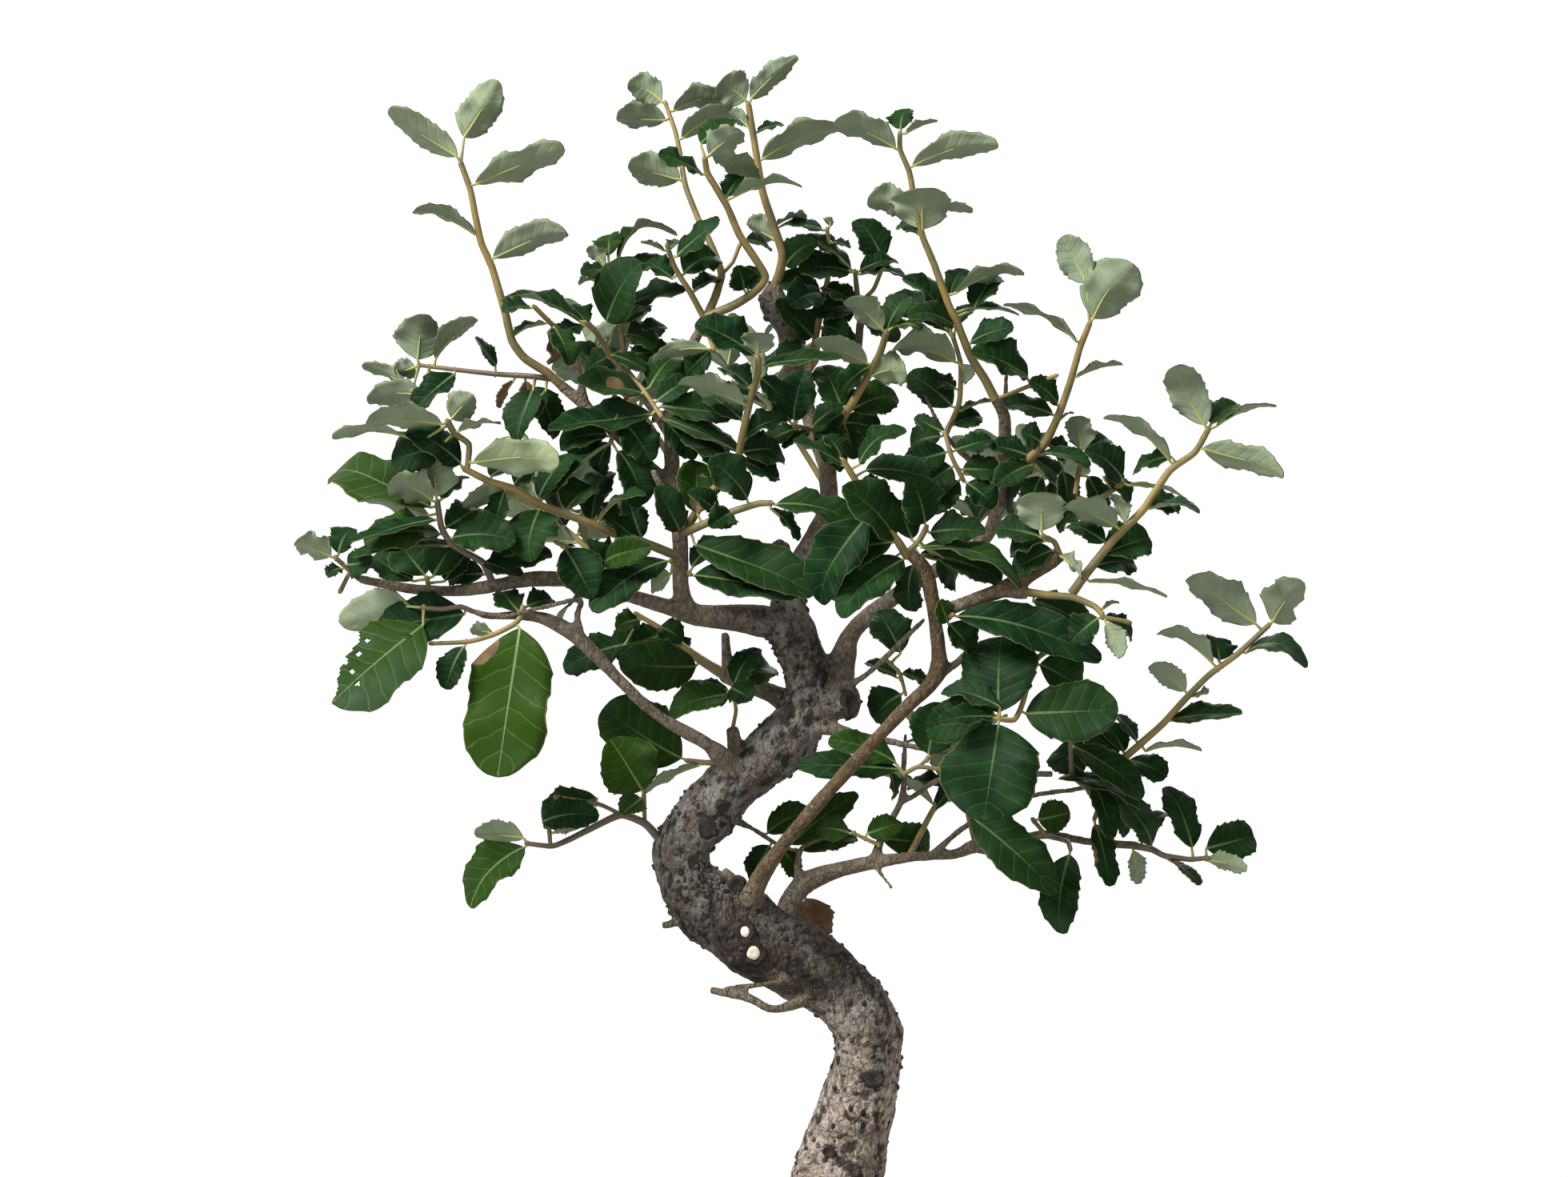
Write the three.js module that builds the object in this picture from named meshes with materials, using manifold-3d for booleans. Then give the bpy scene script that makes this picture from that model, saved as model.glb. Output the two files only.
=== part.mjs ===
// A cork oak bonsai in an unglazed oval pot. Millimetres, +Z up, the pot stands on z = 0,
// +X is the viewer's right and +Y points away from the viewer.
import * as THREE from "three";
import * as BufferGeometryUtils from "three/addons/utils/BufferGeometryUtils.js";
import Module from "manifold-3d";

// Driving dimensions.
const POT_LENGTH = 236;
const POT_DEPTH = 172;
const POT_HEIGHT = 62;
const POT_WALL = 6.5;
const POT_FLOOR = 7;
const POT_LIP = 5;
const POT_FLARE = 20;
const POT_KNEE = 8;
const KNEE_HEIGHT = 30;
const RIM_DEPTH = 7;
const RIM_ROUND = 1.5;
const FLOOR_ROUND = 3;
const POT_SEGMENTS = 40;
const FOOT_SIDES = 20;
const DRAIN_SIDES = 24;
const FOOT_HEIGHT = 8;
const FOOT_RADIUS = 14;
const FOOT_X = 64;
const FOOT_Y = 36;
const DRAIN_RADIUS = 9;
const DRAIN_X = 52;
const SCREEN_SIDE = 30;
const SCREEN_THICK = 1.2;
const SCREEN_HOLE = 5.5;
const SCREEN_PITCH = 8.5;
const CLIP_WIRE = 0.8;
const CLIP_REACH = 7;
const CLIP_BEND = 0.8;
const CLIP_FOOT = 9;
const CLIP_SIDES = 8;
const GRIT_DEPTH = 9;
const SOIL_TOP = 57;
const SOIL_RISE = 3.5;
const MOUND_RADIUS = 50;
const MOUND_SHARE = 0.6;
const GAP = 0.3;
const FILL_CLEARANCE = 0.54;
const OVERLAP = 2;
const SMOOTHING = 0.08;
// Turns that a leaf tries, as changes of its tip's depth, until its blade touches nothing.
const TURNS = [0, 4, -4, 8, -8, 12, -12, 16, -16, 20, -20];
const LEAF_KEEL = 0.75;
const PETIOLE = 0.55;
const LEAF_EDGE = 0.3;
const FOOT_REACH = 0.1;
const MIN_PETIOLE = 1.6;
const STEM_SIDES = 4;
const LIMB_SIDES = 5;
const TRUNK_SIDES = 11;

// The eye that the positions below are laid out for: positions are given as x and z on the
// trunk's own plane, with a depth, and move outwards as the depth grows.
const EYE_X = -6;
const EYE_Z = 304;
const EYE_DISTANCE = 1000;
// The plan position of the whole, so that its box is centred on the origin.
const CENTRE_X = 1.02;
const CENTRE_Y = 0;

// Wood: each limb is a run of [x, z, depth, radius].
const TRUNK = [
  [5, 36, 0, 10], [4, 50, 0, 19], [4.5, 60, 0, 19.5], [6, 70, 0, 16.5], [7.5, 88, 0, 14.8],
  [8.5, 105, 0, 14.2], [10.5, 120, 0, 13.7], [12.8, 130, 0, 13.1], [16.2, 140, -1, 12.1],
  [18.6, 150, -2, 11.9], [19.7, 160, -2, 11.1], [18.6, 168.5, -2, 11.5], [13, 177, -3, 12],
  [4, 184.5, -4, 12], [-6, 190.5, -4, 12], [-17, 196, -4, 12.4], [-27, 202.5, -3, 11.8],
  [-34.3, 210, -2, 10.4], [-37.4, 218, -1, 9.1], [-36.2, 226, 0, 9.5], [-31, 233.5, 1, 10.1],
  [-23, 241.5, 2, 9.6], [-14, 249, 2, 9.4], [-4.5, 257.5, 2, 9.6], [0.8, 268, 2, 8.1],
  [0.8, 279, 2, 7], [-2.5, 289, 2, 7.2], [-4.5, 299, 4, 5.8], [-1.5, 310, 6, 4.4],
  [4, 320, 8, 3.6], [8, 330, 9, 3], [7.5, 341, 9, 2.8], [8.5, 353, 8, 2],
];
const LIMBS = [
  // Low left limb.
  [[-20, 247, -2, 4], [-26, 252, -8, 3.2], [-31, 256, -11, 2.2], [-45.7, 264.5, -17, 1.9],
    [-57, 275, -20, 1.9], [-68, 286.5, -23, 2.4], [-76, 292.5, -24, 2.4], [-85, 295.5, -24, 1.8],
    [-98, 295.5, -25, 1.3], [-106, 298, -26, 0.9]],
  [[-69, 287, -24, 1.5], [-70.6, 296, -25, 1.1], [-69.5, 300.5, -27, 1], [-82, 298, -29, 0.9],
    [-95, 294.7, -30, 0.9]],
  // Limb behind the trunk that runs left.
  [[-4, 268, 6, 4], [-12, 272, 10, 3.2], [-25, 277.3, 15, 2.7]],
  [[-23.4, 278, 14, 2], [-24.4, 290, 8, 1.4]],
  // Long left limb with its upright.
  [[-3, 291, 0, 5.8], [-11, 293.6, -3, 5], [-22, 294.8, -7, 4.1], [-33, 295.6, -10, 3.6],
    [-43.6, 298.6, -13, 2.7], [-55, 302, -16, 2.2], [-68, 306, -18, 2.2], [-84, 307, -20, 2.5],
    [-96, 305, -21, 2], [-108, 303.3, -22, 1.8], [-122, 303.8, -23, 1.7], [-139, 307, -25, 1.3]],
  [[-37, 298, -11, 3.2], [-38.3, 305, -12, 2.5], [-38.6, 320, -13, 2.6], [-41, 343, -7, 2.6],
    [-41, 357, -2, 2.3], [-38.6, 370, -1, 2], [-34.5, 380, -3, 1.8], [-30.5, 388.5, -6, 1.7]],
  [[-39, 323, -13, 1.8], [-43, 333, -18, 1.4], [-47, 341, -20, 1.1]],
  // Left crown limbs.
  [[-40.5, 336, -8, 2.4], [-47, 341.5, -11, 2], [-61, 354.5, -13, 1.9], [-68, 361, -12, 1.8],
    [-76, 367.8, -10, 1.9]],
  [[-41.3, 352, -3, 1.9], [-49, 363, 3, 1.6], [-56, 373, 5, 1.4]],
  [[-68, 361, -12, 1.5], [-70, 371, -14, 1.3], [-72, 381, -15, 1.2]],
  // Central leader with its knobbly top, and the stem right of it.
  [[7.5, 341, 9, 2.6], [2, 358, 14, 2.8], [-2.5, 372, 12, 3.2], [-4, 384, 7, 4.2], [-9, 393, 3, 5.2],
    [-9, 399, 2, 2.6]],
  [[8, 345, 9, 2.2], [12, 364, 13, 1.8], [16.5, 376, 14, 1.6], [18, 388, 13, 1.4]],
  // Right limb.
  [[3, 262, 0, 5], [10, 270, 0, 4.8], [12.6, 282, 3, 4], [16, 291, 6, 3], [28, 301, 12, 2.6],
    [42, 310, 18, 2.6], [56, 319, 16, 2.6], [61, 330, 10, 2.5], [61.5, 341, 4, 2.2],
    [63, 351, 0, 2], [62.8, 358, -4, 1.9], [60, 363.5, -8, 1.8]],
  [[60, 334, 8, 1.7], [54, 342, 4, 1.2], [46.5, 349.5, 0, 1.1], [42, 356, -3, 0.9], [38, 364.5, -6, 0.8]],
  [[61.5, 341, 4, 2], [66, 341, 0, 1.9], [69.5, 343.5, -4, 1.7]],
  [[62.8, 356, -4, 1.2], [63.6, 372, -1, 0.8]],
  // Tan branch in front and its forks.
  [[-15, 201, -6, 4.4], [-16, 207, -11, 3.3], [-12.4, 215, -15, 2.9], [-5.4, 225, -19, 2.3],
    [5.7, 238, -24, 2.2], [18.9, 252.7, -29, 2.2], [32, 266.6, -32, 2.2], [38.5, 272.5, -33, 2.5],
    [42.2, 278.5, -34, 3], [42.2, 286, -34, 2.5], [41.2, 294, -35, 2.3], [39.6, 305, -35, 2.6],
    [37, 311.5, -35.5, 2.3], [33, 315, -36, 1.9]],
  [[42, 297, -34, 2.4], [48, 298.5, -35, 2.3], [62, 303.8, -37, 2.9], [76, 311.5, -42, 2.4],
    [80.5, 315, -43, 2.2]],
  [[62, 303.5, -37, 2.4], [70, 302.3, -39, 2]],
  [[43, 277.5, -33, 1.9], [47, 280, -32, 1.4], [57, 287, -29, 1.3], [74, 289, -32, 0.9],
    [79, 286, -33, 0.8]],
  // Right low limb and its twigs.
  [[-6, 196, 4, 4], [-4, 206, 9, 3.6], [1.5, 212.4, 11, 3.4], [15.4, 217, 10, 2.5], [32.8, 220, 7, 1.9],
    [47, 221, 4, 1.8], [54, 223.6, 2, 2.3], [61, 222, 1, 1.8], [74, 227, -2, 1.6], [90, 224.8, -5, 1.5],
    [105, 223.7, -9, 1.5]],
  [[22.5, 219, 9, 1.8], [24.4, 226, 11, 1.4], [30.7, 238, 14, 1.3], [31.4, 248.6, 15, 1],
    [32, 259, 16, 0.8]],
  [[30.2, 237, 14, 1.2], [36, 240, 12, 1.1], [42, 244, 8, 1.1], [55, 246, 2, 1.1], [78, 246, -8, 1.1]],
  [[40, 220.5, 5, 1.4], [52, 230.5, 2, 1.1], [71, 239, -2, 1], [88, 242, -6, 1], [98.5, 249.5, -12, 1]],
  [[22, 218, 8, 0.9], [28, 210, 4, 0.7]],
  [[-1.5, 209.5, 10, 1.6], [-1, 222, 12, 1], [6, 226, 15, 0.8]],
  [[-22, 232, 6, 1.6], [-15, 228.5, 8, 0.9], [-8, 224, 9, 0.8]],
  // Callus lump and the thin twigs beside it.
  [[2, 266, 0, 5], [11, 268.5, -4, 5.2], [16.5, 268.5, -6, 5.2]],
  [[10, 273, -4, 2], [19.6, 277, -10, 1.1], [38, 294.5, -14, 0.9]],
  [[3, 261, -2, 2.6], [10, 260, -5, 2.2], [21, 257.6, -9, 1.2], [46, 252, -15, 0.9]],
  // Cut stubs, snags and the eye of twigs low on the trunk.
  [[-3, 303, 2, 3.4], [-5.5, 311, -4, 3], [-7.5, 317, -9, 2.8]],
  [[-21, 249, 0, 2.6], [-22, 260.5, -2, 2.3]],
  [[-34, 201, -6, 2], [-44, 198.6, -9, 1]],
  [[-15, 206, -8, 2.6], [-21, 212.5, -10, 1.5], [-25, 215.8, -11, 0.7]],
  [[2, 176, -10, 2.4], [-9, 172.5, -19, 1.3], [-17, 176, -20, 0.9], [-29, 178.5, -21, 0.6]],
  [[-2, 182, -12, 1.8], [-11, 180.5, -18, 0.9], [-24, 179, -20, 0.6]],
];
// Surface roots, which spread from the foot of the trunk and dive into the soil.
const ROOTS = [
  [[0, 60, -6, 9], [-16, 56, -16, 6], [-34, 49, -26, 3]],
  [[10, 60, -8, 9], [24, 56, -20, 6], [42, 48, -30, 3]],
  [[12, 60, 4, 9], [32, 56, 12, 6], [52, 48, 20, 3]],
  [[2, 60, 8, 9], [-8, 56, 26, 6], [-20, 48, 40, 3]],
  [[-4, 60, 0, 9], [-26, 56, 6, 6], [-46, 48, 12, 3]],
];

// Leafy shoots: name, depth at the foot and at the end, radius at the foot and at the end, the
// stem's [x, z] points, its leaves and its side twigs, whose points may add a depth.
// A leaf is [foot x, foot z, tip x, tip z,
// width, facing, reach, arch]: facing is 0 where its upper side faces the viewer, 90 where it
// faces up and 180 where its under side faces the viewer; reach is the tip's depth from the
// foot; arch is how far the midrib bows, as a share of the length (0.06 where it isn't given).
const SHOOTS = [
  ["shoot_far_left_tall", [-10, -24], [1.8, 1],
    [[-75, 367], [-80, 371.5], [-87, 376], [-91, 381.5], [-93.3, 391], [-97.3, 404.5], [-100.5, 411.8],
      [-102.3, 419.8], [-104, 428.5], [-107, 437]],
    [
      [-108, 439, -130, 453, 10, 140, -6],
      [-106, 445, -95.5, 463, 12, 160, 5],
      [-102.5, 430.5, -74.8, 441.6, 11, 132, -6],
      [-100.5, 414.5, -121.5, 423.5, 8, 110, -8],
      [-97.5, 407, -74, 417.5, 11, 134, -7],
    ]],
  ["shoot_far_left_low", [-10, -6], [1.2, 0.7],
    [[-77, 369.3], [-85, 370.3], [-96, 371], [-108, 372.3], [-120, 373.8]],
    [
      [-120.5, 375.5, -118.8, 390, 16, 170, -3],
      [-115, 376, -102.3, 388.6, 10, 115, -4],
      [-121.5, 374, -127.5, 371.5, 7, 150, 3],
      [-109, 371, -121.8, 359.3, 10, 35, -8],
      [-118, 364, -136, 363.5, 10, 145, 4],
      [-122, 366, -136.6, 374.6, 6, 120, 6],
      [-96, 373.5, -102.8, 382.3, 7, 60, -3],
      [-90, 369.5, -95, 360.3, 5, 110, 2],
      [-87, 369, -86, 361, 5, 20, 3],
      [-80.5, 366, -91, 354, 10, 30, -4],
      [-84, 367, -77, 351, 11, 30, 3],
      [-84.5, 366, -90, 350.5, 12, 26, 6],
    ]],
  ["shoot_left_tuft_low", [-14, -22], [1.1, 0.8],
    [[-72, 380], [-75.5, 384], [-79, 387], [-84, 392]],
    [
      [-84, 392, -94, 391.3, 9, 60, -4],
      [-80, 387, -90.3, 383.4, 7, 75, -5],
      [-79, 385.5, -72.3, 375.3, 9, 40, -9],
      [-79.5, 384, -78, 374, 8, 60, 4],
    ]],
  ["shoot_left_tuft_mid", [-3, -12], [1.2, 0.8],
    [[-60, 376], [-64, 383], [-68, 387]],
    [
      [-70, 388, -93.3, 397, 11, 68, -6],
      [-68, 386, -77.5, 383.5, 8, 50, -6],
      [-66, 386.5, -74, 393.5, 9, 50, 8],
      [-47.5, 358.5, -80, 355.5, 13, 45, -6, -0.05],
      [-50, 364.5, -71, 368, 14, 50, -9],
      [-61, 377.5, -49, 372, 8, 50, -4],
      [-43, 356.8, -20, 347, 10, 55, 3],
      [-44.5, 361, -20, 359, 10, 30, 6],
      [-61, 351, -81, 331.5, 8, 60, -2],
      [-58, 347, -50, 330, 13, 30, 2],
      [-48, 367, -39, 378, 10, 25, 6],
      [-62, 354, -73, 345, 10, 30, 5],
      [-47, 362, -34, 369, 9, 30, 2],
      [-59.5, 352, -76.5, 349, 10, 34, 6],
      [-56.5, 358, -47.5, 343.5, 12, 22, 6],
      [-43.5, 357, -34, 344.5, 10, 26, 6],
      [-61, 351, -64.5, 339.5, 9, 26, 5],
    ], [
      [[-56, 372.5], [-60, 376]],
      [[-56, 372.5], [-50, 366, -7], [-44.5, 358, -13]],
      [[-52, 368, -5], [-57.5, 360, -11], [-60, 350, -14]],
    ]],
  ["shoot_left_tuft_top", [5, 2], [1.3, 0.8],
    [[-55, 372], [-56.5, 382], [-57, 391], [-60, 400]],
    [
      [-57, 391.5, -36.5, 396.5, 11, 50, -10],
      [-61.5, 387.5, -51, 406, 18, 26, -14],
      [-60, 402.5, -41.5, 406, 9, 55, 6],
      [-61, 403, -69.3, 403, 7, 55, -4],
      [-62, 405, -67, 410.5, 6, 140, 2],
      [-61, 408, -60.5, 415, 9, 20, 1],
      [-58, 406.5, -41, 417, 8, 78, 8, 0.24],
      [-61, 401, -70, 400.2, 6, 75, 4],
      [-57, 386, -50, 393, 10, 30, 10],
      [-55, 381, -43, 387, 10, 30, 5],
      [-55.5, 377, -41.5, 379, 9, 25, 4],
      [-55.5, 379, -69, 372, 9, 40, 7],
      [-56.5, 384, -46, 379.5, 8, 40, -6],
    ]],
  ["shoot_left_crown_ochre", [-7, -16], [1.3, 0.8],
    [[-31, 388.5], [-35, 396], [-40, 404], [-42.5, 411]],
    [
      [-39.5, 408, -25.8, 419, 10, 48, -8],
      [-38, 402, -27, 408.5, 13, 26, 6],
      [-43, 410, -37.5, 412.5, 6, 60, 4],
      [-43, 409, -50.8, 412, 5, 80, -2],
      [-41, 401, -48.6, 406, 9, 45, 6],
      [-34.5, 397, -26, 401.3, 8, 50, 8],
      [-28.5, 378, -47.5, 376, 5.5, 150, -2],
      [-29.5, 379, -37.5, 369.5, 10, 24, 6],
    ], [[[-31, 388.5], [-29.5, 383, -2], [-28, 379, -3]]]],
  ["shoot_crown_left_tall", [-5, 6], [1.7, 0.7],
    [[-30, 389.5], [-27.5, 395], [-25.5, 402], [-27, 407], [-29.5, 413], [-32.8, 419.5], [-36.8, 430],
      [-38.5, 440], [-40, 447], [-43, 455.5]],
    [
      [-38.5, 431, -54.5, 437, 12, 145, -4],
      [-39.5, 444, -21, 453.8, 10, 122, -4],
      [-43, 450.5, -58.3, 450.8, 11, 128, -3],
      [-43.3, 455.5, -54.3, 462, 10, 150, 3],
      [-41, 453.5, -22.3, 456.8, 11, 122, -3, 0.1],
    ], [[[-25.5, 402], [-22, 406], [-20, 411]]]],
  ["shoot_crown_left_leaning", [-7, -26], [1.8, 1],
    [[-30.5, 388.7], [-22, 392.3], [-16, 396], [-11.8, 401.5], [-19.8, 414.3], [-24, 423.8],
      [-29.8, 433.5], [-30.8, 438.5]],
    [
      [-22, 426.5, -0.8, 431.8, 10, 98, -6],
      [-30.5, 439, -19, 447, 11, 145, -5],
      [-32, 443, -21, 450, 12, 50, 6],
      [-31.5, 433.5, -45, 440, 9, 60, -7],
      [-28, 440, -14, 432, 9, 130, 8],
      [-19, 413.5, -10, 410, 8, 60, 5],
      [-18.5, 397.5, -20.5, 404.5, 9, 20, -6],
      [-17.5, 397.5, -15, 404.5, 8, 20, -4],
      [-24, 425.5, -19.5, 432.8, 7, 28, 4],
    ]],
  ["shoot_crown_top", [2, -4], [2, 1.1],
    [[-9, 398], [-7.3, 403], [-6.5, 408.8], [-10, 419.5], [-12.8, 428.3], [-14.8, 440.5], [-17.1, 455]],
    [
      [-18, 456.5, -26.2, 462.3, 12, 165, -3],
      [-16.4, 457, -2.8, 470.4, 8, 148, 3],
      [-13, 437.8, 12.5, 449.6, 12, 125, -6, 0.1],
      [-15, 446.5, -6.3, 449.3, 6, 60, 3],
      [-16.8, 447, -23, 453, 6, 120, 2],
      [-9, 418, 0.5, 420.6, 6, 90, 6],
      [-9, 412, -17.8, 417.8, 10, 120, 5],
      [-5.5, 405, 4, 412.5, 11, 30, -6],
    ]],
  ["shoot_crown_top_right", [8, 2], [1.4, 0.7],
    [[2, 372], [5, 388], [7.5, 400], [8.5, 408], [7.5, 416]],
    [
      [6, 416, -7.5, 418.3, 9, 62, -4],
      [7.3, 417, 8.6, 420, 4, 130, 1],
      [9, 413, 14.6, 410.3, 5, 60, -2],
      [6.5, 397, -4, 393, 12, 30, -10],
      [6, 392, -2, 381, 9, 35, 6],
      [5, 386, 14, 384, 9, 30, -4],
      [3, 382, -9, 393, 10, 30, -8],
      [3.5, 379, -8, 377, 9, 30, -6],
      [4, 386, 16, 380, 10, 20, -7],
      [5, 393, -7, 402, 11, 30, -5],
      [5.5, 398, 17, 392.5, 8, 40, -4],
      [4, 388, -12, 385, 8, 40, 5],
    ], [[[-2, 366], [2, 372]]]],
  ["shoot_crown_right_node", [14, 4], [1.4, 0.8],
    [[18, 386], [17, 395], [16.2, 403]],
    [
      [15.5, 403.5, 0.8, 414.5, 10, 62, -8],
      [17, 402.5, 31.8, 402.6, 9, 68, -4],
      [17, 404, 29.5, 407, 8, 45, 6],
      [14.5, 403, -1.5, 403, 11, 35, -6],
      [25, 407, 17, 419.8, 12, 25, -8],
      [17.5, 392, 3, 390, 10, 30, -8],
      [18.5, 388, 30, 382.5, 8, 40, -5],
      [17, 392, 6, 387, 9, 30, -4],
    ], [[[17.3, 393], [22, 397.5], [25, 405]]]],
  ["shoot_centre_ochre", [6, -16], [1.8, 1.1],
    [[9, 351], [13, 358], [19.5, 369], [24, 377.5], [26, 384]],
    [
      [25.5, 385, 13.5, 394.6, 10, 140, -5],
      [26.5, 385.5, 33, 395.3, 10, 40, 3],
      [28, 386, 37, 386, 6, 60, -5],
      [20, 374.5, 3.5, 381.3, 10, 128, -8],
      [20.5, 370, 33, 372.5, 11, 158, -8],
      [12, 356, 24, 353.6, 10, 30, 6],
      [13, 360, 29.5, 364.5, 12, 20, 8],
      [22, 374.5, 12, 366, 9, 35, 10],
      [13, 361, 3, 352, 10, 30, 6],
      [11.5, 356, 24, 352, 9, 30, 6],
      [12, 358.5, 6, 374.5, 12, 22, 8],
      [13.2, 356.5, 16, 344.5, 9, 25, 6],
    ]],
  ["shoot_right_crown_small", [0, -8], [1.1, 0.8],
    [[44.5, 352], [48.7, 362], [49.2, 374], [47, 382]],
    [
      [49, 374.5, 27.4, 380.5, 14, 125, -8, 0.1],
      [50, 375.5, 52, 368.6, 6, 140, -3],
      [45.5, 387, 32, 401.6, 11, 45, -6],
      [44, 386, 26, 395, 12, 35, 8],
      [46.5, 384, 33.5, 388.5, 8, 55, 4],
      [47.5, 386, 53, 393, 7, 50, 5],
      [48, 366, 41.5, 369.5, 7, 45, 3],
      [46, 347, 32, 344, 10, 20, -4],
      [48, 343, 36.5, 335, 11, 20, -5],
      [50, 339, 40, 328, 10, 25, -3],
      [51, 338, 60, 330, 10, 30, -3],
      [49.5, 342, 62, 341, 9, 30, 4],
      [47, 347, 59, 351, 8, 40, 5],
      [46.5, 361, 33, 371, 13, 25, -3],
      [47.5, 359.5, 60, 362.5, 5, 80, 4],
      [43.5, 353, 35, 357.5, 6, 30, 3],
      [46, 354.5, 55.5, 358.5, 9, 35, 3],
      [44, 352, 33, 349.5, 10, 25, 6],
    ], [[[46.6, 357], [44.5, 352.5, -6], [46.5, 345, -9], [50, 338, -9]]]],
  ["shoot_right_crown_tall", [-8, -20], [1.8, 0.8],
    [[60, 363], [57, 369], [52.3, 376.5], [48.5, 386], [45.3, 393], [40.9, 405.3], [37.3, 414],
      [35, 424], [33.2, 434], [30.3, 441], [30.2, 446]],
    [
      [37.4, 414.6, 38, 429.6, 18, 174, -5],
      [33, 423.5, 20.2, 425, 10, 150, 3],
      [36.5, 421, 52.6, 422.8, 5, 110, 3],
      [33.5, 436, 60.8, 444, 10, 132, -6, 0.05],
      [29, 441, 9.6, 450, 12, 122, -5],
      [30.8, 447, 32, 454.3, 9, 35, 3],
      [32, 446.5, 42, 450, 5, 98, -2],
      [47.5, 396.5, 68.6, 404.2, 9, 112, -6, 0.1],
      [46, 396, 50, 403.8, 8, 40, 4],
      [53.5, 391.5, 60, 402.5, 10, 35, 5],
      [50, 391.3, 67.5, 389.6, 6, 66, 3],
      [51.3, 380.5, 65.6, 386, 11, 50, -6],
      [47, 386, 34, 390.5, 9, 40, -5],
      [70.2, 370, 53.2, 378.6, 13, 40, -9],
      [38, 414.5, 30, 418, 7, 35, 5],
    ], [[[60, 363], [70, 367, -3], [79, 370.5, -5]]]],
  ["shoot_right_tall", [-3.6, -18], [1.8, 1],
    [[69.5, 343.5], [75.3, 349], [79.3, 357], [83.3, 368], [86.5, 379.3], [89.6, 387]],
    [
      [90.2, 388, 103, 405.6, 17, 168, -4],
      [88.5, 399.5, 81, 414, 11, 152, 4],
      [85.5, 381.5, 62.5, 392.3, 8, 100, -6, 0.12],
      [85, 369.7, 99.8, 374, 6, 88, -5],
      [79.2, 361, 70.6, 369, 8, 35, -5],
      [78, 358.5, 62, 363, 9, 45, 5],
      [79.5, 356, 84.3, 359.4, 2.5, 90, 0],
      [74, 350, 68, 352.5, 9, 25, -3],
      [76.5, 349, 82.5, 345.5, 9, 40, 5],
      [72.5, 347, 89.3, 342.5, 8, 58, -8],
      [72, 344.5, 83, 335, 10, 50, 5],
      [99.6, 338.5, 88.3, 347.3, 12, 30, -6],
      [101, 338, 121.6, 332, 5, 100, -5],
      [88, 346.5, 85.4, 358.2, 9, 148, -3],
      [88.8, 347, 95.3, 351.5, 8, 30, 4],
      [83, 334, 72, 331, 10, 50, 5],
      [90, 331, 79, 322.5, 10, 50, 3],
      [72, 343, 60, 336.5, 9, 30, 5],
      [71, 346, 58.5, 348.5, 8, 30, 4],
      [76, 341.5, 70.5, 330, 9, 30, 6],
      [81, 340.5, 82, 328, 9, 30, 6],
      [89, 339, 95, 327, 9, 30, 6],
      [70.5, 343, 64, 325, 9, 60, 9],
      [94, 339, 103, 331, 8, 40, 5],
    ], [
      [[70.5, 344.5], [80, 336, 2], [90, 331, 0], [100, 337, -3]],
      [[85, 333.5, 1], [86, 340, 2], [87.6, 345.5, 1]],
    ]],
  ["shoot_far_right_tall", [-41, -52], [1.8, 1],
    [[84, 302.5], [88, 308], [96.8, 319], [106.4, 328.8], [114.4, 340.7], [122.3, 346.5], [126.5, 353.5]],
    [
      [127, 355, 116, 374.2, 11.5, 155, -4],
      [127.3, 355.5, 135.5, 362, 10, 50, 4],
      [129, 355, 147.5, 362, 6, 105, 1],
      [124.5, 347.5, 151.2, 341.5, 10, 142, -8],
      [114.8, 344, 94.8, 359, 9, 108, -5],
      [115, 345.3, 102.4, 340.8, 7, 50, 5],
      [107, 329, 123.9, 329.3, 9, 76, -5],
      [98, 323.5, 82, 330.6, 12, 128, -7],
      [93, 314, 107.8, 320, 13, 30, 5],
      [91, 310, 104, 312, 11, 40, 7],
      [89.5, 306.5, 113.8, 301.5, 6, 106, -4],
      [95.5, 318, 82.5, 324.5, 8, 35, 5],
      [100, 324.5, 97, 334, 6, 128, -3],
      [106.5, 330.5, 117.5, 330, 9, 40, 5],
    ]],
  ["shoot_right_stub_pale", [-43, -48], [1.1, 0.9],
    [[80.5, 314], [78.5, 318.5], [75, 320.3]],
    [
      [74.5, 322, 73.4, 334.6, 15, 168, -5],
      [81, 316, 87.3, 307.3, 7, 110, -3],
      [77, 320, 64, 315.5, 8, 50, 5],
      [76, 320.8, 60.5, 322.5, 10, 35, 6],
      [79, 316.5, 65.5, 310, 9, 30, 6],
    ]],
  ["shoot_right_fork_end", [-39, -46], [1.6, 0.9],
    [[69, 303], [76, 302], [84, 301.3], [91, 298.5], [93.5, 295.8]],
    [
      [72, 300, 90.4, 290.4, 13, 35, 7],
      [94.2, 295.3, 99.8, 282.4, 7, 145, -5],
      [94, 297, 103, 288.8, 8, 55, 6],
      [93.5, 295.5, 83.5, 287.5, 11, 35, 6],
      [93, 298.5, 98.6, 300, 3, 90, 0],
    ], [[[93, 295], [102, 293.4]]]],
  ["shoot_right_long_leaf", [-35, -39], [1.2, 0.9],
    [[43.8, 295], [46.5, 295.8]],
    [
      [47.5, 295.5, 93.5, 282.4, 15, 30, -8],
      [45, 293.5, 42.5, 300.5, 7, 20, -6],
      [45.5, 293, 53, 284, 10, 30, 6],
    ]],
  ["shoot_front_bright", [-36, -44], [1.7, 1],
    [[32.5, 314], [29, 319.5], [22, 327.5], [16.5, 337.5], [12.5, 344]],
    [
      [31.5, 313.5, 11, 296.5, 15, 32, -8],
      [30.5, 319, 12.5, 336, 17, 34, -10],
      [38.5, 323.8, 34, 339, 15, 25, -8],
      [37, 317, 68.6, 306.8, 11, 58, -12, 0.1],
      [39.7, 321.5, 57, 321.5, 12, 36, -4],
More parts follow.
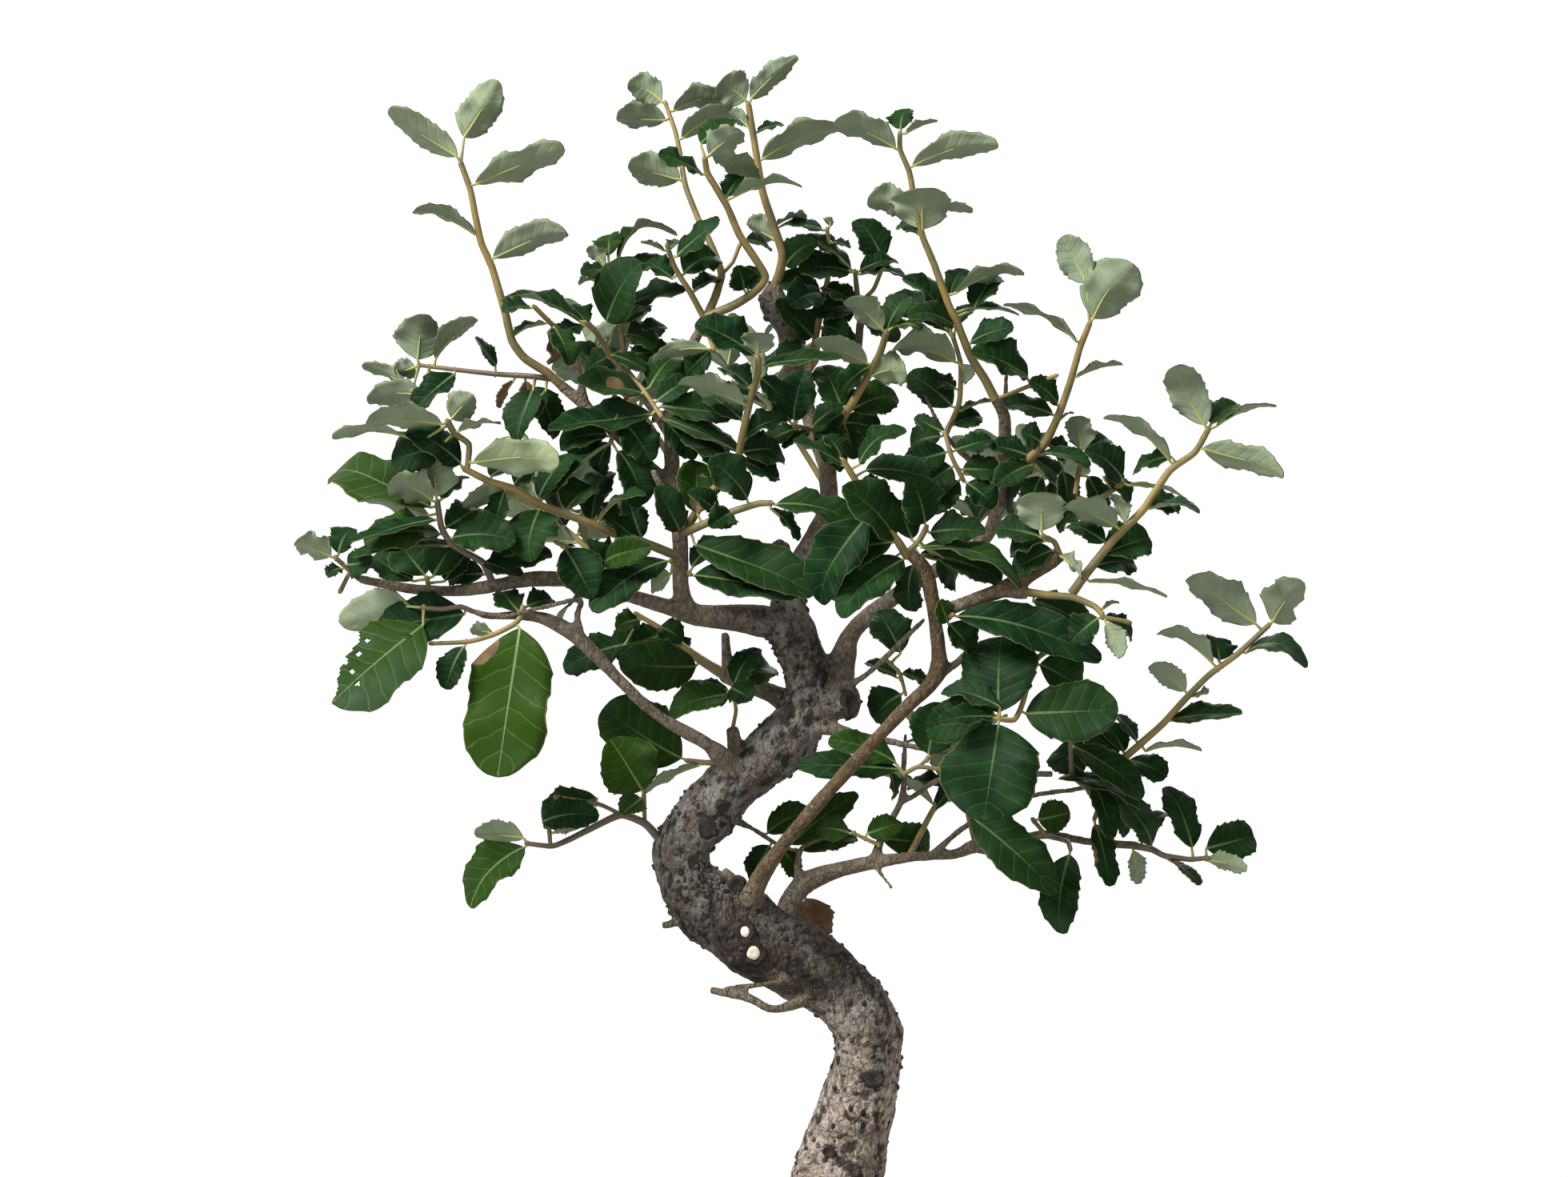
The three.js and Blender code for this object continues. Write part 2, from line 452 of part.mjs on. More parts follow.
      [36.5, 314.6, 50.5, 311.3, 7, 50, 4],
      [14, 342.5, -3.2, 349.6, 10, 60, -6],
      [17.5, 343, 32, 353.6, 11, 55, -6, 0.16],
      [19.5, 341, 40, 338.3, 12, 45, 4],
      [17, 338, 24, 336.5, 5, 50, -3],
      [13, 344.5, 7, 352, 8, 45, 4],
      [29, 318.5, 4, 314, 15, 20, 10],
      [28, 313.5, 9, 301.5, 12, 20, 10],
      [28, 320, 14, 326, 10, 30, 9],
      [34.5, 311.5, 33.5, 296.5, 9, 30, 6],
      [42, 313.5, 48.5, 305, 12, 25, 8],
      [19.5, 326, 3.5, 300, 17, 22, 12],
      [44, 313.5, 62.5, 306.5, 11, 28, 4],
      [34, 319.5, 29, 331.5, 10, 28, 6],
    ], [[[32.5, 315.5], [36, 318.5], [38.5, 323]]]],
  ["shoot_centre_left_ochre", [-10, -28], [1.7, 1],
    [[-37, 322], [-30, 333], [-21.5, 341], [-19, 352], [-16.5, 363], [-14, 372], [-14, 376]],
    [
      [-14, 377, -14.4, 384.6, 10, 165, -6],
      [-15, 376, -33.5, 387.3, 14, 42, -9],
      [-13, 373.5, 12, 375.6, 8, 56, -7],
      [-18.3, 361.5, -39, 368, 11, 122, -8],
      [-13, 370.5, -6.5, 363, 8, 30, 4],
      [-18, 350, -5, 357.5, 11, 50, 6],
      [-20, 346.5, -5.5, 347, 12, 30, 10],
      [-22, 343, -38, 352, 9, 50, 6],
      [-17, 367, -25, 374, 9, 45, 8],
      [-24.5, 340, -35, 352, 10, 30, 8],
      [-19, 356, -31, 365, 9, 30, 8],
      [-22, 345, -8, 338, 8, 40, 8],
    ]],
  ["shoot_centre_dark", [8, -8], [1.1, 0.8],
    [[8.5, 350], [3, 353.5], [-3, 355]],
    [
      [-3, 356, 0, 371.8, 13, 25, -6],
      [-3.5, 355.5, -12, 366, 8, 40, 4],
      [2, 354.5, 11.5, 361.5, 8, 45, -3],
      [2.5, 353, -6, 347.5, 8, 50, -6],
      [4, 354, 12, 346, 10, 40, 6],
      [2, 353, 12, 341, 9, 30, 5],
      [-1, 354.5, -13, 349, 8, 40, 4],
    ]],
  ["shoot_centre_horizontal", [-14, -28], [1.7, 1],
    [[-38, 321], [-30, 324.5], [-22, 328], [-14, 330.5], [-10, 330.7]],
    [
      [-17.5, 332, -29.5, 344.5, 13, 32, -7],
      [-9, 331, 17, 324.3, 11, 45, -8],
      [-21, 327, -29.6, 323.6, 9, 15, -8],
      [-10, 329, -1, 319.3, 7, 60, 4],
      [-33, 327.5, -33, 344, 14, 20, 8],
      [-33.5, 317.5, 3.2, 304.5, 16, 34, -16, -0.03],
      [-25, 326, -36, 334, 8, 40, -6],
      [-38.5, 321.5, -46, 335.5, 10, 26, 6],
    ]],
  ["shoot_centre_underleaf", [-12, -16], [1, 0.8],
    [[-37.5, 309.5], [-35.5, 308.5]],
    [
      [-34.5, 308, -2, 300.8, 14, 42, -10],
      [-34.8, 310.6, -24, 320, 9, 45, 2],
    ]],
  ["shoot_left_ochre_long", [-14, -36], [1.8, 1.1],
    [[-39, 314], [-50, 318.5], [-60, 321.5], [-68, 325], [-82, 330], [-90, 335], [-98, 337.5],
      [-106, 341.5]],
    [
      [-64, 325.5, -49.5, 334, 7, 80, -7, 0.12],
      [-82.6, 328.5, -86, 313, 20, 20, -9],
      [-88, 332.5, -106.3, 330, 9, 132, 5],
      [-91, 336.5, -84, 343.5, 9, 35, -4],
      [-97.5, 339, -90, 341.5, 8, 50, 5],
      [-103, 343.5, -74.5, 345.8, 13, 145, -7],
      [-107, 343, -123.5, 353.6, 13, 42, -7],
      [-75, 327, -66, 337, 11, 35, 8],
      [-57, 320.5, -64, 331, 10, 40, 9],
      [-52, 319.5, -62, 327, 8, 45, -6],
      [-113, 355.5, -136.6, 357, 10, 130, -5],
      [-110.5, 357, -103, 364.6, 10, 150, 4],
      [-108.5, 353.6, -94.6, 355.5, 8, 100, -3, 0.1],
      [-120, 350, -147.2, 350.8, 8, 98, 8, 0.1],
      [-112, 350, -129, 344, 14, 15, 10],
      [-84, 330.5, -72, 346, 9, 35, 7],
      [-66, 325.5, -63, 342, 11, 25, 8],
      [-50, 318.5, -55, 333, 9, 30, 7],
      [-93, 335.5, -97, 322, 9, 30, 6],
    ], [[[-105, 341.2], [-104.5, 349, -2], [-109, 352.5, -4], [-111, 356, -6]]]],
  ["shoot_left_cluster", [-21, -34], [1.4, 1],
    [[-97, 305.5], [-100, 312], [-106, 315.5], [-110, 318], [-113, 323], [-114.3, 331]],
    [
      [-115, 331.5, -129.3, 337, 13, 138, -7],
      [-114.3, 332, -116, 346.5, 14, 150, -3],
      [-113.8, 331, -105.5, 340, 9, 55, 3],
      [-116.5, 329.5, -147.8, 344.6, 17, 40, 5, 0.08],
      [-117, 327, -142, 333, 9, 128, 10],
      [-111.5, 321.5, -136.6, 320, 13, 40, -9],
      [-109.5, 318, -141, 314.5, 8, 62, -6],
      [-111, 320, -90, 319, 13, 32, -6],
      [-114, 326, -141.5, 318, 8, 60, 5],
      [-101, 313, -88, 307.5, 8, 45, -5],
      [-112.5, 322.5, -100.5, 331, 11, 22, 7],
      [-100, 312, -78.5, 314, 12, 28, 5],
      [-99.5, 308, -111, 308, 9, 35, 6],
    ]],
  ["shoot_left_limb_end", [-25, -28], [1.2, 0.8],
    [[-138.5, 307], [-142, 310], [-146, 313.5]],
    [
      [-146.5, 314, -158.6, 319.2, 10, 142, -4],
      [-145.5, 315, -141, 323.3, 9, 25, 3],
      [-143.3, 311.8, -134.8, 313, 9, 8, -7],
      [-143.5, 310.3, -148.6, 308, 5, 40, -4],
    ], [[[-141.5, 309.5], [-144.5, 303.5]]]],
  ["shoot_left_standing_leaves", [-22, -24], [1, 0.8],
    [[-117, 304], [-117.5, 307]],
    [
      [-115.6, 308, -108.5, 318.3, 13, 20, 6],
      [-118.6, 307.6, -126, 318.6, 14, 20, 8],
      [-122, 306.5, -134, 314, 10, 30, 12],
      [-112, 306.5, -104.5, 316, 9, 30, 12],
    ]],
  ["shoot_left_low_end", [-26, -30], [1, 0.8],
    [[-103, 296.7], [-107, 298.3], [-113, 297.5], [-119, 298]],
    [
      [-106, 296, -134.5, 290.8, 17, 30, 6],
      [-119, 292.5, -147.5, 268.5, 27, 30, -8, 0.03],
      [-122.5, 298.5, -142.6, 294.6, 14, 152, 10],
    ]],
  ["shoot_left_great_leaf", [-28, -32], [1.2, 0.7],
    [[-87.4, 298.6], [-88.2, 295.6], [-90, 293], [-97, 289.5], [-104.5, 287.4], [-116, 286.8]],
    [
      [-105.3, 286.5, -111.6, 272.4, 9, 28, -3],
      [-96, 291, -103.7, 290.8, 7, 130, 5],
      [-88.6, 291.5, -95.5, 245, 27.5, 14, -10, 0.03],
      [-89, 297, -94, 303.6, 9, 30, 7],
      [-87, 298, -78.5, 300.6, 8, 35, 9],
    ]],
  ["shoot_left_inner", [-15, -30], [1.2, 0.8],
    [[-50.6, 301], [-58, 307], [-62, 309.3], [-70, 315], [-77.3, 318.5]],
    [
      [-75.8, 316.5, -65.5, 301.3, 15, 25, -5],
      [-61.7, 311, -66.6, 319.3, 7, 40, -6],
      [-62.5, 312, -48.5, 317, 9, 25, -9],
      [-60, 304.5, -78.7, 294.8, 5, 75, 4],
    ]],
  ["shoot_left_front_leaf", [-16, -19], [1.1, 0.9],
    [[-39, 312], [-41.5, 312.6]],
    [
      [-42.5, 312.7, -66, 297, 13, 38, -16],
      [-41.6, 308.6, -47.6, 304, 8, 140, -7],
    ]],
  ["shoot_behind_left", [15, 24], [2.3, 0.8],
    [[-25, 277.3], [-31, 281], [-38, 286], [-43, 290.5], [-52, 296]],
    [
      [-33.5, 279.7, -57.7, 281, 16, 12, -12],
      [-44, 289.5, -60.5, 286, 11, 20, 8],
      [-50, 294.5, -58.5, 291.5, 8, 30, -4],
      [-46, 293, -38, 288, 9, 30, -5],
      [-56, 286.5, -74.5, 278.5, 12, 20, 4],
      [-45, 291.5, -34, 278, 11, 25, 9],
    ]],
  ["shoot_stub_twig", [-2, -6], [0.8, 0.6],
    [[-22, 260.5], [-21, 266], [-22, 271.5]],
    [
      [-23, 271.6, -41.5, 266, 12, 40, -8, 0.1],
      [-22.5, 273, -16.2, 269.3, 9, 20, -6],
      [-23.5, 272.3, -38, 273.5, 7, 60, 6],
      [-21.5, 274, -14, 285.5, 9, 30, 8],
      [-21, 272.8, -9.5, 281.5, 11, 22, 7],
    ]],
  ["shoot_trunk_left_leaves", [-2, 3], [1.2, 0.9],
    [[-26, 249.5], [-31, 249.6], [-36, 250.2]],
    [
      [-38, 251, -62.5, 266.5, 22, 12, 6],
      [-31.5, 248.9, -50.2, 239.3, 6, 115, -4],
    ]],
  ["shoot_low_left", [-2, -14], [1.7, 0.8],
    [[-43.5, 224], [-49.3, 230.5], [-56.8, 233.3], [-64.4, 230], [-73, 225.6], [-78.5, 223.5],
      [-86, 224.3]],
    [
      [-87, 223.3, -105, 205.8, 15, 35, -8, 0.1],
      [-87.5, 226.3, -102.8, 227.6, 9, 145, 4],
      [-81.5, 231, -64.4, 233.3, 10, 25, -7],
      [-64.5, 238.5, -83, 231.5, 12, 22, 8],
      [-79, 227.6, -71, 229.6, 5, 135, 3],
      [-50.3, 241, -59.6, 256.4, 19, 12, -6],
      [-50.6, 240.2, -56.6, 234, 8, 25, -10],
    ], [[[-56.8, 233.3], [-63.9, 236.6], [-77, 238.8]], [[-49.5, 231], [-49.8, 239.5]],
      [[-79, 223.8], [-79.5, 230]]]],
  ["shoot_behind_trunk_low", [9, 14], [0.9, 0.6],
    [[-15, 228.5], [-8, 224], [-2, 222]],
    [
      [-10, 224.5, -16.5, 212.5, 10, 22, 3],
      [-12, 228, 3, 234.5, 10, 25, 4],
      [-5, 224.5, 17, 240, 11, 25, 6],
      [-2, 222.5, 17, 226.5, 10, 28, 5],
      [-8.5, 223, -2, 214, 8, 30, 5],
    ]],
  ["shoot_behind_trunk_right", [7.9, 7.3], [0.8, 0.6],
    [[23.5, 224], [19, 226], [16, 227.5]],
    [
      [24.5, 226, 40.4, 225, 12, 20, 8],
      [20, 227.5, 31, 231, 9, 25, 10],
      [16, 228, 4, 229, 8, 25, 2],
    ]],
  ["shoot_below_limb_dry", [10, 12], [0.9, 0.7],
    [[-2.5, 209], [0.5, 208.5]],
    [
      [1, 208, 4.5, 193.5, 10, 20, 4],
    ]],
  ["shoot_front_dark_leaf", [-14, -17], [0.9, 0.7],
    [[31.5, 246], [36, 248.3], [43.5, 247.4]],
    [
      [30, 247.5, -1.2, 250, 10, 45, -10],
      [38.5, 251, 43, 268, 15, 20, -3],
      [27, 247, 28.5, 238, 6, 60, 4],
      [29, 249.5, 8, 257, 9, 30, 4],
    ], [[[36, 248.3], [42, 253.5]]]],
  ["shoot_right_behind_small", [-12, -6], [0.8, 0.6],
    [[25, 282.5], [30, 277.8], [32, 271]],
    [
      [31, 276, 19.5, 281, 7, 60, 4],
      [32, 272, 21.5, 263, 13, 20, 8],
      [30.5, 284, 23, 297.5, 13, 20, 8],
      [30.5, 279, 39, 275.2, 6, 55, 4],
    ]],
  ["shoot_right_low_cluster", [-33, -42], [1.1, 0.9],
    [[78, 285.6], [73, 282], [71, 277], [68.5, 268], [66, 263], [61, 263.2]],
    [
      [61, 261.5, 56.3, 231.6, 29.5, 12, -12, 0.03],
      [61, 265.3, 61.8, 289, 25, 22, 7],
      [59.3, 263.9, 42.6, 263.2, 8, 55, -8],
      [69.5, 265, 98.5, 266, 19, 20, -8, 0.04],
      [72.5, 281, 87, 272.5, 14, 24, 8],
      [60, 264.5, 38.5, 259.5, 15, 30, 7],
      [61.5, 267, 43.5, 273, 9, 50, 5],
    ]],
  ["shoot_right_low_hanging", [-0.4, -13], [1.2, 0.9],
    [[53.8, 224.6], [52, 231.5], [51.5, 233.5]],
    [
      [52.5, 232.5, 79.3, 210, 17, 25, -16],
    ]],
  ["shoot_right_low_mid", [-4, -12], [1, 0.8],
    [[76, 226.8], [82.5, 225], [83.5, 222.5]],
    [
      [85, 222, 80.2, 196.3, 12.5, 12, -4, 0.03],
      [72.8, 232.4, 83.4, 234, 10, 10, -3],
    ], [[[76, 226.8], [71.8, 231.7]]]],
  ["shoot_right_low_dense", [-7, -18], [1.1, 0.8],
    [[88, 242.2], [84, 246], [83.5, 256]],
    [
      [84, 255.5, 106.6, 240, 12, 38, -8],
      [87.5, 246.5, 79, 254.5, 13, 15, 6],
      [80, 244.8, 106.6, 238.3, 9, 58, 6],
      [88.8, 246.5, 96.8, 226.6, 8, 30, -10],
      [93, 243, 102.3, 226.8, 8, 40, 5],
      [91, 232, 95.7, 210.8, 8, 25, -8],
    ], [[[88, 242.2], [92, 236], [91, 232]]]],
  ["shoot_right_low_end", [-9, -22], [1.4, 0.8],
    [[103, 223.7], [109, 222.5], [113, 220.5], [121, 219.4], [126, 219.8]],
    [
      [121.6, 223, 114.2, 242.8, 11, 28, 5],
      [124.5, 221, 138.6, 216.3, 7, 145, -6],
      [126, 222.8, 141.5, 227, 12, 14, 4],
      [113, 220, 124.2, 211.4, 6, 66, -5],
      [109, 224, 100, 237.6, 10, 28, -6],
      [105, 224.5, 112.5, 235, 8, 50, 6],
      [103, 224, 105, 211.5, 6, 148, -3],
    ]],
  ["shoot_far_right_low", [-12, -34], [1.5, 0.9],
    [[98, 249], [106, 256], [112.5, 261.8], [118.9, 268.9], [126.8, 276.9], [135.5, 283.3], [145.5, 292.5]],
    [
      [145.5, 294, 156, 306, 14, 158, 4],
      [141.5, 293, 120.7, 309, 13, 152, -6],
      [136.5, 284.5, 157.8, 281, 11, 62, -6, 0.26],
      [128, 281, 111.3, 291.4, 11, 108, -4],
      [130, 281.5, 129, 288.6, 10, 20, 6],
      [119.5, 272, 108.6, 280.2, 8.5, 140, -3],
      [120, 271, 126.6, 271.5, 6, 110, 3],
      [113, 263.3, 137.3, 264.5, 10, 58, -6],
      [104.5, 256, 98.3, 264.8, 7, 55, 3],
      [101, 251.5, 95.5, 262, 8, 30, 5],
      [107, 253.5, 124.5, 252.6, 6, 100, -4, 0.12],
      [101, 250.5, 113.6, 245, 10, 45, -5],
      [98.5, 252, 87, 260, 10, 35, 6],
    ]],
];

// Shoots that fill the far side of the crown: name, foot [x, z, depth] on a limb, tip [x, z, depth].
const BACK_SHOOTS = [
  ["shoot_back_left", [-56, 302, -13], [-88, 330, 56]],
  ["shoot_back_left_high", [-40.5, 343, -5], [-68, 374, 48]],
  ["shoot_back_centre", [7.6, 335, 11], [-24, 372, 66]],
  ["shoot_back_right", [44, 311, 19], [74, 338, 66]],
  ["shoot_back_right_low", [32.8, 220, 8], [57, 253, 50]],
];
const BACK_LEAVES = 12;
const BACK_LEAF_LENGTH = 27;
const BACK_LEAF_WIDTH = 12.5;
const BACK_STEM_BOW = 5;
const BACK_STEM_STEPS = 3;
const BACK_STEM_RADII = [1.3, 0.8];
const BACK_BARE_SHARE = 0.3;
const BACK_LEAF_DEPTH = 9;
const BACK_LENGTH_STEP = 0.125;
const BACK_WIDTH_STEP = 0.1;
const BACK_SPREAD = 0.8;
const BACK_LIFT = 0.35;
const BACK_RISE = 0.55;
const BACK_FACING = 70;
const BACK_FACING_STEP = 25;
const BACK_DEPTH_TURN = 2.4;
const GOLDEN_ANGLE = 137.5;

const wasm = await Module();
wasm.setup();

/** A point given on the trunk's plane, put at its depth on the eye's line. */
function seen(x, z, depth) {
  const spread = 1 + depth / EYE_DISTANCE;
  return new THREE.Vector3(EYE_X + (x - EYE_X) * spread, depth, EYE_Z + (z - EYE_Z) * spread);
}

/** A closed three.js geometry as a solid that can be joined and cut. */
function toSolid(geometry) {
  const bare = geometry.clone();
  bare.deleteAttribute("normal");
  bare.deleteAttribute("uv");
  const merged = BufferGeometryUtils.mergeVertices(bare, 1e-4);
  return new wasm.Manifold(new wasm.Mesh({
    numProp: 3,
    vertProperties: new Float32Array(merged.attributes.position.array),
    triVerts: new Uint32Array(merged.index.array),
  }));
}

/** The geometry of a solid. */
function toGeometry(solid) {
  const mesh = largest(solid.asOriginal().simplify(SMOOTHING)).getMesh();
  const geometry = new THREE.BufferGeometry();
  geometry.setAttribute("position", new THREE.BufferAttribute(new Float32Array(mesh.vertProperties), 3));
  geometry.setIndex(new THREE.BufferAttribute(new Uint32Array(mesh.triVerts), 1));
  geometry.computeVertexNormals();
  return geometry;
}

/** The largest body of a solid. */
function largest(solid) {
  const bodies = solid.decompose();
  return bodies.reduce((best, body) => (body.volume() > best.volume() ? body : best));
}

/** A closed skin over rings of points that ends in a fan, or in a point where the last ring is one. */
function skin(rings) {
  const positions = rings.flat().flatMap((point) => [point.x, point.y, point.z]);
  const faces = [];
  const size = rings[0].length;
  const pointed = rings[rings.length - 1].length === 1;
  const whole = pointed ? rings.length - 1 : rings.length;
  for (let r = 0; r + 1 < whole; r += 1) {
    for (let i = 0; i < size; i += 1) {
      const a = r * size + i;
      const b = r * size + ((i + 1) % size);
      faces.push(a, b, a + size, b, b + size, a + size);
    }
  }
  const last = (whole - 1) * size;
  for (let i = 1; i + 1 < size; i += 1) {
    faces.push(0, i + 1, i);
    if (!pointed) {
      faces.push(last, last + i, last + i + 1);
    }
  }
  for (let i = 0; pointed && i < size; i += 1) {
    faces.push(last + i, last + ((i + 1) % size), last + size);
  }
  const geometry = new THREE.BufferGeometry();
  geometry.setAttribute("position", new THREE.Float32BufferAttribute(positions, 3));
  geometry.setIndex(faces);
  return geometry;
}

/** A round stem along points, with a radius at each, closed ends and a margin all round. */
function stemGeometry(points, radii, sides, margin) {
  const curve = new THREE.CatmullRomCurve3(points, false, "centripetal");
  const last = points.length - 1;
  const rings = [];
  let normal = new THREE.Vector3(0, 1, 0);
  points.forEach((point, i) => {
    const tangent = curve.getTangent(i / last).normalize();
    const centre = point.clone().addScaledVector(tangent, ((i === last) - (i === 0)) * margin);
    const radius = radii[i] + margin / Math.cos(Math.PI / sides);
    normal = normal.clone().addScaledVector(tangent, -normal.dot(tangent)).normalize();
    const binormal = tangent.clone().cross(normal);
    const ring = [];
    for (let s = 0; s < sides; s += 1) {
      const angle = (2 * Math.PI * s) / sides;
      ring.push(centre.clone()
        .addScaledVector(normal, radius * Math.cos(angle))
        .addScaledVector(binormal, radius * Math.sin(angle)));
    }
    rings.push(ring);
  });
  return skin(rings);
}

/** A limb's solid, from its [x, z, depth, radius] points, thickened by a margin. */
function limbSolid(limb, sides, margin) {
  const points = limb.map(([x, z, depth]) => seen(x, z, depth));
  return toSolid(stemGeometry(points, limb.map((point) => point[3]), sides, margin));
}

/** The trunk, its limbs and its roots as one solid, thickened by a margin. */
function woodSolid(margin) {
  const limbs = [...LIMBS, ...ROOTS].map((limb) => limbSolid(limb, LIMB_SIDES, margin));
  return wasm.Manifold.union([limbSolid(TRUNK, TRUNK_SIDES, margin), ...limbs]);
}

/** The point of a shoot's stems that lies nearest to a leaf's foot, both on the trunk's plane. */
function nearestOnStems(stems, x, z) {
  let best = { distance: Infinity };
  for (const stem of stems) {
    for (let i = 0; i + 1 < stem.length; i += 1) {
      const [ax, az, ad] = stem[i];
      const [bx, bz, bd] = stem[i + 1];
      const length = (bx - ax) ** 2 + (bz - az) ** 2;
      const share = Math.min(1, Math.max(0, ((x - ax) * (bx - ax) + (z - az) * (bz - az)) / length));
      const px = ax + share * (bx - ax);
      const pz = az + share * (bz - az);
      const distance = Math.hypot(x - px, z - pz);
      if (distance < best.distance) {
        best = { distance, x: px, z: pz, depth: ad + share * (bd - ad) };
      }
    }
  }
  return best;
}

/** The frame of a leaf: where it leaves its stem, its foot, its tip, its side and its upper face. */
function leafFrame(stems, leaf, turn) {
  const [fx, fz, tx, tz, width, facing, reach, arch = 0.06] = leaf;
  const joint = nearestOnStems(stems, fx, fz);
  const root = seen(joint.x, joint.z, joint.depth);
  const tip = seen(tx, tz, joint.depth + reach + turn);
  const foot = seen(fx, fz, joint.depth + FOOT_REACH * (reach + turn));
  const axis = tip.clone().sub(foot).normalize();
  if (foot.distanceTo(root) < MIN_PETIOLE) {
    foot.copy(root).addScaledVector(axis, MIN_PETIOLE);
    axis.copy(tip).sub(foot).normalize();
  }
  const toViewer = new THREE.Vector3(0, -1, 0);
  toViewer.addScaledVector(axis, -toViewer.dot(axis)).normalize();
  const upward = axis.clone().cross(toViewer);
  if (upward.z < 0) {
    upward.negate();
  }
  const angle = THREE.MathUtils.degToRad(facing);
  const upper = toViewer.multiplyScalar(Math.cos(angle)).addScaledVector(upward, Math.sin(angle));
  const side = axis.clone().cross(upper);
  return { root, foot, tip, side, upper, width, arch, length: foot.distanceTo(tip) };
}

// The leaf's outline: how far along, and how wide as a share of the greatest width.
const OUTLINE = [[0.14, 0.66], [0.66, 0.94]];

/** One leaf as a thin keeled plate, with its petiole or as the blade alone, thickened by a margin. */
function leafSolid(frame, margin, petiole = true) {
  const half = frame.width / 2;
  const axis = frame.tip.clone().sub(frame.foot).normalize();
  const at = (centre, across, up) => (
    centre.clone().addScaledVector(frame.side, across).addScaledVector(frame.upper, up)
  );
  const ringAt = (centre, reach, lift, keel) => {
    const edge = reach + margin;
    return margin === 0
      ? [at(centre, edge, lift), at(centre, 0, -keel), at(centre, -edge, lift)]
      : [at(centre, edge, lift + margin), at(centre, edge, lift - margin), at(centre, 0, -keel - margin),
        at(centre, -edge, lift - margin), at(centre, -edge, lift + margin)];
  };
  const rings = [];
  if (petiole) {
    rings.push(ringAt(frame.root, PETIOLE, PETIOLE, LEAF_KEEL));
  }
  for (const [along, wide] of OUTLINE) {
    const bow = 4 * along * (1 - along) * frame.arch * frame.length;
    const centre = frame.foot.clone().lerp(frame.tip, along).addScaledVector(frame.upper, bow);
    rings.push(ringAt(centre, Math.max(PETIOLE, half * wide), LEAF_EDGE, LEAF_KEEL));
  }
  if (margin === 0) {
    rings.push([frame.tip.clone()]);
  } else {
    rings.push(ringAt(frame.tip.clone().addScaledVector(axis, margin), 0, 0, 0));
  }
  return toSolid(skin(rings));
}

/** A shoot's stems as runs of [x, z, depth]: the stem itself, then its side twigs. */
function shootStems([, depths, , stem, , twigs = []]) {
  const steps = stem.length - 1;
  const main = stem.map(([x, z], i) => [x, z, depths[0] + ((depths[1] - depths[0]) * i) / steps]);
  const sides = twigs.map((twig) => {
    const joint = nearestOnStems([main], twig[0][0], twig[0][1]);
    return twig.map(([x, z, offset = 0]) => [x, z, joint.depth + offset]);
  });
  return [main, ...sides];
}

/** A shoot's bare stems as one solid, thickened by a margin. */
function stemsSolid(shoot, stems, margin) {
  const radii = shoot[2];
  const solids = stems.map((stem, which) => {
    const foot = which === 0 ? radii[0] : radii[1];
    const points = stem.map(([x, z, depth]) => seen(x, z, depth));
    const taper = stem.map((_, i) => foot + ((radii[1] - foot) * i) / (stem.length - 1));
    return toSolid(stemGeometry(points, taper, STEM_SIDES, margin));
  });
  return wasm.Manifold.union(solids);
}

/** A solid with its box, for quick tests. */
function boxed(solid, owner) {
  return { solid, owner, box: solid.boundingBox() };
}

/** Whether two boxed solids have overlapping boxes. */
function near(one, other) {
  return [0, 1, 2].every((i) => one.box.max[i] > other.box.min[i] && other.box.max[i] > one.box.min[i]);
}

/** How much of a solid lies inside others. */
function shared(solid, others) {
  const item = boxed(solid);
  return others
    .filter((other) => near(item, other))
    .reduce((sum, other) => sum + solid.intersect(other.solid).volume(), 0);
}

/** A solid less all the others, but for those of one owner. */
function cutFree(solid, others, owner) {
  const item = boxed(solid);
  const cutters = others.filter((other) => other.owner !== owner && near(item, other));
  return cutters.reduce((rest, cutter) => rest.subtract(cutter.solid), solid);
}

/** A leaf's frame at the first turn at which its blade is clear of what is placed, or clearest. */
function settleLeaf(stems, leaf, placed) {
  let best = { volume: Infinity };
  for (const turn of TURNS) {
    const frame = leafFrame(stems, leaf, turn);
    const volume = shared(leafSolid(frame, 0, false), placed);
    if (volume < best.volume) {
      best = { volume, frame };
    }
    if (volume === 0) {
      break;
    }
  }
  return best.frame;
}

/** A far-side shoot in the same form as the others, its leaves set round it by the golden angle. */
function backShoot([name, foot, tip]) {
  const along = (share) => [
    foot[0] + share * (tip[0] - foot[0]),
    foot[1] + share * (tip[1] - foot[1]) + BACK_STEM_BOW * Math.sin(Math.PI * share),
  ];
  const stem = [];
  for (let i = 0; i <= BACK_STEM_STEPS; i += 1) {
    stem.push(along(i / BACK_STEM_STEPS));
  }
  const leaves = [];
  for (let i = 0; i < BACK_LEAVES; i += 1) {
    const [x, z] = along(BACK_BARE_SHARE + ((1 - BACK_BARE_SHARE) * i) / (BACK_LEAVES - 1));
    const turn = THREE.MathUtils.degToRad(GOLDEN_ANGLE * i + foot[0]);
    const length = BACK_LEAF_LENGTH * (1 - BACK_LENGTH_STEP * (i % 3));
    const width = BACK_LEAF_WIDTH * (1 - BACK_WIDTH_STEP * (i % 3));
    const tipX = x + BACK_SPREAD * length * Math.cos(turn);
    const tipZ = z + length * (BACK_LIFT + BACK_RISE * Math.sin(turn));
    const facing = BACK_FACING + BACK_FACING_STEP * (i % 4);
    leaves.push([x, z, tipX, tipZ, width, facing, BACK_LEAF_DEPTH * Math.cos(BACK_DEPTH_TURN * i)]);
  }
  return [name, [foot[2], tip[2]], BACK_STEM_RADII, stem, leaves];
}

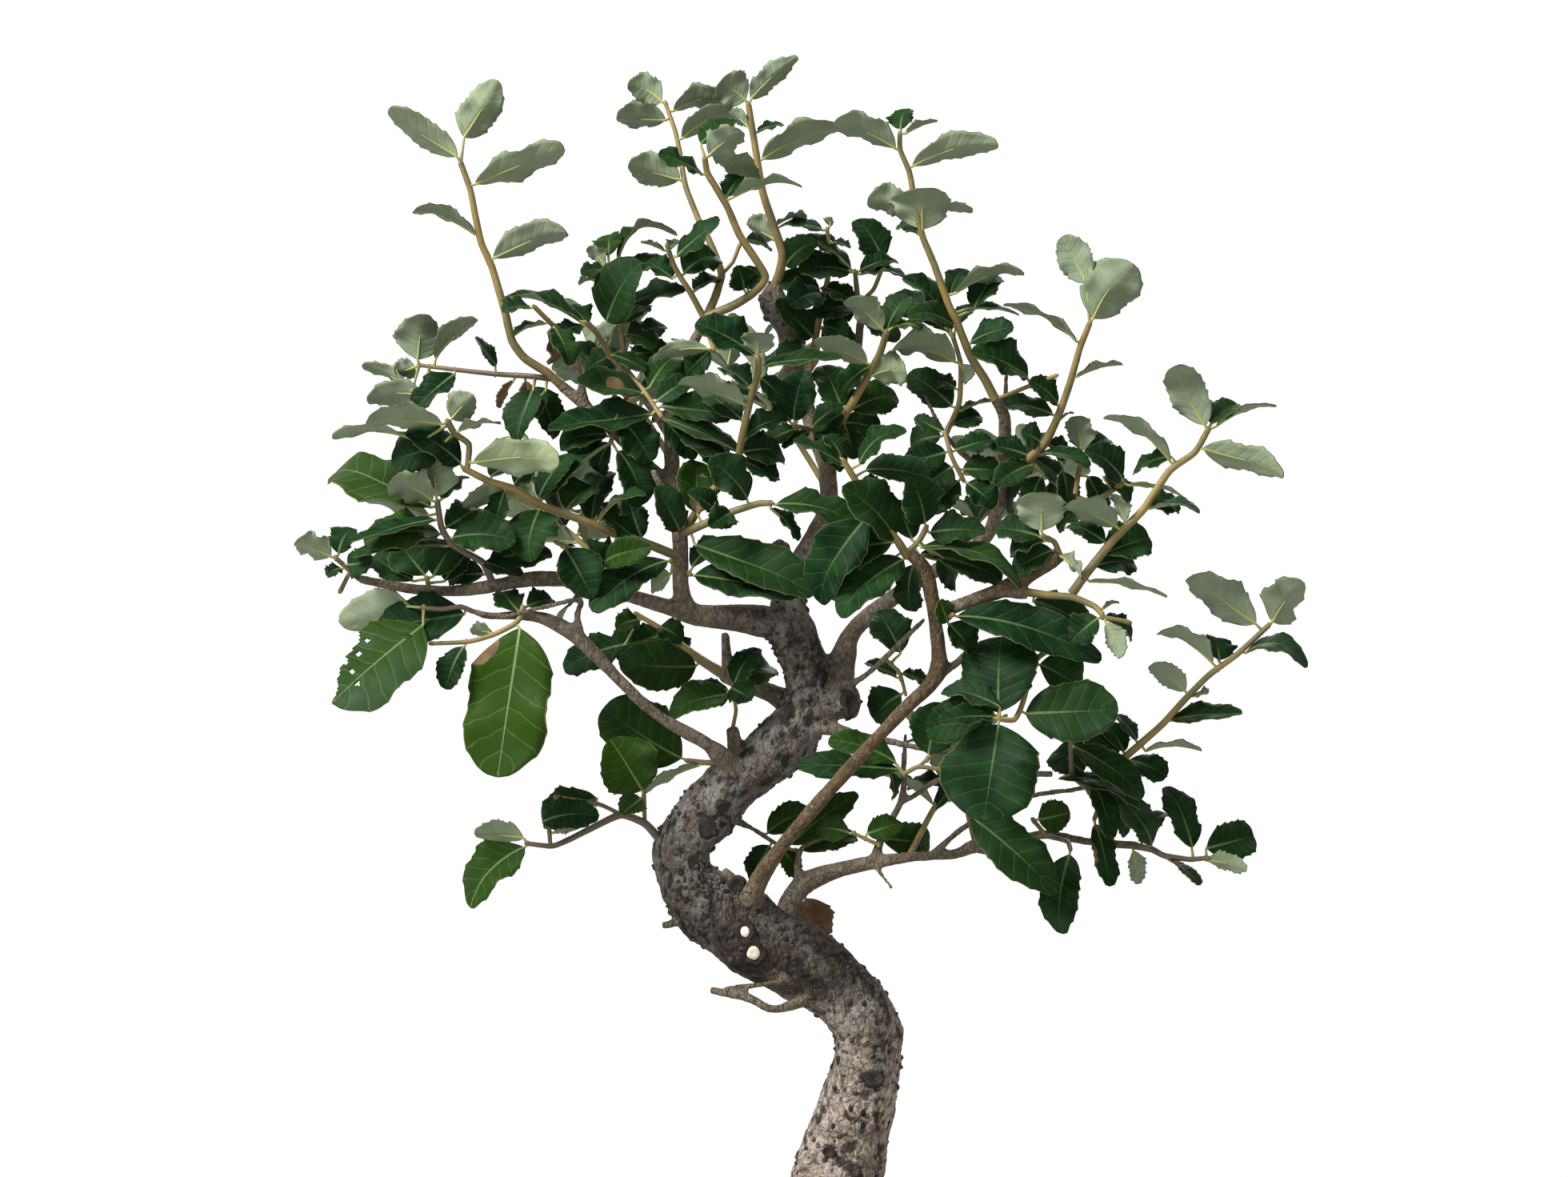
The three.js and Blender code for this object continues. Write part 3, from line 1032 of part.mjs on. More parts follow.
/** An oval ring-shaped body: a round profile turned and then drawn out to the pot's proportions. */
function ovalSolid(profile) {
  const points = profile.map(([radius, height]) => new THREE.Vector2(radius, height));
  const geometry = new THREE.LatheGeometry(points, POT_SEGMENTS);
  geometry.rotateX(Math.PI / 2);
  geometry.scale(1, POT_DEPTH / POT_LENGTH, 1);
  return toSolid(geometry);
}

/** An upright cylinder between two heights. */
function postSolid(x, y, radius, low, high, sides) {
  const geometry = new THREE.CylinderGeometry(radius, radius, high - low, sides);
  geometry.rotateX(Math.PI / 2);
  geometry.translate(x, y, (low + high) / 2);
  return toSolid(geometry);
}

/** An upright box from its lowest and highest corners. */
function blockSolid(low, high) {
  const size = high.map((value, i) => value - low[i]);
  const geometry = new THREE.BoxGeometry(...size);
  geometry.translate(...high.map((value, i) => (value + low[i]) / 2));
  return toSolid(geometry);
}

const POT_RADIUS = POT_LENGTH / 2;
const FLOOR_TOP = FOOT_HEIGHT + POT_FLOOR;
const BASE_RADIUS = POT_RADIUS - POT_FLARE;
const INNER_BASE_RADIUS = BASE_RADIUS - POT_WALL;
const KNEE_RADIUS = BASE_RADIUS + POT_KNEE;
const INNER_KNEE_RADIUS = KNEE_RADIUS - POT_WALL;
const MOUTH_RADIUS = POT_RADIUS - POT_LIP - POT_WALL;
const RIM_UNDER = POT_HEIGHT - RIM_DEPTH;

/** The pot: an oval tray with a rolled rim, four feet and two drain holes. */
function potSolid() {
  let pot = ovalSolid([
    [0, FOOT_HEIGHT],
    [BASE_RADIUS - FLOOR_ROUND, FOOT_HEIGHT],
    [BASE_RADIUS, FOOT_HEIGHT + FLOOR_ROUND],
    [KNEE_RADIUS, KNEE_HEIGHT],
    [POT_RADIUS - POT_LIP, RIM_UNDER],
    [POT_RADIUS, RIM_UNDER + RIM_ROUND],
    [POT_RADIUS, POT_HEIGHT - RIM_ROUND],
    [POT_RADIUS - RIM_ROUND, POT_HEIGHT],
    [MOUTH_RADIUS, POT_HEIGHT],
    [INNER_KNEE_RADIUS, KNEE_HEIGHT],
    [INNER_BASE_RADIUS, FLOOR_TOP + FLOOR_ROUND],
    [INNER_BASE_RADIUS - FLOOR_ROUND, FLOOR_TOP],
    [0, FLOOR_TOP],
  ]);
  for (const sx of [-1, 1]) {
    for (const sy of [-1, 1]) {
      pot = pot.add(postSolid(sx * FOOT_X, sy * FOOT_Y, FOOT_RADIUS, 0, FOOT_HEIGHT + OVERLAP, FOOT_SIDES));
    }
    pot = pot.subtract(postSolid(sx * DRAIN_X, 0, DRAIN_RADIUS, 0, FLOOR_TOP + OVERLAP, DRAIN_SIDES));
  }
  return pot;
}

/** How far the pot's inner wall is from its middle at a height, less a clearance. */
function fillRadius(height) {
  const foot = FLOOR_TOP + FLOOR_ROUND;
  const radius = height < KNEE_HEIGHT
    ? THREE.MathUtils.mapLinear(height, foot, KNEE_HEIGHT, INNER_BASE_RADIUS, INNER_KNEE_RADIUS)
    : THREE.MathUtils.mapLinear(height, KNEE_HEIGHT, POT_HEIGHT, INNER_KNEE_RADIUS, MOUTH_RADIUS);
  return radius - FILL_CLEARANCE;
}

/** The drainage grit: a flat bed on the pot's floor. */
function gritSolid() {
  const low = FLOOR_TOP + GAP;
  const high = FLOOR_TOP + GRIT_DEPTH;
  const foot = FLOOR_TOP + FLOOR_ROUND;
  return ovalSolid([
    [0, low],
    [fillRadius(foot) - FLOOR_ROUND, low],
    [fillRadius(foot), foot],
    [fillRadius(high), high],
    [0, high],
  ]);
}

/** The soil: it fills the pot above the grit and rises a little towards the trunk. */
function soilSolid() {
  const low = FLOOR_TOP + GRIT_DEPTH + GAP;
  return ovalSolid([
    [0, low], [fillRadius(low), low], [fillRadius(KNEE_HEIGHT), KNEE_HEIGHT],
    [fillRadius(SOIL_TOP), SOIL_TOP],
    [MOUND_RADIUS, SOIL_TOP + MOUND_SHARE * SOIL_RISE], [0, SOIL_TOP + SOIL_RISE],
  ]);
}

/** A square mesh screen over a drain hole, thickened by a margin. */
function screenSolid(x, margin) {
  const half = SCREEN_SIDE / 2 + margin;
  const low = FLOOR_TOP + GAP - margin;
  const top = low + SCREEN_THICK + 2 * margin;
  let screen = blockSolid([x - half, -half, low], [x + half, half, top]);
  if (margin > 0) {
    return screen;
  }
  for (let i = -1; i <= 1; i += 1) {
    for (let j = -1; j <= 1; j += 1) {
      const cx = x + i * SCREEN_PITCH;
      const cy = j * SCREEN_PITCH;
      const reach = SCREEN_HOLE / 2;
      screen = screen.subtract(
        blockSolid([cx - reach, cy - reach, low - OVERLAP], [cx + reach, cy + reach, top + OVERLAP]));
    }
  }
  return screen;
}

/** The bent wire that holds a screen down: over the screen, down the hole and out under the floor. */
function clipSolid(x, margin) {
  const top = FLOOR_TOP + GAP + SCREEN_THICK + GAP + CLIP_WIRE;
  const under = FOOT_HEIGHT - GAP - CLIP_WIRE;
  const half = [
    [CLIP_REACH - CLIP_BEND, top], [CLIP_REACH, top - CLIP_BEND], [CLIP_REACH, under + CLIP_BEND],
    [CLIP_REACH + CLIP_BEND, under], [CLIP_REACH + CLIP_FOOT, under],
  ];
  const mirrored = half.map(([along, height]) => [-along, height]).reverse();
  const points = [...mirrored, ...half].map(([along, height]) => new THREE.Vector3(x, along, height));
  return toSolid(stemGeometry(points, points.map(() => CLIP_WIRE), CLIP_SIDES, margin));
}

/** A named mesh of a solid with its own plain material. */
function piece(name, solid, color, roughness, metalness = 0) {
  const material = new THREE.MeshStandardMaterial({ color, roughness, metalness });
  const mesh = new THREE.Mesh(toGeometry(solid), material);
  mesh.name = name;
  return mesh;
}

const bonsai = new THREE.Group();
bonsai.position.set(CENTRE_X, CENTRE_Y, 0);

const wood = woodSolid(0);
const woodClear = woodSolid(GAP);
const screens = [-DRAIN_X, DRAIN_X];
const fittings = screens.flatMap((x) => [screenSolid(x, GAP), clipSolid(x, GAP)]);

bonsai.add(piece("pot", potSolid(), 0x5b4438, 0.8));
screens.forEach((x, i) => {
  const side = i === 0 ? "left" : "right";
  bonsai.add(piece(`drain_screen_${side}`, screenSolid(x, 0), 0x1c1c1c, 0.6));
  bonsai.add(piece(`screen_clip_${side}`, clipSolid(x, 0), 0x9a9a9a, 0.4, 1));
});
const grit = largest(gritSolid().subtract(wasm.Manifold.union(fittings)));
bonsai.add(piece("drainage_grit", grit, 0x8a7a66, 0.95));
bonsai.add(piece("soil", largest(soilSolid().subtract(woodClear)), 0x4a3a2c, 0.95));
bonsai.add(piece("trunk", wood, 0x6d5f52, 0.9));

const rows = [...SHOOTS, ...BACK_SHOOTS.map(backShoot)];
const shoots = rows.map((shoot) => ({ shoot, stems: shootStems(shoot) }));
const stemClear = shoots.map(({ shoot, stems }) => boxed(stemsSolid(shoot, stems, GAP), shoot[0]));
const leafClear = [];
const trunkClear = boxed(woodClear, "trunk");
shoots.forEach(({ shoot, stems }, rank) => {
  const [name, , , , leaves] = shoot;
  const parts = [cutFree(stemsSolid(shoot, stems, 0), [trunkClear, ...stemClear.slice(0, rank)], name)];
  const others = [trunkClear, ...stemClear, ...leafClear];
  const own = [];
  for (const leaf of leaves) {
    const frame = settleLeaf(stems, leaf, [...others, ...own]);
    own.push(boxed(leafSolid(frame, GAP), name));
    parts.push(cutFree(leafSolid(frame, 0), others, name));
  }
  leafClear.push(...own);
  bonsai.add(piece(name, largest(wasm.Manifold.union(parts)), 0x3f5f3a, 0.5));
});

export default bonsai;
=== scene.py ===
"""Cork oak bonsai in an unglazed oval pot: the visible surfaces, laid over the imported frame."""

import logging
import math
import random
from dataclasses import dataclass, field
from enum import Enum
from typing import Callable, Iterable, Sequence

import bmesh
import bpy
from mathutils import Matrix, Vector, noise
from mathutils.bvhtree import BVHTree
from mathutils.kdtree import KDTree


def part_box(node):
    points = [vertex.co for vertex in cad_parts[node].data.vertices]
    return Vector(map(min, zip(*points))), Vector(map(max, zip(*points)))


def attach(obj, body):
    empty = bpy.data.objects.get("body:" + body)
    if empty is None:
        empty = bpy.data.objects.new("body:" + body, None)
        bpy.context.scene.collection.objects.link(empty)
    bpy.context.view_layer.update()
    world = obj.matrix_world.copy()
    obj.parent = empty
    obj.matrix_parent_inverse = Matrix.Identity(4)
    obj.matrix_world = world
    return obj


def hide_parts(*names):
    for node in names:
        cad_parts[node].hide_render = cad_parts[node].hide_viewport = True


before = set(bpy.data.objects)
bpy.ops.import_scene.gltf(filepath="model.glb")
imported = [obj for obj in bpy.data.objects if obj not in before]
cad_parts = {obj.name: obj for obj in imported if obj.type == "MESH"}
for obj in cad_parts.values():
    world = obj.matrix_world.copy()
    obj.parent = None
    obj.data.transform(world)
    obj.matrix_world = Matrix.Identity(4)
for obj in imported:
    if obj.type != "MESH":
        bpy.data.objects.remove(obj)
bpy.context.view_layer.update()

LOG = logging.getLogger("cork_oak_bonsai")
MM = 0.001
BODY = "root"
Samples = list[tuple[Vector, float]]

# The lateral veins of a leaf, which also place its teeth.
VEIN_COUNT = 7.0
VEIN_SLANT = 0.16
VEIN_SHIFT = 0.29

# The eye that the positions are laid out for, on the trunk's own plane, in millimetres.
EYE_X = -6.0
EYE_Z = 304.0
EYE_DISTANCE = 1000.0
FRAME_WIDTH = 490.0
SENSOR_WIDTH = 36.0

# The plan position of the pot's middle, on which the whole is centred.
POT_LOW, POT_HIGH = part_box("pot")
SHIFT_X, SHIFT_Y = ((POT_LOW[axis] + POT_HIGH[axis]) / 2 for axis in (0, 1))
MIDDLE = Vector((SHIFT_X, SHIFT_Y, 0.0))


def seen(x: float, z: float, depth: float) -> Vector:
    """Puts a point given on the trunk's plane at its depth along the eye's line.

    Args:
        x: Position to the right, in millimetres.
        z: Height, in millimetres.
        depth: Distance behind the trunk's plane, in millimetres.

    Returns:
        The point in metres, in the frame.
    """
    spread = 1 + depth / EYE_DISTANCE
    across, height = EYE_X + (x - EYE_X) * spread, EYE_Z + (z - EYE_Z) * spread
    return Vector((across * MM + SHIFT_X, depth * MM + SHIFT_Y, height * MM))


def operator(operation: str, turned: bool = False) -> Callable[["Value", object], "Value"]:
    """A Python operator as a Math node, turned round where the plain number stands first."""
    return lambda self, other: self.graph.math(operation, *((other, self) if turned else (self, other)))


def oval(across: float, deep: float, height: float, sides: int) -> list[Vector]:
    """An oval ring of points about the pot's middle, or one point where it has no width.

    Args:
        across: Half its length.
        deep: Half its depth.
        height: Its height.
        sides: How many points it has.

    Returns:
        The places.
    """
    if across == 0.0:
        return [MIDDLE + Vector((0.0, 0.0, height))]
    return [MIDDLE + Vector((across * x, deep * y, height)) for x, y in circle(sides)]


class Value:
    """What a node gives out, which can be reckoned with as a number."""

    __add__ = __radd__ = operator("ADD")
    __mul__ = __rmul__ = operator("MULTIPLY")
    __sub__ = operator("SUBTRACT")
    __rsub__ = operator("SUBTRACT", turned=True)
    __truediv__ = operator("DIVIDE")
    __pow__ = operator("POWER")
    __gt__ = operator("GREATER_THAN")

    def __init__(self, graph: "Graph", socket: bpy.types.NodeSocket) -> None:
        """Keeps the socket and the graph it belongs to."""
        self.graph = graph
        self.socket = socket

    def __abs__(self) -> "Value":
        """The number without its sign."""
        return self.graph.math("ABSOLUTE", self)

    def ramp(self, low: object, high: object, to_low: object = 0.0, to_high: object = 1.0) -> "Value":
        """The number carried smoothly from one range to another, and held at its ends."""
        values = dict(enumerate((self, low, high, to_low, to_high)))
        return self.graph.get("ShaderNodeMapRange", values, interpolation_type="SMOOTHSTEP", clamp=True)


class Graph:
    """Adds nodes to a node tree and links them, with plain values where no link is given."""

    def __init__(self, tree: bpy.types.NodeTree) -> None:
        """Keeps the tree that nodes are added to."""
        self.tree = tree

    def put(self, socket: bpy.types.NodeSocket, value: object) -> None:
        """Links a socket to a node's value or sets it to a plain one.

        Args:
            socket: The socket.
            value: A node's value, a plain value or None to leave it as it is.
        """
        if isinstance(value, Value):
            self.tree.links.new(value.socket, socket)
        elif value is not None:
            socket.default_value = value

    def add(self, kind: str, inputs: dict | None = None, **settings: object) -> bpy.types.Node:
        """Adds a node.

        Args:
            kind: The node's type.
            inputs: Values or links by the input's name or number.
            settings: The node's own settings.

        Returns:
            The node.
        """
        node = self.tree.nodes.new(kind)
        for name, value in settings.items():
            setattr(node, name, value)
        for key, value in (inputs or {}).items():
            self.put(node.inputs[key], value)
        return node

    def get(self, kind: str, inputs: dict | None = None, output: int | str = 0, **settings: object) -> Value:
        """Adds a node and takes one of its outputs, by name or number."""
        return Value(self, self.add(kind, inputs, **settings).outputs[output])

    def math(self, operation: str, *values: object) -> Value:
        """A Math node's result."""
        return self.get("ShaderNodeMath", dict(enumerate(values)), operation=operation)

    def vector(self, operation: str, inputs: dict, output: str = "Vector") -> Value:
        """A Vector Math node's result."""
        return self.get("ShaderNodeVectorMath", inputs, output, operation=operation)

    def scaled(self, vector: object, factor: object) -> Value:
        """A vector times a number."""
        return self.vector("SCALE", {0: vector, "Scale": factor})

    def total(self, *vectors: object) -> Value:
        """The sum of several vectors.

        Args:
            vectors: The vectors.

        Returns:
            Their sum.
        """
        result = vectors[0]
        for other in vectors[1:]:
            result = self.vector("ADD", {0: result, 1: other})
        return result

    def parts(self, vector: Value) -> list[Value]:
        """The three numbers of a vector."""
        return [Value(self, output) for output in self.add("ShaderNodeSeparateXYZ", {0: vector}).outputs]

    def joined(self, x: object, y: object, z: object = 0.0) -> Value:
        """The vector of three numbers."""
        return self.get("ShaderNodeCombineXYZ", {0: x, 1: y, 2: z})

    def blend(self, share: object, first: object, second: object) -> Value:
        """A colour between two colours."""
        return self.get("ShaderNodeMix", {0: share, 6: first, 7: second}, 2, data_type="RGBA")

    def noise(self, place: object, scale: float, detail: float = 3.0, roughness: float = 0.55) -> Value:
        """A noise texture's value."""
        inputs = {"Vector": place, "Scale": scale, "Detail": detail, "Roughness": roughness}
        return self.get("ShaderNodeTexNoise", inputs)

    def vein_gap(self, along: Value, rim: Value, shift: object) -> Value:
        """Where a point of a leaf lies among its veins: 0.5 on a vein and 0 midway between two."""
        slant = rim * -VEIN_SLANT * VEIN_COUNT + (along * VEIN_COUNT + shift)
        return abs(self.math("FRACT", slant) - 0.5)


def plain_mesh(obj: bpy.types.Object) -> bpy.types.Object:
    """Turns an object with modifiers into one plain mesh object of the same name.

    Args:
        obj: The object with its modifiers, which is removed.

    Returns:
        The plain object, with its materials.
    """
    graph = bpy.context.evaluated_depsgraph_get()
    graph.update()
    mesh = bpy.data.meshes.new_from_object(obj.evaluated_get(graph), depsgraph=graph)
    name = obj.name
    obj.modifiers.clear()
    bpy.data.objects.remove(obj)
    mesh.name = name
    return make_object(name, mesh)


def make_object(name: str, data: bpy.types.ID) -> bpy.types.Object:
    """Links a mesh, a light or a camera into the scene as an object at the origin.

    Args:
        name: The object's name.
        data: What it shows.

    Returns:
        The object.
    """
    obj = bpy.data.objects.new(name, data)
    bpy.context.scene.collection.objects.link(obj)
    return obj


def from_bmesh(name: str, bm: bmesh.types.BMesh, outward: bool = False) -> bpy.types.Object:
    """Makes an object of a built mesh, with its faces turned outwards if wanted.

    Args:
        name: The object's name.
        bm: The built mesh, which is freed.
        outward: Whether the faces are turned.

    Returns:
        The object.
    """
    if outward:
        bmesh.ops.recalc_face_normals(bm, faces=bm.faces)
    mesh = bpy.data.meshes.new(name)
    bm.to_mesh(mesh)
    bm.free()
    return make_object(name, mesh)


def bridge(bm: bmesh.types.BMesh, rings: Sequence[Sequence[Vector]]) -> list[list[bmesh.types.BMVert]]:
    """Adds rings of points with faces between neighbours; a ring of one point closes as a fan.

    Args:
        bm: The mesh they are added to.
        rings: The places, ring by ring.

    Returns:
        The points added, ring by ring.
    """
    made = [[bm.verts.new(place) for place in ring] for ring in rings]
    for lower, upper in zip(made, made[1:]):
        sides = max(len(lower), len(upper))
        for s in range(sides):
            t = (s + 1) % sides
            pairs = ((lower, s), (lower, t), (upper, t), (upper, s))
            bm.faces.new(list(dict.fromkeys(ring[index % len(ring)] for ring, index in pairs)))
    return made


def keep(mesh: bpy.types.Mesh, name: str, values: Iterable) -> None:
    """Keeps a number or a vector for each point of a mesh as an attribute.

    Args:
        mesh: The mesh.
        name: The attribute's name.
        values: One value for each point.
    """
    values = list(values)
    if isinstance(values[0], (int, float)):
        mesh.attributes.new(name, "FLOAT", "POINT").data.foreach_set("value", values)
    else:
        data = mesh.attributes.new(name, "FLOAT_VECTOR", "POINT").data
        data.foreach_set("vector", [part for value in values for part in value])


def circle(sides: int) -> list[tuple[float, float]]:
    """The cosine and sine at each of a circle's even steps."""
    return [(math.cos(2 * math.pi * s / sides), math.sin(2 * math.pi * s / sides)) for s in range(sides)]


def settle(
    obj: bpy.types.Object, node: str | None, material: bpy.types.Material | None = None,
    smooth: bool = True,
) -> None:
    """Rides a finished piece on the body and what it replaces, and reports it.

    Args:
        obj: The finished piece.
        node: The CAD node it stands for, or None for an added piece.
        material: The material that takes the place of what it has, if any.
        smooth: Whether it is shaded smooth.
    """
    mesh = obj.data
    if material is not None:
        mesh.materials.clear()
        mesh.materials.append(material)
    if smooth:
        mesh.polygons.foreach_set("use_smooth", [True] * len(mesh.polygons))
        mesh.update()
    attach(obj, BODY)
    if node is not None:
        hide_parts(node)
    LOG.info("%s: %d faces", obj.name, len(mesh.polygons))


class Paint(Graph):
    """A material's node tree, with its one shader."""

    def __init__(self, name: str) -> None:
        """Makes the material.

        Args:
            name: The material's name.
        """
        self.material = bpy.data.materials.new(name)
        self.material.use_nodes = True
        super().__init__(self.material.node_tree)
        self.place = self.get("ShaderNodeTexCoord", output="Object")

    def attribute(self, name: str, output: str = "Fac") -> Value:
        """One of the piece's own attributes."""
        return self.get("ShaderNodeAttribute", output=output, attribute_name=name)

    def vector_parts(self, name: str) -> list[Value]:
        """The three numbers of one of the piece's own attributes."""
        return self.parts(self.attribute(name, "Vector"))

    def finish(
        self, colour: Value, roughness: Value, relief: Value, bump: tuple[float, float], **constants: float,
    ) -> bpy.types.Material:
        """Links the shader and sets its plain sockets.

        Args:
            colour: The base colour.
            roughness: The roughness.
            relief: The bump's height.
            bump: The bump's strength and its depth in metres.
            constants: Plain values by the socket's name, with _ for a space.

        Returns:
            The finished material.
        """
        shader = self.tree.nodes["Principled BSDF"].inputs
        normal = self.get("ShaderNodeBump", {"Height": relief, "Strength": bump[0], "Distance": bump[1]})
        for name, value in (("Base Color", colour), ("Roughness", roughness), ("Normal", normal)):
            self.put(shader[name], value)
        for name, value in constants.items():
            shader[name.replace("_", " ")].default_value = value
        return self.material


def rgb(red: float, green: float, blue: float) -> tuple[float, float, float, float]:
    """A linear colour with full alpha."""
    return (red, green, blue, 1.0)


@dataclass(frozen=True)
class BarkFinish:
    """Old bark: grey-brown and finely streaked, dark in a coarse stretch partly painted as the crown's shade,
    paler low down, partly painted light.
    """

    grey: tuple = rgb(0.235, 0.222, 0.195)
    brown: tuple = rgb(0.165, 0.14, 0.11)
    dark: tuple = rgb(0.014, 0.011, 0.009)
    # The pale tone low on the trunk, partly its pale plates and partly painted light below the crown's shade.
    low: tuple = rgb(0.56, 0.45, 0.365)
    limb: tuple = rgb(0.225, 0.177, 0.12)
    tan: tuple = rgb(0.135, 0.088, 0.041)
    pale_flake: tuple = rgb(0.5, 0.46, 0.4)
    furrow: tuple = rgb(0.055, 0.04, 0.028)
    # The dark coarse bark mid-trunk, partly painted shade where the crown shades the leaning trunk.
    coarse_and_shaded_tone: tuple = rgb(0.042, 0.032, 0.022)
    low_from: float = 0.186
    low_to: float = 0.15
    low_end: tuple[float, float] = (0.09, 0.13)
    coarse_and_shaded_heights: tuple[float, float, float, float] = (0.172, 0.186, 0.197, 0.214)

    def build(self) -> bpy.types.Material:
        """Builds the material, which reads the wood's own relief, girth and tan attributes.

        Returns:
            The material.
        """
        paint = Paint("old_bark")
        place, blend = paint.place, paint.blend
        relief, girth, tan = (paint.attribute(name) for name in ("relief", "girth", "tan"))
        height = paint.parts(place)[2]
        stretched = paint.get("ShaderNodeMapping", {"Vector": place, "Scale": (1.0, 1.0, 0.6)})
        patches = paint.noise(place, 85.0, 4.0, 0.6)
        streaks = paint.noise(stretched, 900.0, 4.0, 0.6)
        specks = paint.noise(place, 1500.0, 2.0)
        scratches = paint.noise(stretched, 1700.0, 3.0, 0.7)
        cells = paint.get("ShaderNodeTexVoronoi", {"Vector": place, "Scale": 300.0}, "Distance")
        blots = paint.noise(paint.total(place, (0.13, 0.27, 0.0)), 230.0, 4.0, 0.7)
        thick = girth.ramp(0.003, 0.008, 0.35, 1.0)
        # Worm-like cracks run between the plates of the bark.
        drift = paint.get("ShaderNodeTexNoise", {"Vector": place, "Scale": 260.0, "Detail": 2.0}, "Color")
        strayed = {"Vector": paint.total(stretched, paint.scaled(drift, 0.006)), "Scale": 330.0}
        edges = paint.get("ShaderNodeTexVoronoi", strayed, "Distance", feature="DISTANCE_TO_EDGE")
        crack = edges.ramp(0.16, 0.03) * patches.ramp(0.36, 0.52, 0.1, 1.0)
        colour = blend(patches.ramp(0.4, 0.62), self.grey, self.brown)
        # The dark coarse stretch mid-trunk, partly painted shade of the crown, and the pale plates low down,
        # partly painted light.
        first, second, third, last = self.coarse_and_shaded_heights
        # Painted shade, in part: the stretch under the crown is darkened as if in its shadow.
        coarse_and_shaded = height.ramp(first, second) * height.ramp(last, third)
        colour = blend(coarse_and_shaded * patches.ramp(0.3, 0.6, 0.6, 0.95), colour, self.coarse_and_shaded_tone)
        # Painted light, in part: the trunk is paler below the crown's shade.
        lowness = height.ramp(self.low_from, self.low_to) * blots.ramp(0.40, 0.56, 0.25, 1.0)
        colour = blend(lowness * height.ramp(*self.low_end, 0.25, 1.0), colour, self.low)
        colour = blend(girth.ramp(0.0055, 0.003, 0.0, 0.85), colour, self.limb)
        colour = blend(tan * patches.ramp(0.3, 0.7, 1.0, 0.85), colour, self.tan)
        blot = blots.ramp(0.52, 0.66, 0.0, 0.4) * thick * coarse_and_shaded.ramp(0.0, 1.0, 0.65, 1.2)
        colour = blend(blot, colour, self.furrow)
        fine = (coarse_and_shaded * 0.4 + 0.32) * tan.ramp(0.0, 1.0, 1.0, 0.45)
        fine = fine * height.ramp(self.low_to, self.low_from, 1.25, 1.0)
        colour = blend(streaks.ramp(0.5, 0.64) * fine, colour, self.dark)
        flake = streaks.ramp(0.46, 0.34, 0.0, 0.22) * coarse_and_shaded.ramp(0.0, 1.0, 1.0, 0.25)
        colour = blend(flake, colour, self.pale_flake)
        colour = blend(crack * thick * 0.42, colour, self.furrow)
        colour = blend(scratches.ramp(0.54, 0.64) * fine, colour, self.dark)
        # Small dark warts crowd together where the blots are.
        spot = cells.ramp(0.30, 0.2) * blots.ramp(0.42, 0.5, 0.25, 1.0) * thick
        colour = blend(spot * cells.ramp(0.06, 0.16, 0.35, 0.85), colour, self.furrow)
        # Painted shade: the bark's furrows, where its relief is low, are darkened on the thick wood.
        colour = blend(relief.ramp(0.48, 0.2, 0.0, 0.85) * thick, colour, self.dark)
        grain = streaks + specks * 0.5 - scratches * 0.6 - crack * 0.7 + spot
        return paint.finish(
            colour, specks.ramp(0.3, 0.7, 0.72, 0.95), grain, (0.9, 0.0008), Specular_IOR_Level=0.25)


@dataclass(frozen=True)
class YoungBarkFinish:
    """Smooth ochre to olive bark of this year's shoots and of the petioles."""

    ochre: tuple = rgb(0.30, 0.21, 0.065)
    olive: tuple = rgb(0.165, 0.14, 0.045)
    pale: tuple = rgb(0.35, 0.37, 0.12)
    brown: tuple = rgb(0.13, 0.092, 0.058)
    purple: tuple = rgb(0.115, 0.085, 0.07)
    speck: tuple = rgb(0.4, 0.34, 0.22)

    def build(self) -> bpy.types.Material:
        """Builds the material: thin stalks go pale yellow-green, thicker wood goes brown.

        Returns:
            The material.
        """
        paint = Paint("young_bark")
        girth, woody = paint.attribute("radius_mm"), paint.attribute("woody")
        patches = paint.noise(paint.place, 75.0, 2.0)
        specks = paint.noise(paint.place, 1300.0, 2.0)
        colour = paint.blend(patches.ramp(0.35, 0.62), self.ochre, self.olive)
        colour = paint.blend(girth.ramp(0.6, 0.4), colour, self.pale)
        colour = paint.blend(girth.ramp(1.2, 1.9, 0.0, 0.7), colour, self.brown)
        colour = paint.blend(woody * girth.ramp(0.55, 0.8, 0.0, 0.85), colour, self.purple)
        colour = paint.blend(specks.ramp(0.62, 0.7, 0.0, 0.35), colour, self.speck)
        return paint.finish(colour, specks.ramp(0.3, 0.7, 0.45, 0.65), specks, (0.35, 0.0003))


class LeafFace(Enum):
    """The two faces of a leaf."""

    UPPER = "leaf_upper"
    UNDER = "leaf_under"


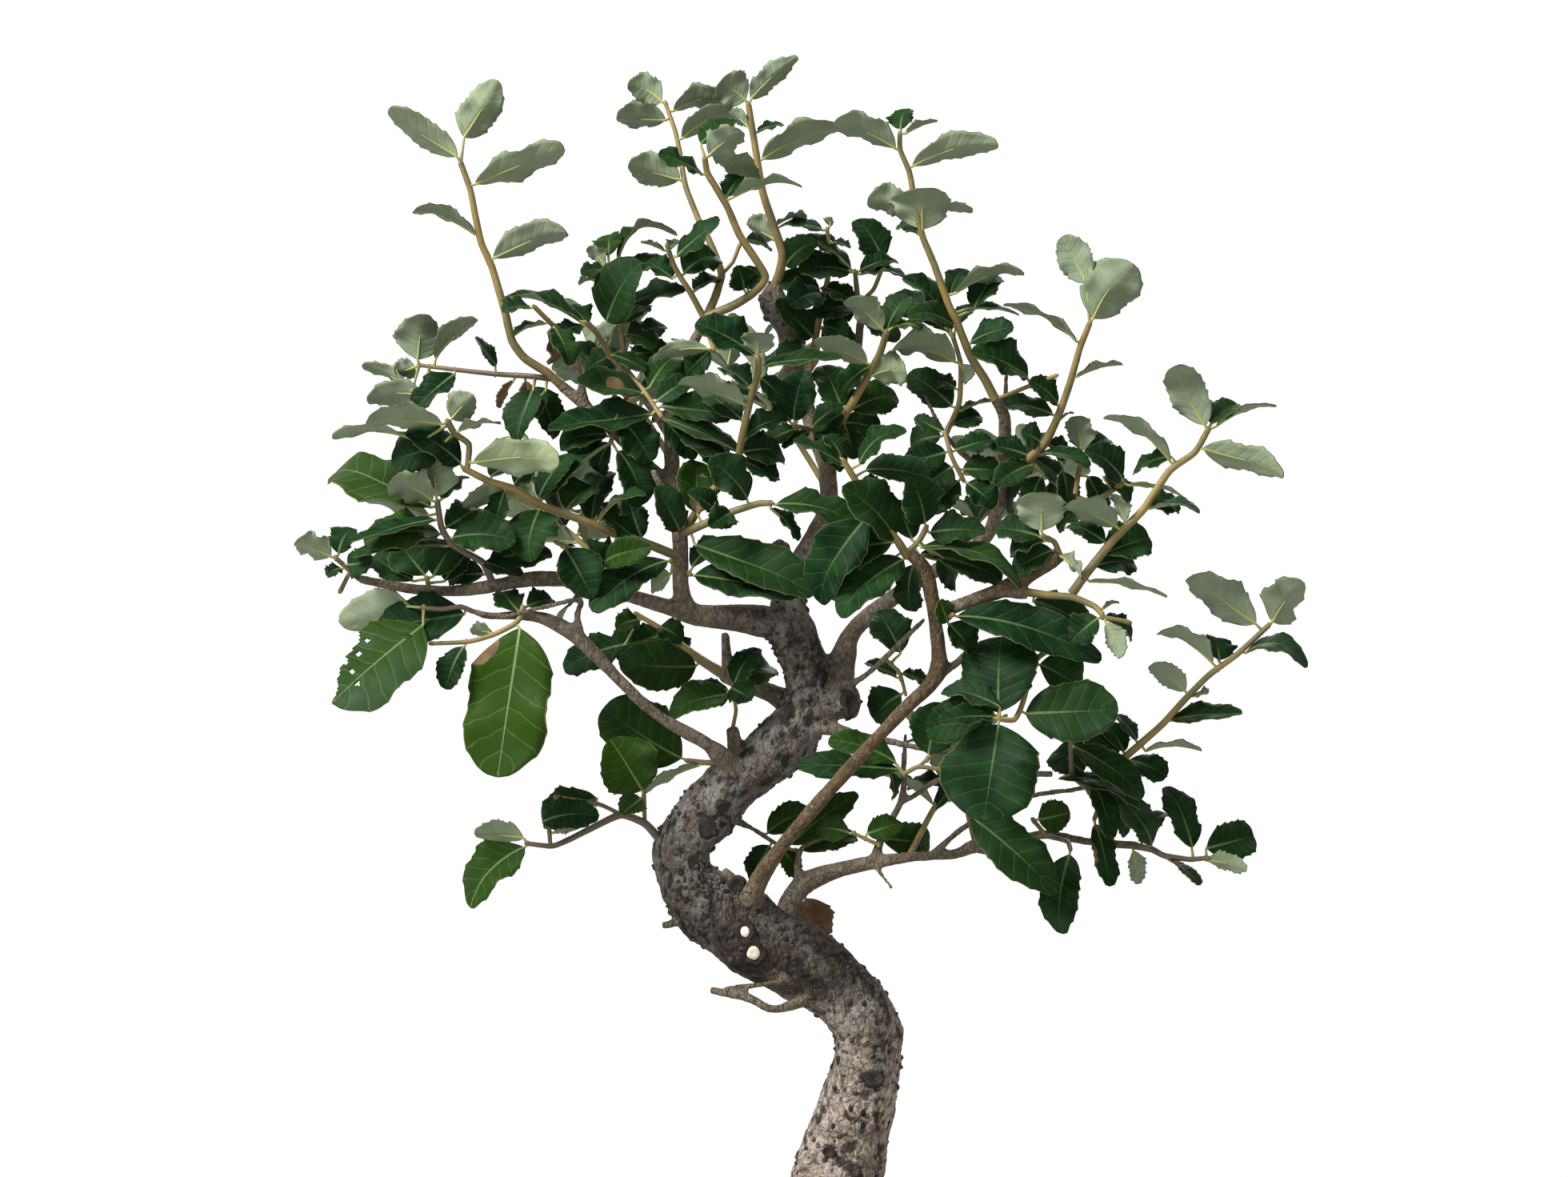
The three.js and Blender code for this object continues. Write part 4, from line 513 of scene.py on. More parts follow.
@dataclass(frozen=True)
class LeafFinish:
    """One face of a cork oak leaf: its colours, gloss and veins.

    The blade attribute holds how far along, how far across and the distance from the midrib in
    millimetres. The tone attribute holds brightness, dryness and a number of the leaf's own.
    """

    face: LeafFace
    deep: tuple
    middle: tuple
    bright: tuple
    rib: tuple
    dry: tuple = rgb(0.14, 0.09, 0.048)
    straw: tuple = rgb(0.215, 0.138, 0.078)
    edge: tuple = rgb(0.24, 0.24, 0.1)
    haze_and_sheen: tuple = rgb(0.034, 0.07, 0.038)
    haze_and_sheen_most: float = 0.5
    roughness: tuple[float, float] = (0.42, 0.6)
    specular: float = 0.045
    vein_strength: float = 0.16
    vein_bump: float = 0.2
    grain: float = 0.25
    rib_strength: float = 0.55
    rib_fade: tuple[float, float] = (0.15, 0.9)
    sheen: float = 0.0

    def build(self) -> bpy.types.Material:
        """Builds the material for this face.

        Returns:
            The material.
        """
        paint = Paint(self.face.value)
        place, blend = paint.place, paint.blend
        along, across, distance = paint.vector_parts("blade")
        brightness, dryness, number = paint.vector_parts("tone")
        side = abs(across)
        # Lateral veins leave the midrib at a slant, wander a little and end in the teeth.
        wander = paint.noise(place, 170.0, 2.0) * 0.5 + (VEIN_SHIFT - 0.25)
        gap = paint.vein_gap(along, side, wander)
        rib = (distance / along.ramp(0.0, 1.0, 0.5, 0.14)).ramp(1.15, 0.55)
        specks = paint.noise(place, 2100.0, 2.0)
        green = blend(paint.noise(place, 130.0, 2.0).ramp(0.35, 0.68), self.deep, self.middle)
        # Paler green by the leaf's brightness, which is partly painted light on leaves that stand in shade.
        green = blend(brightness, green, self.bright)
        # Patches lighten towards a haze, partly the leaf's own waxy or felted bloom and partly painted sheen.
        haze_and_sheen_film = paint.noise(place, 60.0, 2.0).ramp(0.42, 0.72) * number.ramp(0.2, 0.9, 0.1, self.haze_and_sheen_most)
        green = blend(haze_and_sheen_film, green, self.haze_and_sheen)
        shown = brightness.ramp(0.25, 0.7, self.vein_strength, self.vein_strength + 0.1)
        colour = blend(gap.ramp(0.445, 0.49) * shown, green, self.rib)
        ribbed = rib * along.ramp(*self.rib_fade, self.rib_strength, 0.12)
        ribbed = paint.math("MAXIMUM", ribbed, rib * brightness.ramp(0.4, 0.7, 0.0, 0.9))
        colour = blend(ribbed, colour, self.rib)
        colour = blend(side.ramp(0.955, 1.0) * 0.4, colour, self.edge)
        # Brown patches spread from the rim inwards where a leaf is drying.
        blotch = paint.noise(paint.total(place, (0.31, 0.17, 0.0)), 95.0, 3.0)
        dried = (blotch + side * 0.12 - (1.06 - dryness * 0.86)).ramp(0.0, 0.05)
        # One dry spot of the leaf's own, at the place and of the size that its mark gives.
        mark_along, mark_across, mark_size = paint.vector_parts("mark")
        off = (along - mark_along) ** 2.0 + ((across - mark_across) * 0.33) ** 2.0
        off = paint.math("SQRT", off) + (blotch - 0.5) * 0.16
        dried = paint.math("MAXIMUM", dried, (mark_size - off).ramp(0.0, 0.02))
        withered = blend(paint.noise(place, 210.0, 3.0).ramp(0.4, 0.6), self.dry, self.straw)
        bloom = paint.noise(place, 260.0, 3.0).ramp(0.35, 0.7, *self.roughness)
        relief = gap.ramp(0.48, 0.2) + specks * self.grain - rib * 0.8
        return paint.finish(
            blend(dried, colour, withered), paint.math("MINIMUM", bloom + dried * 0.25, 1.0), relief,
            (self.vein_bump, 0.0003), Specular_IOR_Level=self.specular, Sheen_Weight=self.sheen,
        )


@dataclass(frozen=True)
class GrainFinish:
    """A plain finish in two colours with a speckle, as of clay, granules, grit, cut wood or wire."""

    name: str
    first: tuple
    second: tuple
    speck: tuple
    scale: float = 90.0
    speck_scale: float = 1100.0
    roughness: tuple[float, float] = (0.7, 0.92)
    metallic: float = 0.0
    bump: float = 0.4
    own_tone: bool = False

    def build(self) -> bpy.types.Material:
        """Builds the material, with the piece's own tone attribute where it has one.

        Returns:
            The material.
        """
        paint = Paint(self.name)
        patches = paint.noise(paint.place, self.scale, 4.0).ramp(0.35, 0.65)
        specks = paint.noise(paint.place, self.speck_scale, 2.0)
        colour = paint.blend(paint.attribute("tone") if self.own_tone else patches, self.first, self.second)
        colour = paint.blend(specks.ramp(0.55, 0.68, 0.0, 0.7), colour, self.speck)
        return paint.finish(
            colour, specks.ramp(0.3, 0.7, *self.roughness), specks, (self.bump, 0.0004),
            Metallic=self.metallic, Specular_IOR_Level=0.35,
        )


LEAF_UPPER = LeafFinish(
    LeafFace.UPPER, deep=rgb(0.004, 0.018, 0.006), middle=rgb(0.010, 0.037, 0.011),
    bright=rgb(0.030, 0.069, 0.004), rib=rgb(0.16, 0.24, 0.09),
)
LEAF_UNDER = LeafFinish(
    LeafFace.UNDER, deep=rgb(0.175, 0.225, 0.14), middle=rgb(0.22, 0.27, 0.17),
    bright=rgb(0.36, 0.43, 0.21), rib=rgb(0.44, 0.48, 0.2), dry=rgb(0.26, 0.175, 0.1),
    edge=rgb(0.26, 0.29, 0.17), haze_and_sheen=rgb(0.33, 0.375, 0.3),
    haze_and_sheen_most=0.25, roughness=(0.65, 0.85), specular=0.15, vein_strength=0.2, vein_bump=0.3, grain=0.03,
    rib_strength=0.8, rib_fade=(0.1, 0.55), sheen=0.1,
)
POT_CLAY = GrainFinish(
    "pot_clay", rgb(0.105, 0.062, 0.042), rgb(0.15, 0.09, 0.062), rgb(0.045, 0.03, 0.024),
    scale=24.0, speck_scale=700.0, roughness=(0.55, 0.8), bump=0.3,
)
SOIL_GRANULES = GrainFinish(
    "soil_granules", rgb(0.065, 0.042, 0.026), rgb(0.30, 0.19, 0.10), rgb(0.03, 0.022, 0.016), own_tone=True)
SOIL_BED = GrainFinish(
    "soil_bed", rgb(0.045, 0.03, 0.02), rgb(0.09, 0.06, 0.036), rgb(0.02, 0.015, 0.01), scale=200.0)
GRIT = GrainFinish("coarse_grit", rgb(0.3, 0.27, 0.22), rgb(0.42, 0.38, 0.31), rgb(0.2, 0.18, 0.15))
CUT_WOOD = GrainFinish(
    "cut_wood", rgb(0.78, 0.69, 0.53), rgb(0.88, 0.82, 0.7), rgb(0.5, 0.38, 0.24), scale=500.0,
    roughness=(0.6, 0.8), bump=0.2,
)
DARK_KNOT = GrainFinish(
    "dark_knot", rgb(0.012, 0.009, 0.007), rgb(0.04, 0.031, 0.023), rgb(0.008, 0.006, 0.005), scale=420.0)
BARK_WART = GrainFinish(
    "bark_wart", rgb(0.016, 0.012, 0.009), rgb(0.085, 0.066, 0.05), rgb(0.012, 0.009, 0.007), own_tone=True)
SCREEN_PLASTIC = GrainFinish(
    "screen_plastic", rgb(0.012, 0.012, 0.012), rgb(0.02, 0.02, 0.019), rgb(0.03, 0.03, 0.028),
    roughness=(0.5, 0.65), bump=0.1,
)
WIRE = GrainFinish(
    "bonsai_wire", rgb(0.42, 0.41, 0.39), rgb(0.5, 0.49, 0.46), rgb(0.33, 0.32, 0.3),
    roughness=(0.35, 0.5), metallic=1.0, bump=0.1,
)
FLOOR_FINISH = GrainFinish(
    "pale_floor", rgb(0.60, 0.60, 0.59), rgb(0.63, 0.63, 0.62), rgb(0.58, 0.58, 0.57),
    scale=6.0, roughness=(0.8, 0.9), bump=0.02,
)


# Wood: each run is of x, z, depth and radius, in millimetres.
TRUNK = ((5, 36, 0, 10), (4, 50, 0, 19), (4.5, 60, 0, 19.5), (6, 70, 0, 16.5), (7.5, 88, 0, 14.8),
    (8.5, 105, 0, 14.2), (10.5, 120, 0, 13.7), (12.8, 130, 0, 13.1), (16.2, 140, -1, 12.1),
    (18.6, 150, -2, 11.9), (19.7, 160, -2, 11.1), (18.6, 168.5, -2, 11.5), (13, 177, -3, 12),
    (4, 184.5, -4, 12), (-6, 190.5, -4, 12), (-17, 196, -4, 12.4), (-27, 202.5, -3, 11.8),
    (-34.3, 210, -2, 10.4), (-37.4, 218, -1, 9.1), (-36.2, 226, 0, 9.5), (-31, 233.5, 1, 10.1),
    (-23, 241.5, 2, 9.6), (-14, 249, 2, 9.4), (-4.5, 257.5, 2, 9.6), (0.8, 268, 2, 8.1), (0.8, 279, 2, 7),
    (-2.5, 289, 2, 7.2), (-4.5, 299, 4, 5.8), (-1.5, 310, 6, 4.4), (4, 320, 8, 3.6), (8, 330, 9, 3),
    (7.5, 341, 9, 2.8), (8.5, 353, 8, 2))
LIMBS = (
    ((-20, 247, -2, 4), (-26, 252, -8, 3.2), (-31, 256, -11, 2.2), (-45.7, 264.5, -17, 1.9),
     (-57, 275, -20, 1.9), (-68, 286.5, -23, 2.4), (-76, 292.5, -24, 2.4), (-85, 295.5, -24, 1.8),
     (-98, 295.5, -25, 1.3), (-106, 298, -26, 0.9)),
    ((-69, 287, -24, 1.5), (-70.6, 296, -25, 1.1), (-69.5, 300.5, -27, 1), (-82, 298, -29, 0.9),
     (-95, 294.7, -30, 0.9)),
    ((-4, 268, 6, 4), (-12, 272, 10, 3.2), (-25, 277.3, 15, 2.7)),
    ((-23.4, 278, 14, 2), (-24.4, 290, 8, 1.4)),
    ((-3, 291, 0, 5.8), (-11, 293.6, -3, 5), (-22, 294.8, -7, 4.1), (-33, 295.6, -10, 3.6),
     (-43.6, 298.6, -13, 2.7), (-55, 302, -16, 2.2), (-68, 306, -18, 2.2), (-84, 307, -20, 2.5),
     (-96, 305, -21, 2), (-108, 303.3, -22, 1.8), (-122, 303.8, -23, 1.7), (-139, 307, -25, 1.3)),
    ((-37, 298, -11, 3.2), (-38.3, 305, -12, 2.5), (-38.6, 320, -13, 2.6), (-41, 343, -7, 2.6),
     (-41, 357, -2, 2.3), (-38.6, 370, -1, 2), (-34.5, 380, -3, 1.8), (-30.5, 388.5, -6, 1.7)),
    ((-39, 323, -13, 1.8), (-43, 333, -18, 1.4), (-47, 341, -20, 1.1)),
    ((-40.5, 336, -8, 2.4), (-47, 341.5, -11, 2), (-61, 354.5, -13, 1.9), (-68, 361, -12, 1.8),
     (-76, 367.8, -10, 1.9)),
    ((-41.3, 352, -3, 1.9), (-49, 363, 3, 1.6), (-56, 373, 5, 1.4)),
    ((-68, 361, -12, 1.5), (-70, 371, -14, 1.3), (-72, 381, -15, 1.2)),
    ((7.5, 341, 9, 2.6), (2, 358, 14, 2.8), (-2.5, 372, 12, 3.2), (-4, 384, 7, 4.2), (-9, 393, 3, 5.2),
     (-9, 399, 2, 2.6)),
    ((8, 345, 9, 2.2), (12, 364, 13, 1.8), (16.5, 376, 14, 1.6), (18, 388, 13, 1.4)),
    ((3, 262, 0, 5), (10, 270, 0, 4.8), (12.6, 282, 3, 4), (16, 291, 6, 3), (28, 301, 12, 2.6),
     (42, 310, 18, 2.6), (56, 319, 16, 2.6), (61, 330, 10, 2.5), (61.5, 341, 4, 2.2), (63, 351, 0, 2),
     (62.8, 358, -4, 1.9), (60, 363.5, -8, 1.8)),
    ((60, 334, 8, 1.7), (54, 342, 4, 1.2), (46.5, 349.5, 0, 1.1), (42, 356, -3, 0.9), (38, 364.5, -6, 0.8)),
    ((61.5, 341, 4, 2), (66, 341, 0, 1.9), (69.5, 343.5, -4, 1.7)),
    ((62.8, 356, -4, 1.2), (63.6, 372, -1, 0.8)),
    ((-15, 201, -6, 4.4), (-16, 207, -11, 3.3), (-12.4, 215, -15, 2.9), (-5.4, 225, -19, 2.3),
     (5.7, 238, -24, 2.2), (18.9, 252.7, -29, 2.2), (32, 266.6, -32, 2.2), (38.5, 272.5, -33, 2.5),
     (42.2, 278.5, -34, 3), (42.2, 286, -34, 2.5), (41.2, 294, -35, 2.3), (39.6, 305, -35, 2.6),
     (37, 311.5, -35.5, 2.3), (33, 315, -36, 1.9)),
    ((42, 297, -34, 2.4), (48, 298.5, -35, 2.3), (62, 303.8, -37, 2.9), (76, 311.5, -42, 2.4),
     (80.5, 315, -43, 2.2)),
    ((62, 303.5, -37, 2.4), (70, 302.3, -39, 2)),
    ((43, 277.5, -33, 1.9), (47, 280, -32, 1.4), (57, 287, -29, 1.3), (74, 289, -32, 0.9),
     (79, 286, -33, 0.8)),
    ((-6, 196, 4, 4), (-4, 206, 9, 3.6), (1.5, 212.4, 11, 3.4), (15.4, 217, 10, 2.5), (32.8, 220, 7, 1.9),
     (47, 221, 4, 1.8), (54, 223.6, 2, 2.3), (61, 222, 1, 1.8), (74, 227, -2, 1.6), (90, 224.8, -5, 1.5),
     (105, 223.7, -9, 1.5)),
    ((22.5, 219, 9, 1.8), (24.4, 226, 11, 1.4), (30.7, 238, 14, 1.3), (31.4, 248.6, 15, 1),
     (32, 259, 16, 0.8)),
    ((30.2, 237, 14, 1.2), (36, 240, 12, 1.1), (42, 244, 8, 1.1), (55, 246, 2, 1.1), (78, 246, -8, 1.1)),
    ((40, 220.5, 5, 1.4), (52, 230.5, 2, 1.1), (71, 239, -2, 1), (88, 242, -6, 1), (98.5, 249.5, -12, 1)),
    ((22, 218, 8, 0.9), (28, 210, 4, 0.7)),
    ((-1.5, 209.5, 10, 1.6), (-1, 222, 12, 1), (6, 226, 15, 0.8)),
    ((-22, 232, 6, 1.6), (-15, 228.5, 8, 0.9), (-8, 224, 9, 0.8)),
    ((2, 266, 0, 5), (11, 268.5, -4, 5.2), (16.5, 268.5, -6, 5.2)),
    ((10, 273, -4, 2), (19.6, 277, -10, 1.1), (38, 294.5, -14, 0.9)),
    ((3, 261, -2, 2.6), (10, 260, -5, 2.2), (21, 257.6, -9, 1.2), (46, 252, -15, 0.9)),
    ((-3, 303, 2, 3.4), (-5.5, 311, -4, 3), (-7.5, 317, -9, 2.8)),
    ((-21, 249, 0, 2.6), (-22, 260.5, -2, 2.3)),
    ((-34, 201, -6, 2), (-44, 198.6, -9, 1)),
    ((-15, 206, -8, 2.6), (-21, 212.5, -10, 1.5), (-25, 215.8, -11, 0.7)),
    ((2, 176, -10, 2.4), (-9, 172.5, -19, 1.3), (-17, 176, -20, 0.9), (-29, 178.5, -21, 0.6)),
    ((-2, 182, -12, 1.8), (-11, 180.5, -18, 0.9), (-24, 179, -20, 0.6)),
)
ROOTS = (
    ((0, 60, -6, 9), (-16, 56, -16, 6), (-34, 49, -26, 3)),
    ((10, 60, -8, 9), (24, 56, -20, 6), (42, 48, -30, 3)),
    ((12, 60, 4, 9), (32, 56, 12, 6), (52, 48, 20, 3)),
    ((2, 60, 8, 9), (-8, 56, 26, 6), (-20, 48, 40, 3)),
    ((-4, 60, 0, 9), (-26, 56, 6, 6), (-46, 48, 12, 3)),
)

# Leafy shoots: name, depth at the foot and at the end, radius at the foot and at the end, the stem's
# x and z points, its leaves and its side twigs. A leaf is foot x, foot z, tip x, tip z, width, facing,
# reach in depth and, where it has one, arch. Facing is 0 with the upper face towards the eye, 90 with
# it up and 180 with the under face towards the eye.
SHOOTS = (
    ("far_left_tall", (-10, -24), (1.8, 1),
     ((-75, 367), (-80, 371.5), (-87, 376), (-91, 381.5), (-93.3, 391), (-97.3, 404.5), (-100.5, 411.8),
      (-102.3, 419.8), (-104, 428.5), (-107, 437)),
     ((-108, 439, -130, 453, 10, 140, -6), (-106, 445, -95.5, 463, 12, 160, 5),
      (-102.5, 430.5, -74.8, 441.6, 11, 132, -6), (-100.5, 414.5, -121.5, 423.5, 8, 110, -8),
      (-97.5, 407, -74, 417.5, 11, 134, -7)), ()),
    ("far_left_low", (-10, -6), (1.2, 0.7),
     ((-77, 369.3), (-85, 370.3), (-96, 371), (-108, 372.3), (-120, 373.8)),
     ((-120.5, 375.5, -118.8, 390, 16, 170, -3), (-115, 376, -102.3, 388.6, 10, 115, -4),
      (-121.5, 374, -127.5, 371.5, 7, 150, 3), (-109, 371, -121.8, 359.3, 10, 35, -8),
      (-118, 364, -136, 363.5, 10, 145, 4), (-122, 366, -136.6, 374.6, 6, 120, 6),
      (-96, 373.5, -102.8, 382.3, 7, 60, -3), (-90, 369.5, -95, 360.3, 5, 110, 2),
      (-87, 369, -86, 361, 5, 20, 3), (-80.5, 366, -91, 354, 10, 30, -4), (-84, 367, -77, 351, 11, 30, 3),
      (-84.5, 366, -90, 350.5, 12, 26, 6)), ()),
    ("left_tuft_low", (-14, -22), (1.1, 0.8),
     ((-72, 380), (-75.5, 384), (-79, 387), (-84, 392)),
     ((-84, 392, -94, 391.3, 9, 60, -4), (-80, 387, -90.3, 383.4, 7, 75, -5),
      (-79, 385.5, -72.3, 375.3, 9, 40, -9), (-79.5, 384, -78, 374, 8, 60, 4)), ()),
    ("left_tuft_mid", (-3, -12), (1.2, 0.8),
     ((-60, 376), (-64, 383), (-68, 387)),
     ((-70, 388, -93.3, 397, 11, 68, -6), (-68, 386, -77.5, 383.5, 8, 50, -6),
      (-66, 386.5, -74, 393.5, 9, 50, 8), (-47.5, 358.5, -80, 355.5, 13, 45, -6, -0.05),
      (-50, 364.5, -71, 368, 14, 50, -9), (-61, 377.5, -49, 372, 8, 50, -4),
      (-43, 356.8, -20, 347, 10, 55, 3), (-44.5, 361, -20, 359, 10, 30, 6),
      (-61, 351, -81, 331.5, 8, 60, -2), (-58, 347, -50, 330, 13, 30, 2), (-48, 367, -39, 378, 10, 25, 6),
      (-62, 354, -73, 345, 10, 30, 5), (-47, 362, -34, 369, 9, 30, 2), (-59.5, 352, -76.5, 349, 10, 34, 6),
      (-56.5, 358, -47.5, 343.5, 12, 22, 6), (-43.5, 357, -34, 344.5, 10, 26, 6),
      (-61, 351, -64.5, 339.5, 9, 26, 5)),
     (((-56, 372.5), (-60, 376)), ((-56, 372.5), (-50, 366, -7), (-44.5, 358, -13)),
      ((-52, 368, -5), (-57.5, 360, -11), (-60, 350, -14)))),
    ("left_tuft_top", (5, 2), (1.3, 0.8),
     ((-55, 372), (-56.5, 382), (-57, 391), (-60, 400)),
     ((-57, 391.5, -36.5, 396.5, 11, 50, -10), (-61.5, 387.5, -51, 406, 18, 26, -14),
      (-60, 402.5, -41.5, 406, 9, 55, 6), (-61, 403, -69.3, 403, 7, 55, -4),
      (-62, 405, -67, 410.5, 6, 140, 2), (-61, 408, -60.5, 415, 9, 20, 1),
      (-58, 406.5, -41, 417, 8, 78, 8, 0.24), (-61, 401, -70, 400.2, 6, 75, 4),
      (-57, 386, -50, 393, 10, 30, 10), (-55, 381, -43, 387, 10, 30, 5), (-55.5, 377, -41.5, 379, 9, 25, 4),
      (-55.5, 379, -69, 372, 9, 40, 7), (-56.5, 384, -46, 379.5, 8, 40, -6)), ()),
    ("left_crown_ochre", (-7, -16), (1.3, 0.8),
     ((-31, 388.5), (-35, 396), (-40, 404), (-42.5, 411)),
     ((-39.5, 408, -25.8, 419, 10, 48, -8), (-38, 402, -27, 408.5, 13, 26, 6),
      (-43, 410, -37.5, 412.5, 6, 60, 4), (-43, 409, -50.8, 412, 5, 80, -2),
      (-41, 401, -48.6, 406, 9, 45, 6), (-34.5, 397, -26, 401.3, 8, 50, 8),
      (-28.5, 378, -47.5, 376, 5.5, 150, -2), (-29.5, 379, -37.5, 369.5, 10, 24, 6)),
     (((-31, 388.5), (-29.5, 383, -2), (-28, 379, -3)),)),
    ("crown_left_tall", (-5, 6), (1.7, 0.7),
     ((-30, 389.5), (-27.5, 395), (-25.5, 402), (-27, 407), (-29.5, 413), (-32.8, 419.5), (-36.8, 430),
      (-38.5, 440), (-40, 447), (-43, 455.5)),
     ((-38.5, 431, -54.5, 437, 12, 145, -4), (-39.5, 444, -21, 453.8, 10, 122, -4),
      (-43, 450.5, -58.3, 450.8, 11, 128, -3), (-43.3, 455.5, -54.3, 462, 10, 150, 3),
      (-41, 453.5, -22.3, 456.8, 11, 122, -3, 0.1)),
     (((-25.5, 402), (-22, 406), (-20, 411)),)),
    ("crown_left_leaning", (-7, -26), (1.8, 1),
     ((-30.5, 388.7), (-22, 392.3), (-16, 396), (-11.8, 401.5), (-19.8, 414.3), (-24, 423.8),
      (-29.8, 433.5), (-30.8, 438.5)),
     ((-22, 426.5, -0.8, 431.8, 10, 98, -6), (-30.5, 439, -19, 447, 11, 145, -5),
      (-32, 443, -21, 450, 12, 50, 6), (-31.5, 433.5, -45, 440, 9, 60, -7), (-28, 440, -14, 432, 9, 130, 8),
      (-19, 413.5, -10, 410, 8, 60, 5), (-18.5, 397.5, -20.5, 404.5, 9, 20, -6),
      (-17.5, 397.5, -15, 404.5, 8, 20, -4), (-24, 425.5, -19.5, 432.8, 7, 28, 4)), ()),
    ("crown_top", (2, -4), (2, 1.1),
     ((-9, 398), (-7.3, 403), (-6.5, 408.8), (-10, 419.5), (-12.8, 428.3), (-14.8, 440.5), (-17.1, 455)),
     ((-18, 456.5, -26.2, 462.3, 12, 165, -3), (-16.4, 457, -2.8, 470.4, 8, 148, 3),
      (-13, 437.8, 12.5, 449.6, 12, 125, -6, 0.1), (-15, 446.5, -6.3, 449.3, 6, 60, 3),
      (-16.8, 447, -23, 453, 6, 120, 2), (-9, 418, 0.5, 420.6, 6, 90, 6),
      (-9, 412, -17.8, 417.8, 10, 120, 5), (-5.5, 405, 4, 412.5, 11, 30, -6)), ()),
    ("crown_top_right", (8, 2), (1.4, 0.7),
     ((2, 372), (5, 388), (7.5, 400), (8.5, 408), (7.5, 416)),
     ((6, 416, -7.5, 418.3, 9, 62, -4), (7.3, 417, 8.6, 420, 4, 130, 1), (9, 413, 14.6, 410.3, 5, 60, -2),
      (6.5, 397, -4, 393, 12, 30, -10), (6, 392, -2, 381, 9, 35, 6), (5, 386, 14, 384, 9, 30, -4),
      (3, 382, -9, 393, 10, 30, -8), (3.5, 379, -8, 377, 9, 30, -6), (4, 386, 16, 380, 10, 20, -7),
      (5, 393, -7, 402, 11, 30, -5), (5.5, 398, 17, 392.5, 8, 40, -4), (4, 388, -12, 385, 8, 40, 5)),
     (((-2, 366), (2, 372)),)),
    ("crown_right_node", (14, 4), (1.4, 0.8),
     ((18, 386), (17, 395), (16.2, 403)),
     ((15.5, 403.5, 0.8, 414.5, 10, 62, -8), (17, 402.5, 31.8, 402.6, 9, 68, -4),
      (17, 404, 29.5, 407, 8, 45, 6), (14.5, 403, -1.5, 403, 11, 35, -6), (25, 407, 17, 419.8, 12, 25, -8),
      (17.5, 392, 3, 390, 10, 30, -8), (18.5, 388, 30, 382.5, 8, 40, -5), (17, 392, 6, 387, 9, 30, -4)),
     (((17.3, 393), (22, 397.5), (25, 405)),)),
    ("centre_ochre", (6, -16), (1.8, 1.1),
     ((9, 351), (13, 358), (19.5, 369), (24, 377.5), (26, 384)),
     ((25.5, 385, 13.5, 394.6, 10, 140, -5), (26.5, 385.5, 33, 395.3, 10, 40, 3),
      (28, 386, 37, 386, 6, 60, -5), (20, 374.5, 3.5, 381.3, 10, 128, -8),
      (20.5, 370, 33, 372.5, 11, 158, -8), (12, 356, 24, 353.6, 10, 30, 6),
      (13, 360, 29.5, 364.5, 12, 20, 8), (22, 374.5, 12, 366, 9, 35, 10), (13, 361, 3, 352, 10, 30, 6),
      (11.5, 356, 24, 352, 9, 30, 6), (12, 358.5, 6, 374.5, 12, 22, 8), (13.2, 356.5, 16, 344.5, 9, 25, 6)),
     ()),
    ("right_crown_small", (0, -8), (1.1, 0.8),
     ((44.5, 352), (48.7, 362), (49.2, 374), (47, 382)),
     ((49, 374.5, 27.4, 380.5, 14, 125, -8, 0.1), (50, 375.5, 52, 368.6, 6, 140, -3),
      (45.5, 387, 32, 401.6, 11, 45, -6), (44, 386, 26, 395, 12, 35, 8), (46.5, 384, 33.5, 388.5, 8, 55, 4),
      (47.5, 386, 53, 393, 7, 50, 5), (48, 366, 41.5, 369.5, 7, 45, 3), (46, 347, 32, 344, 10, 20, -4),
      (48, 343, 36.5, 335, 11, 20, -5), (50, 339, 40, 328, 10, 25, -3), (51, 338, 60, 330, 10, 30, -3),
      (49.5, 342, 62, 341, 9, 30, 4), (47, 347, 59, 351, 8, 40, 5), (46.5, 361, 33, 371, 13, 25, -3),
      (47.5, 359.5, 60, 362.5, 5, 80, 4), (43.5, 353, 35, 357.5, 6, 30, 3),
      (46, 354.5, 55.5, 358.5, 9, 35, 3), (44, 352, 33, 349.5, 10, 25, 6)),
     (((46.6, 357), (44.5, 352.5, -6), (46.5, 345, -9), (50, 338, -9)),)),
    ("right_crown_tall", (-8, -20), (1.8, 0.8),
     ((60, 363), (57, 369), (52.3, 376.5), (48.5, 386), (45.3, 393), (40.9, 405.3), (37.3, 414), (35, 424),
      (33.2, 434), (30.3, 441), (30.2, 446)),
     ((37.4, 414.6, 38, 429.6, 18, 174, -5), (33, 423.5, 20.2, 425, 10, 150, 3),
      (36.5, 421, 52.6, 422.8, 5, 110, 3), (33.5, 436, 60.8, 444, 10, 132, -6, 0.05),
      (29, 441, 9.6, 450, 12, 122, -5), (30.8, 447, 32, 454.3, 9, 35, 3), (32, 446.5, 42, 450, 5, 98, -2),
      (47.5, 396.5, 68.6, 404.2, 9, 112, -6, 0.1), (46, 396, 50, 403.8, 8, 40, 4),
      (53.5, 391.5, 60, 402.5, 10, 35, 5), (50, 391.3, 67.5, 389.6, 6, 66, 3),
      (51.3, 380.5, 65.6, 386, 11, 50, -6), (47, 386, 34, 390.5, 9, 40, -5),
      (70.2, 370, 53.2, 378.6, 13, 40, -9), (38, 414.5, 30, 418, 7, 35, 5)),
     (((60, 363), (70, 367, -3), (79, 370.5, -5)),)),
    ("right_tall", (-3.6, -18), (1.8, 1),
     ((69.5, 343.5), (75.3, 349), (79.3, 357), (83.3, 368), (86.5, 379.3), (89.6, 387)),
     ((90.2, 388, 103, 405.6, 17, 168, -4), (88.5, 399.5, 81, 414, 11, 152, 4),
      (85.5, 381.5, 62.5, 392.3, 8, 100, -6, 0.12), (85, 369.7, 99.8, 374, 6, 88, -5),
      (79.2, 361, 70.6, 369, 8, 35, -5), (78, 358.5, 62, 363, 9, 45, 5),
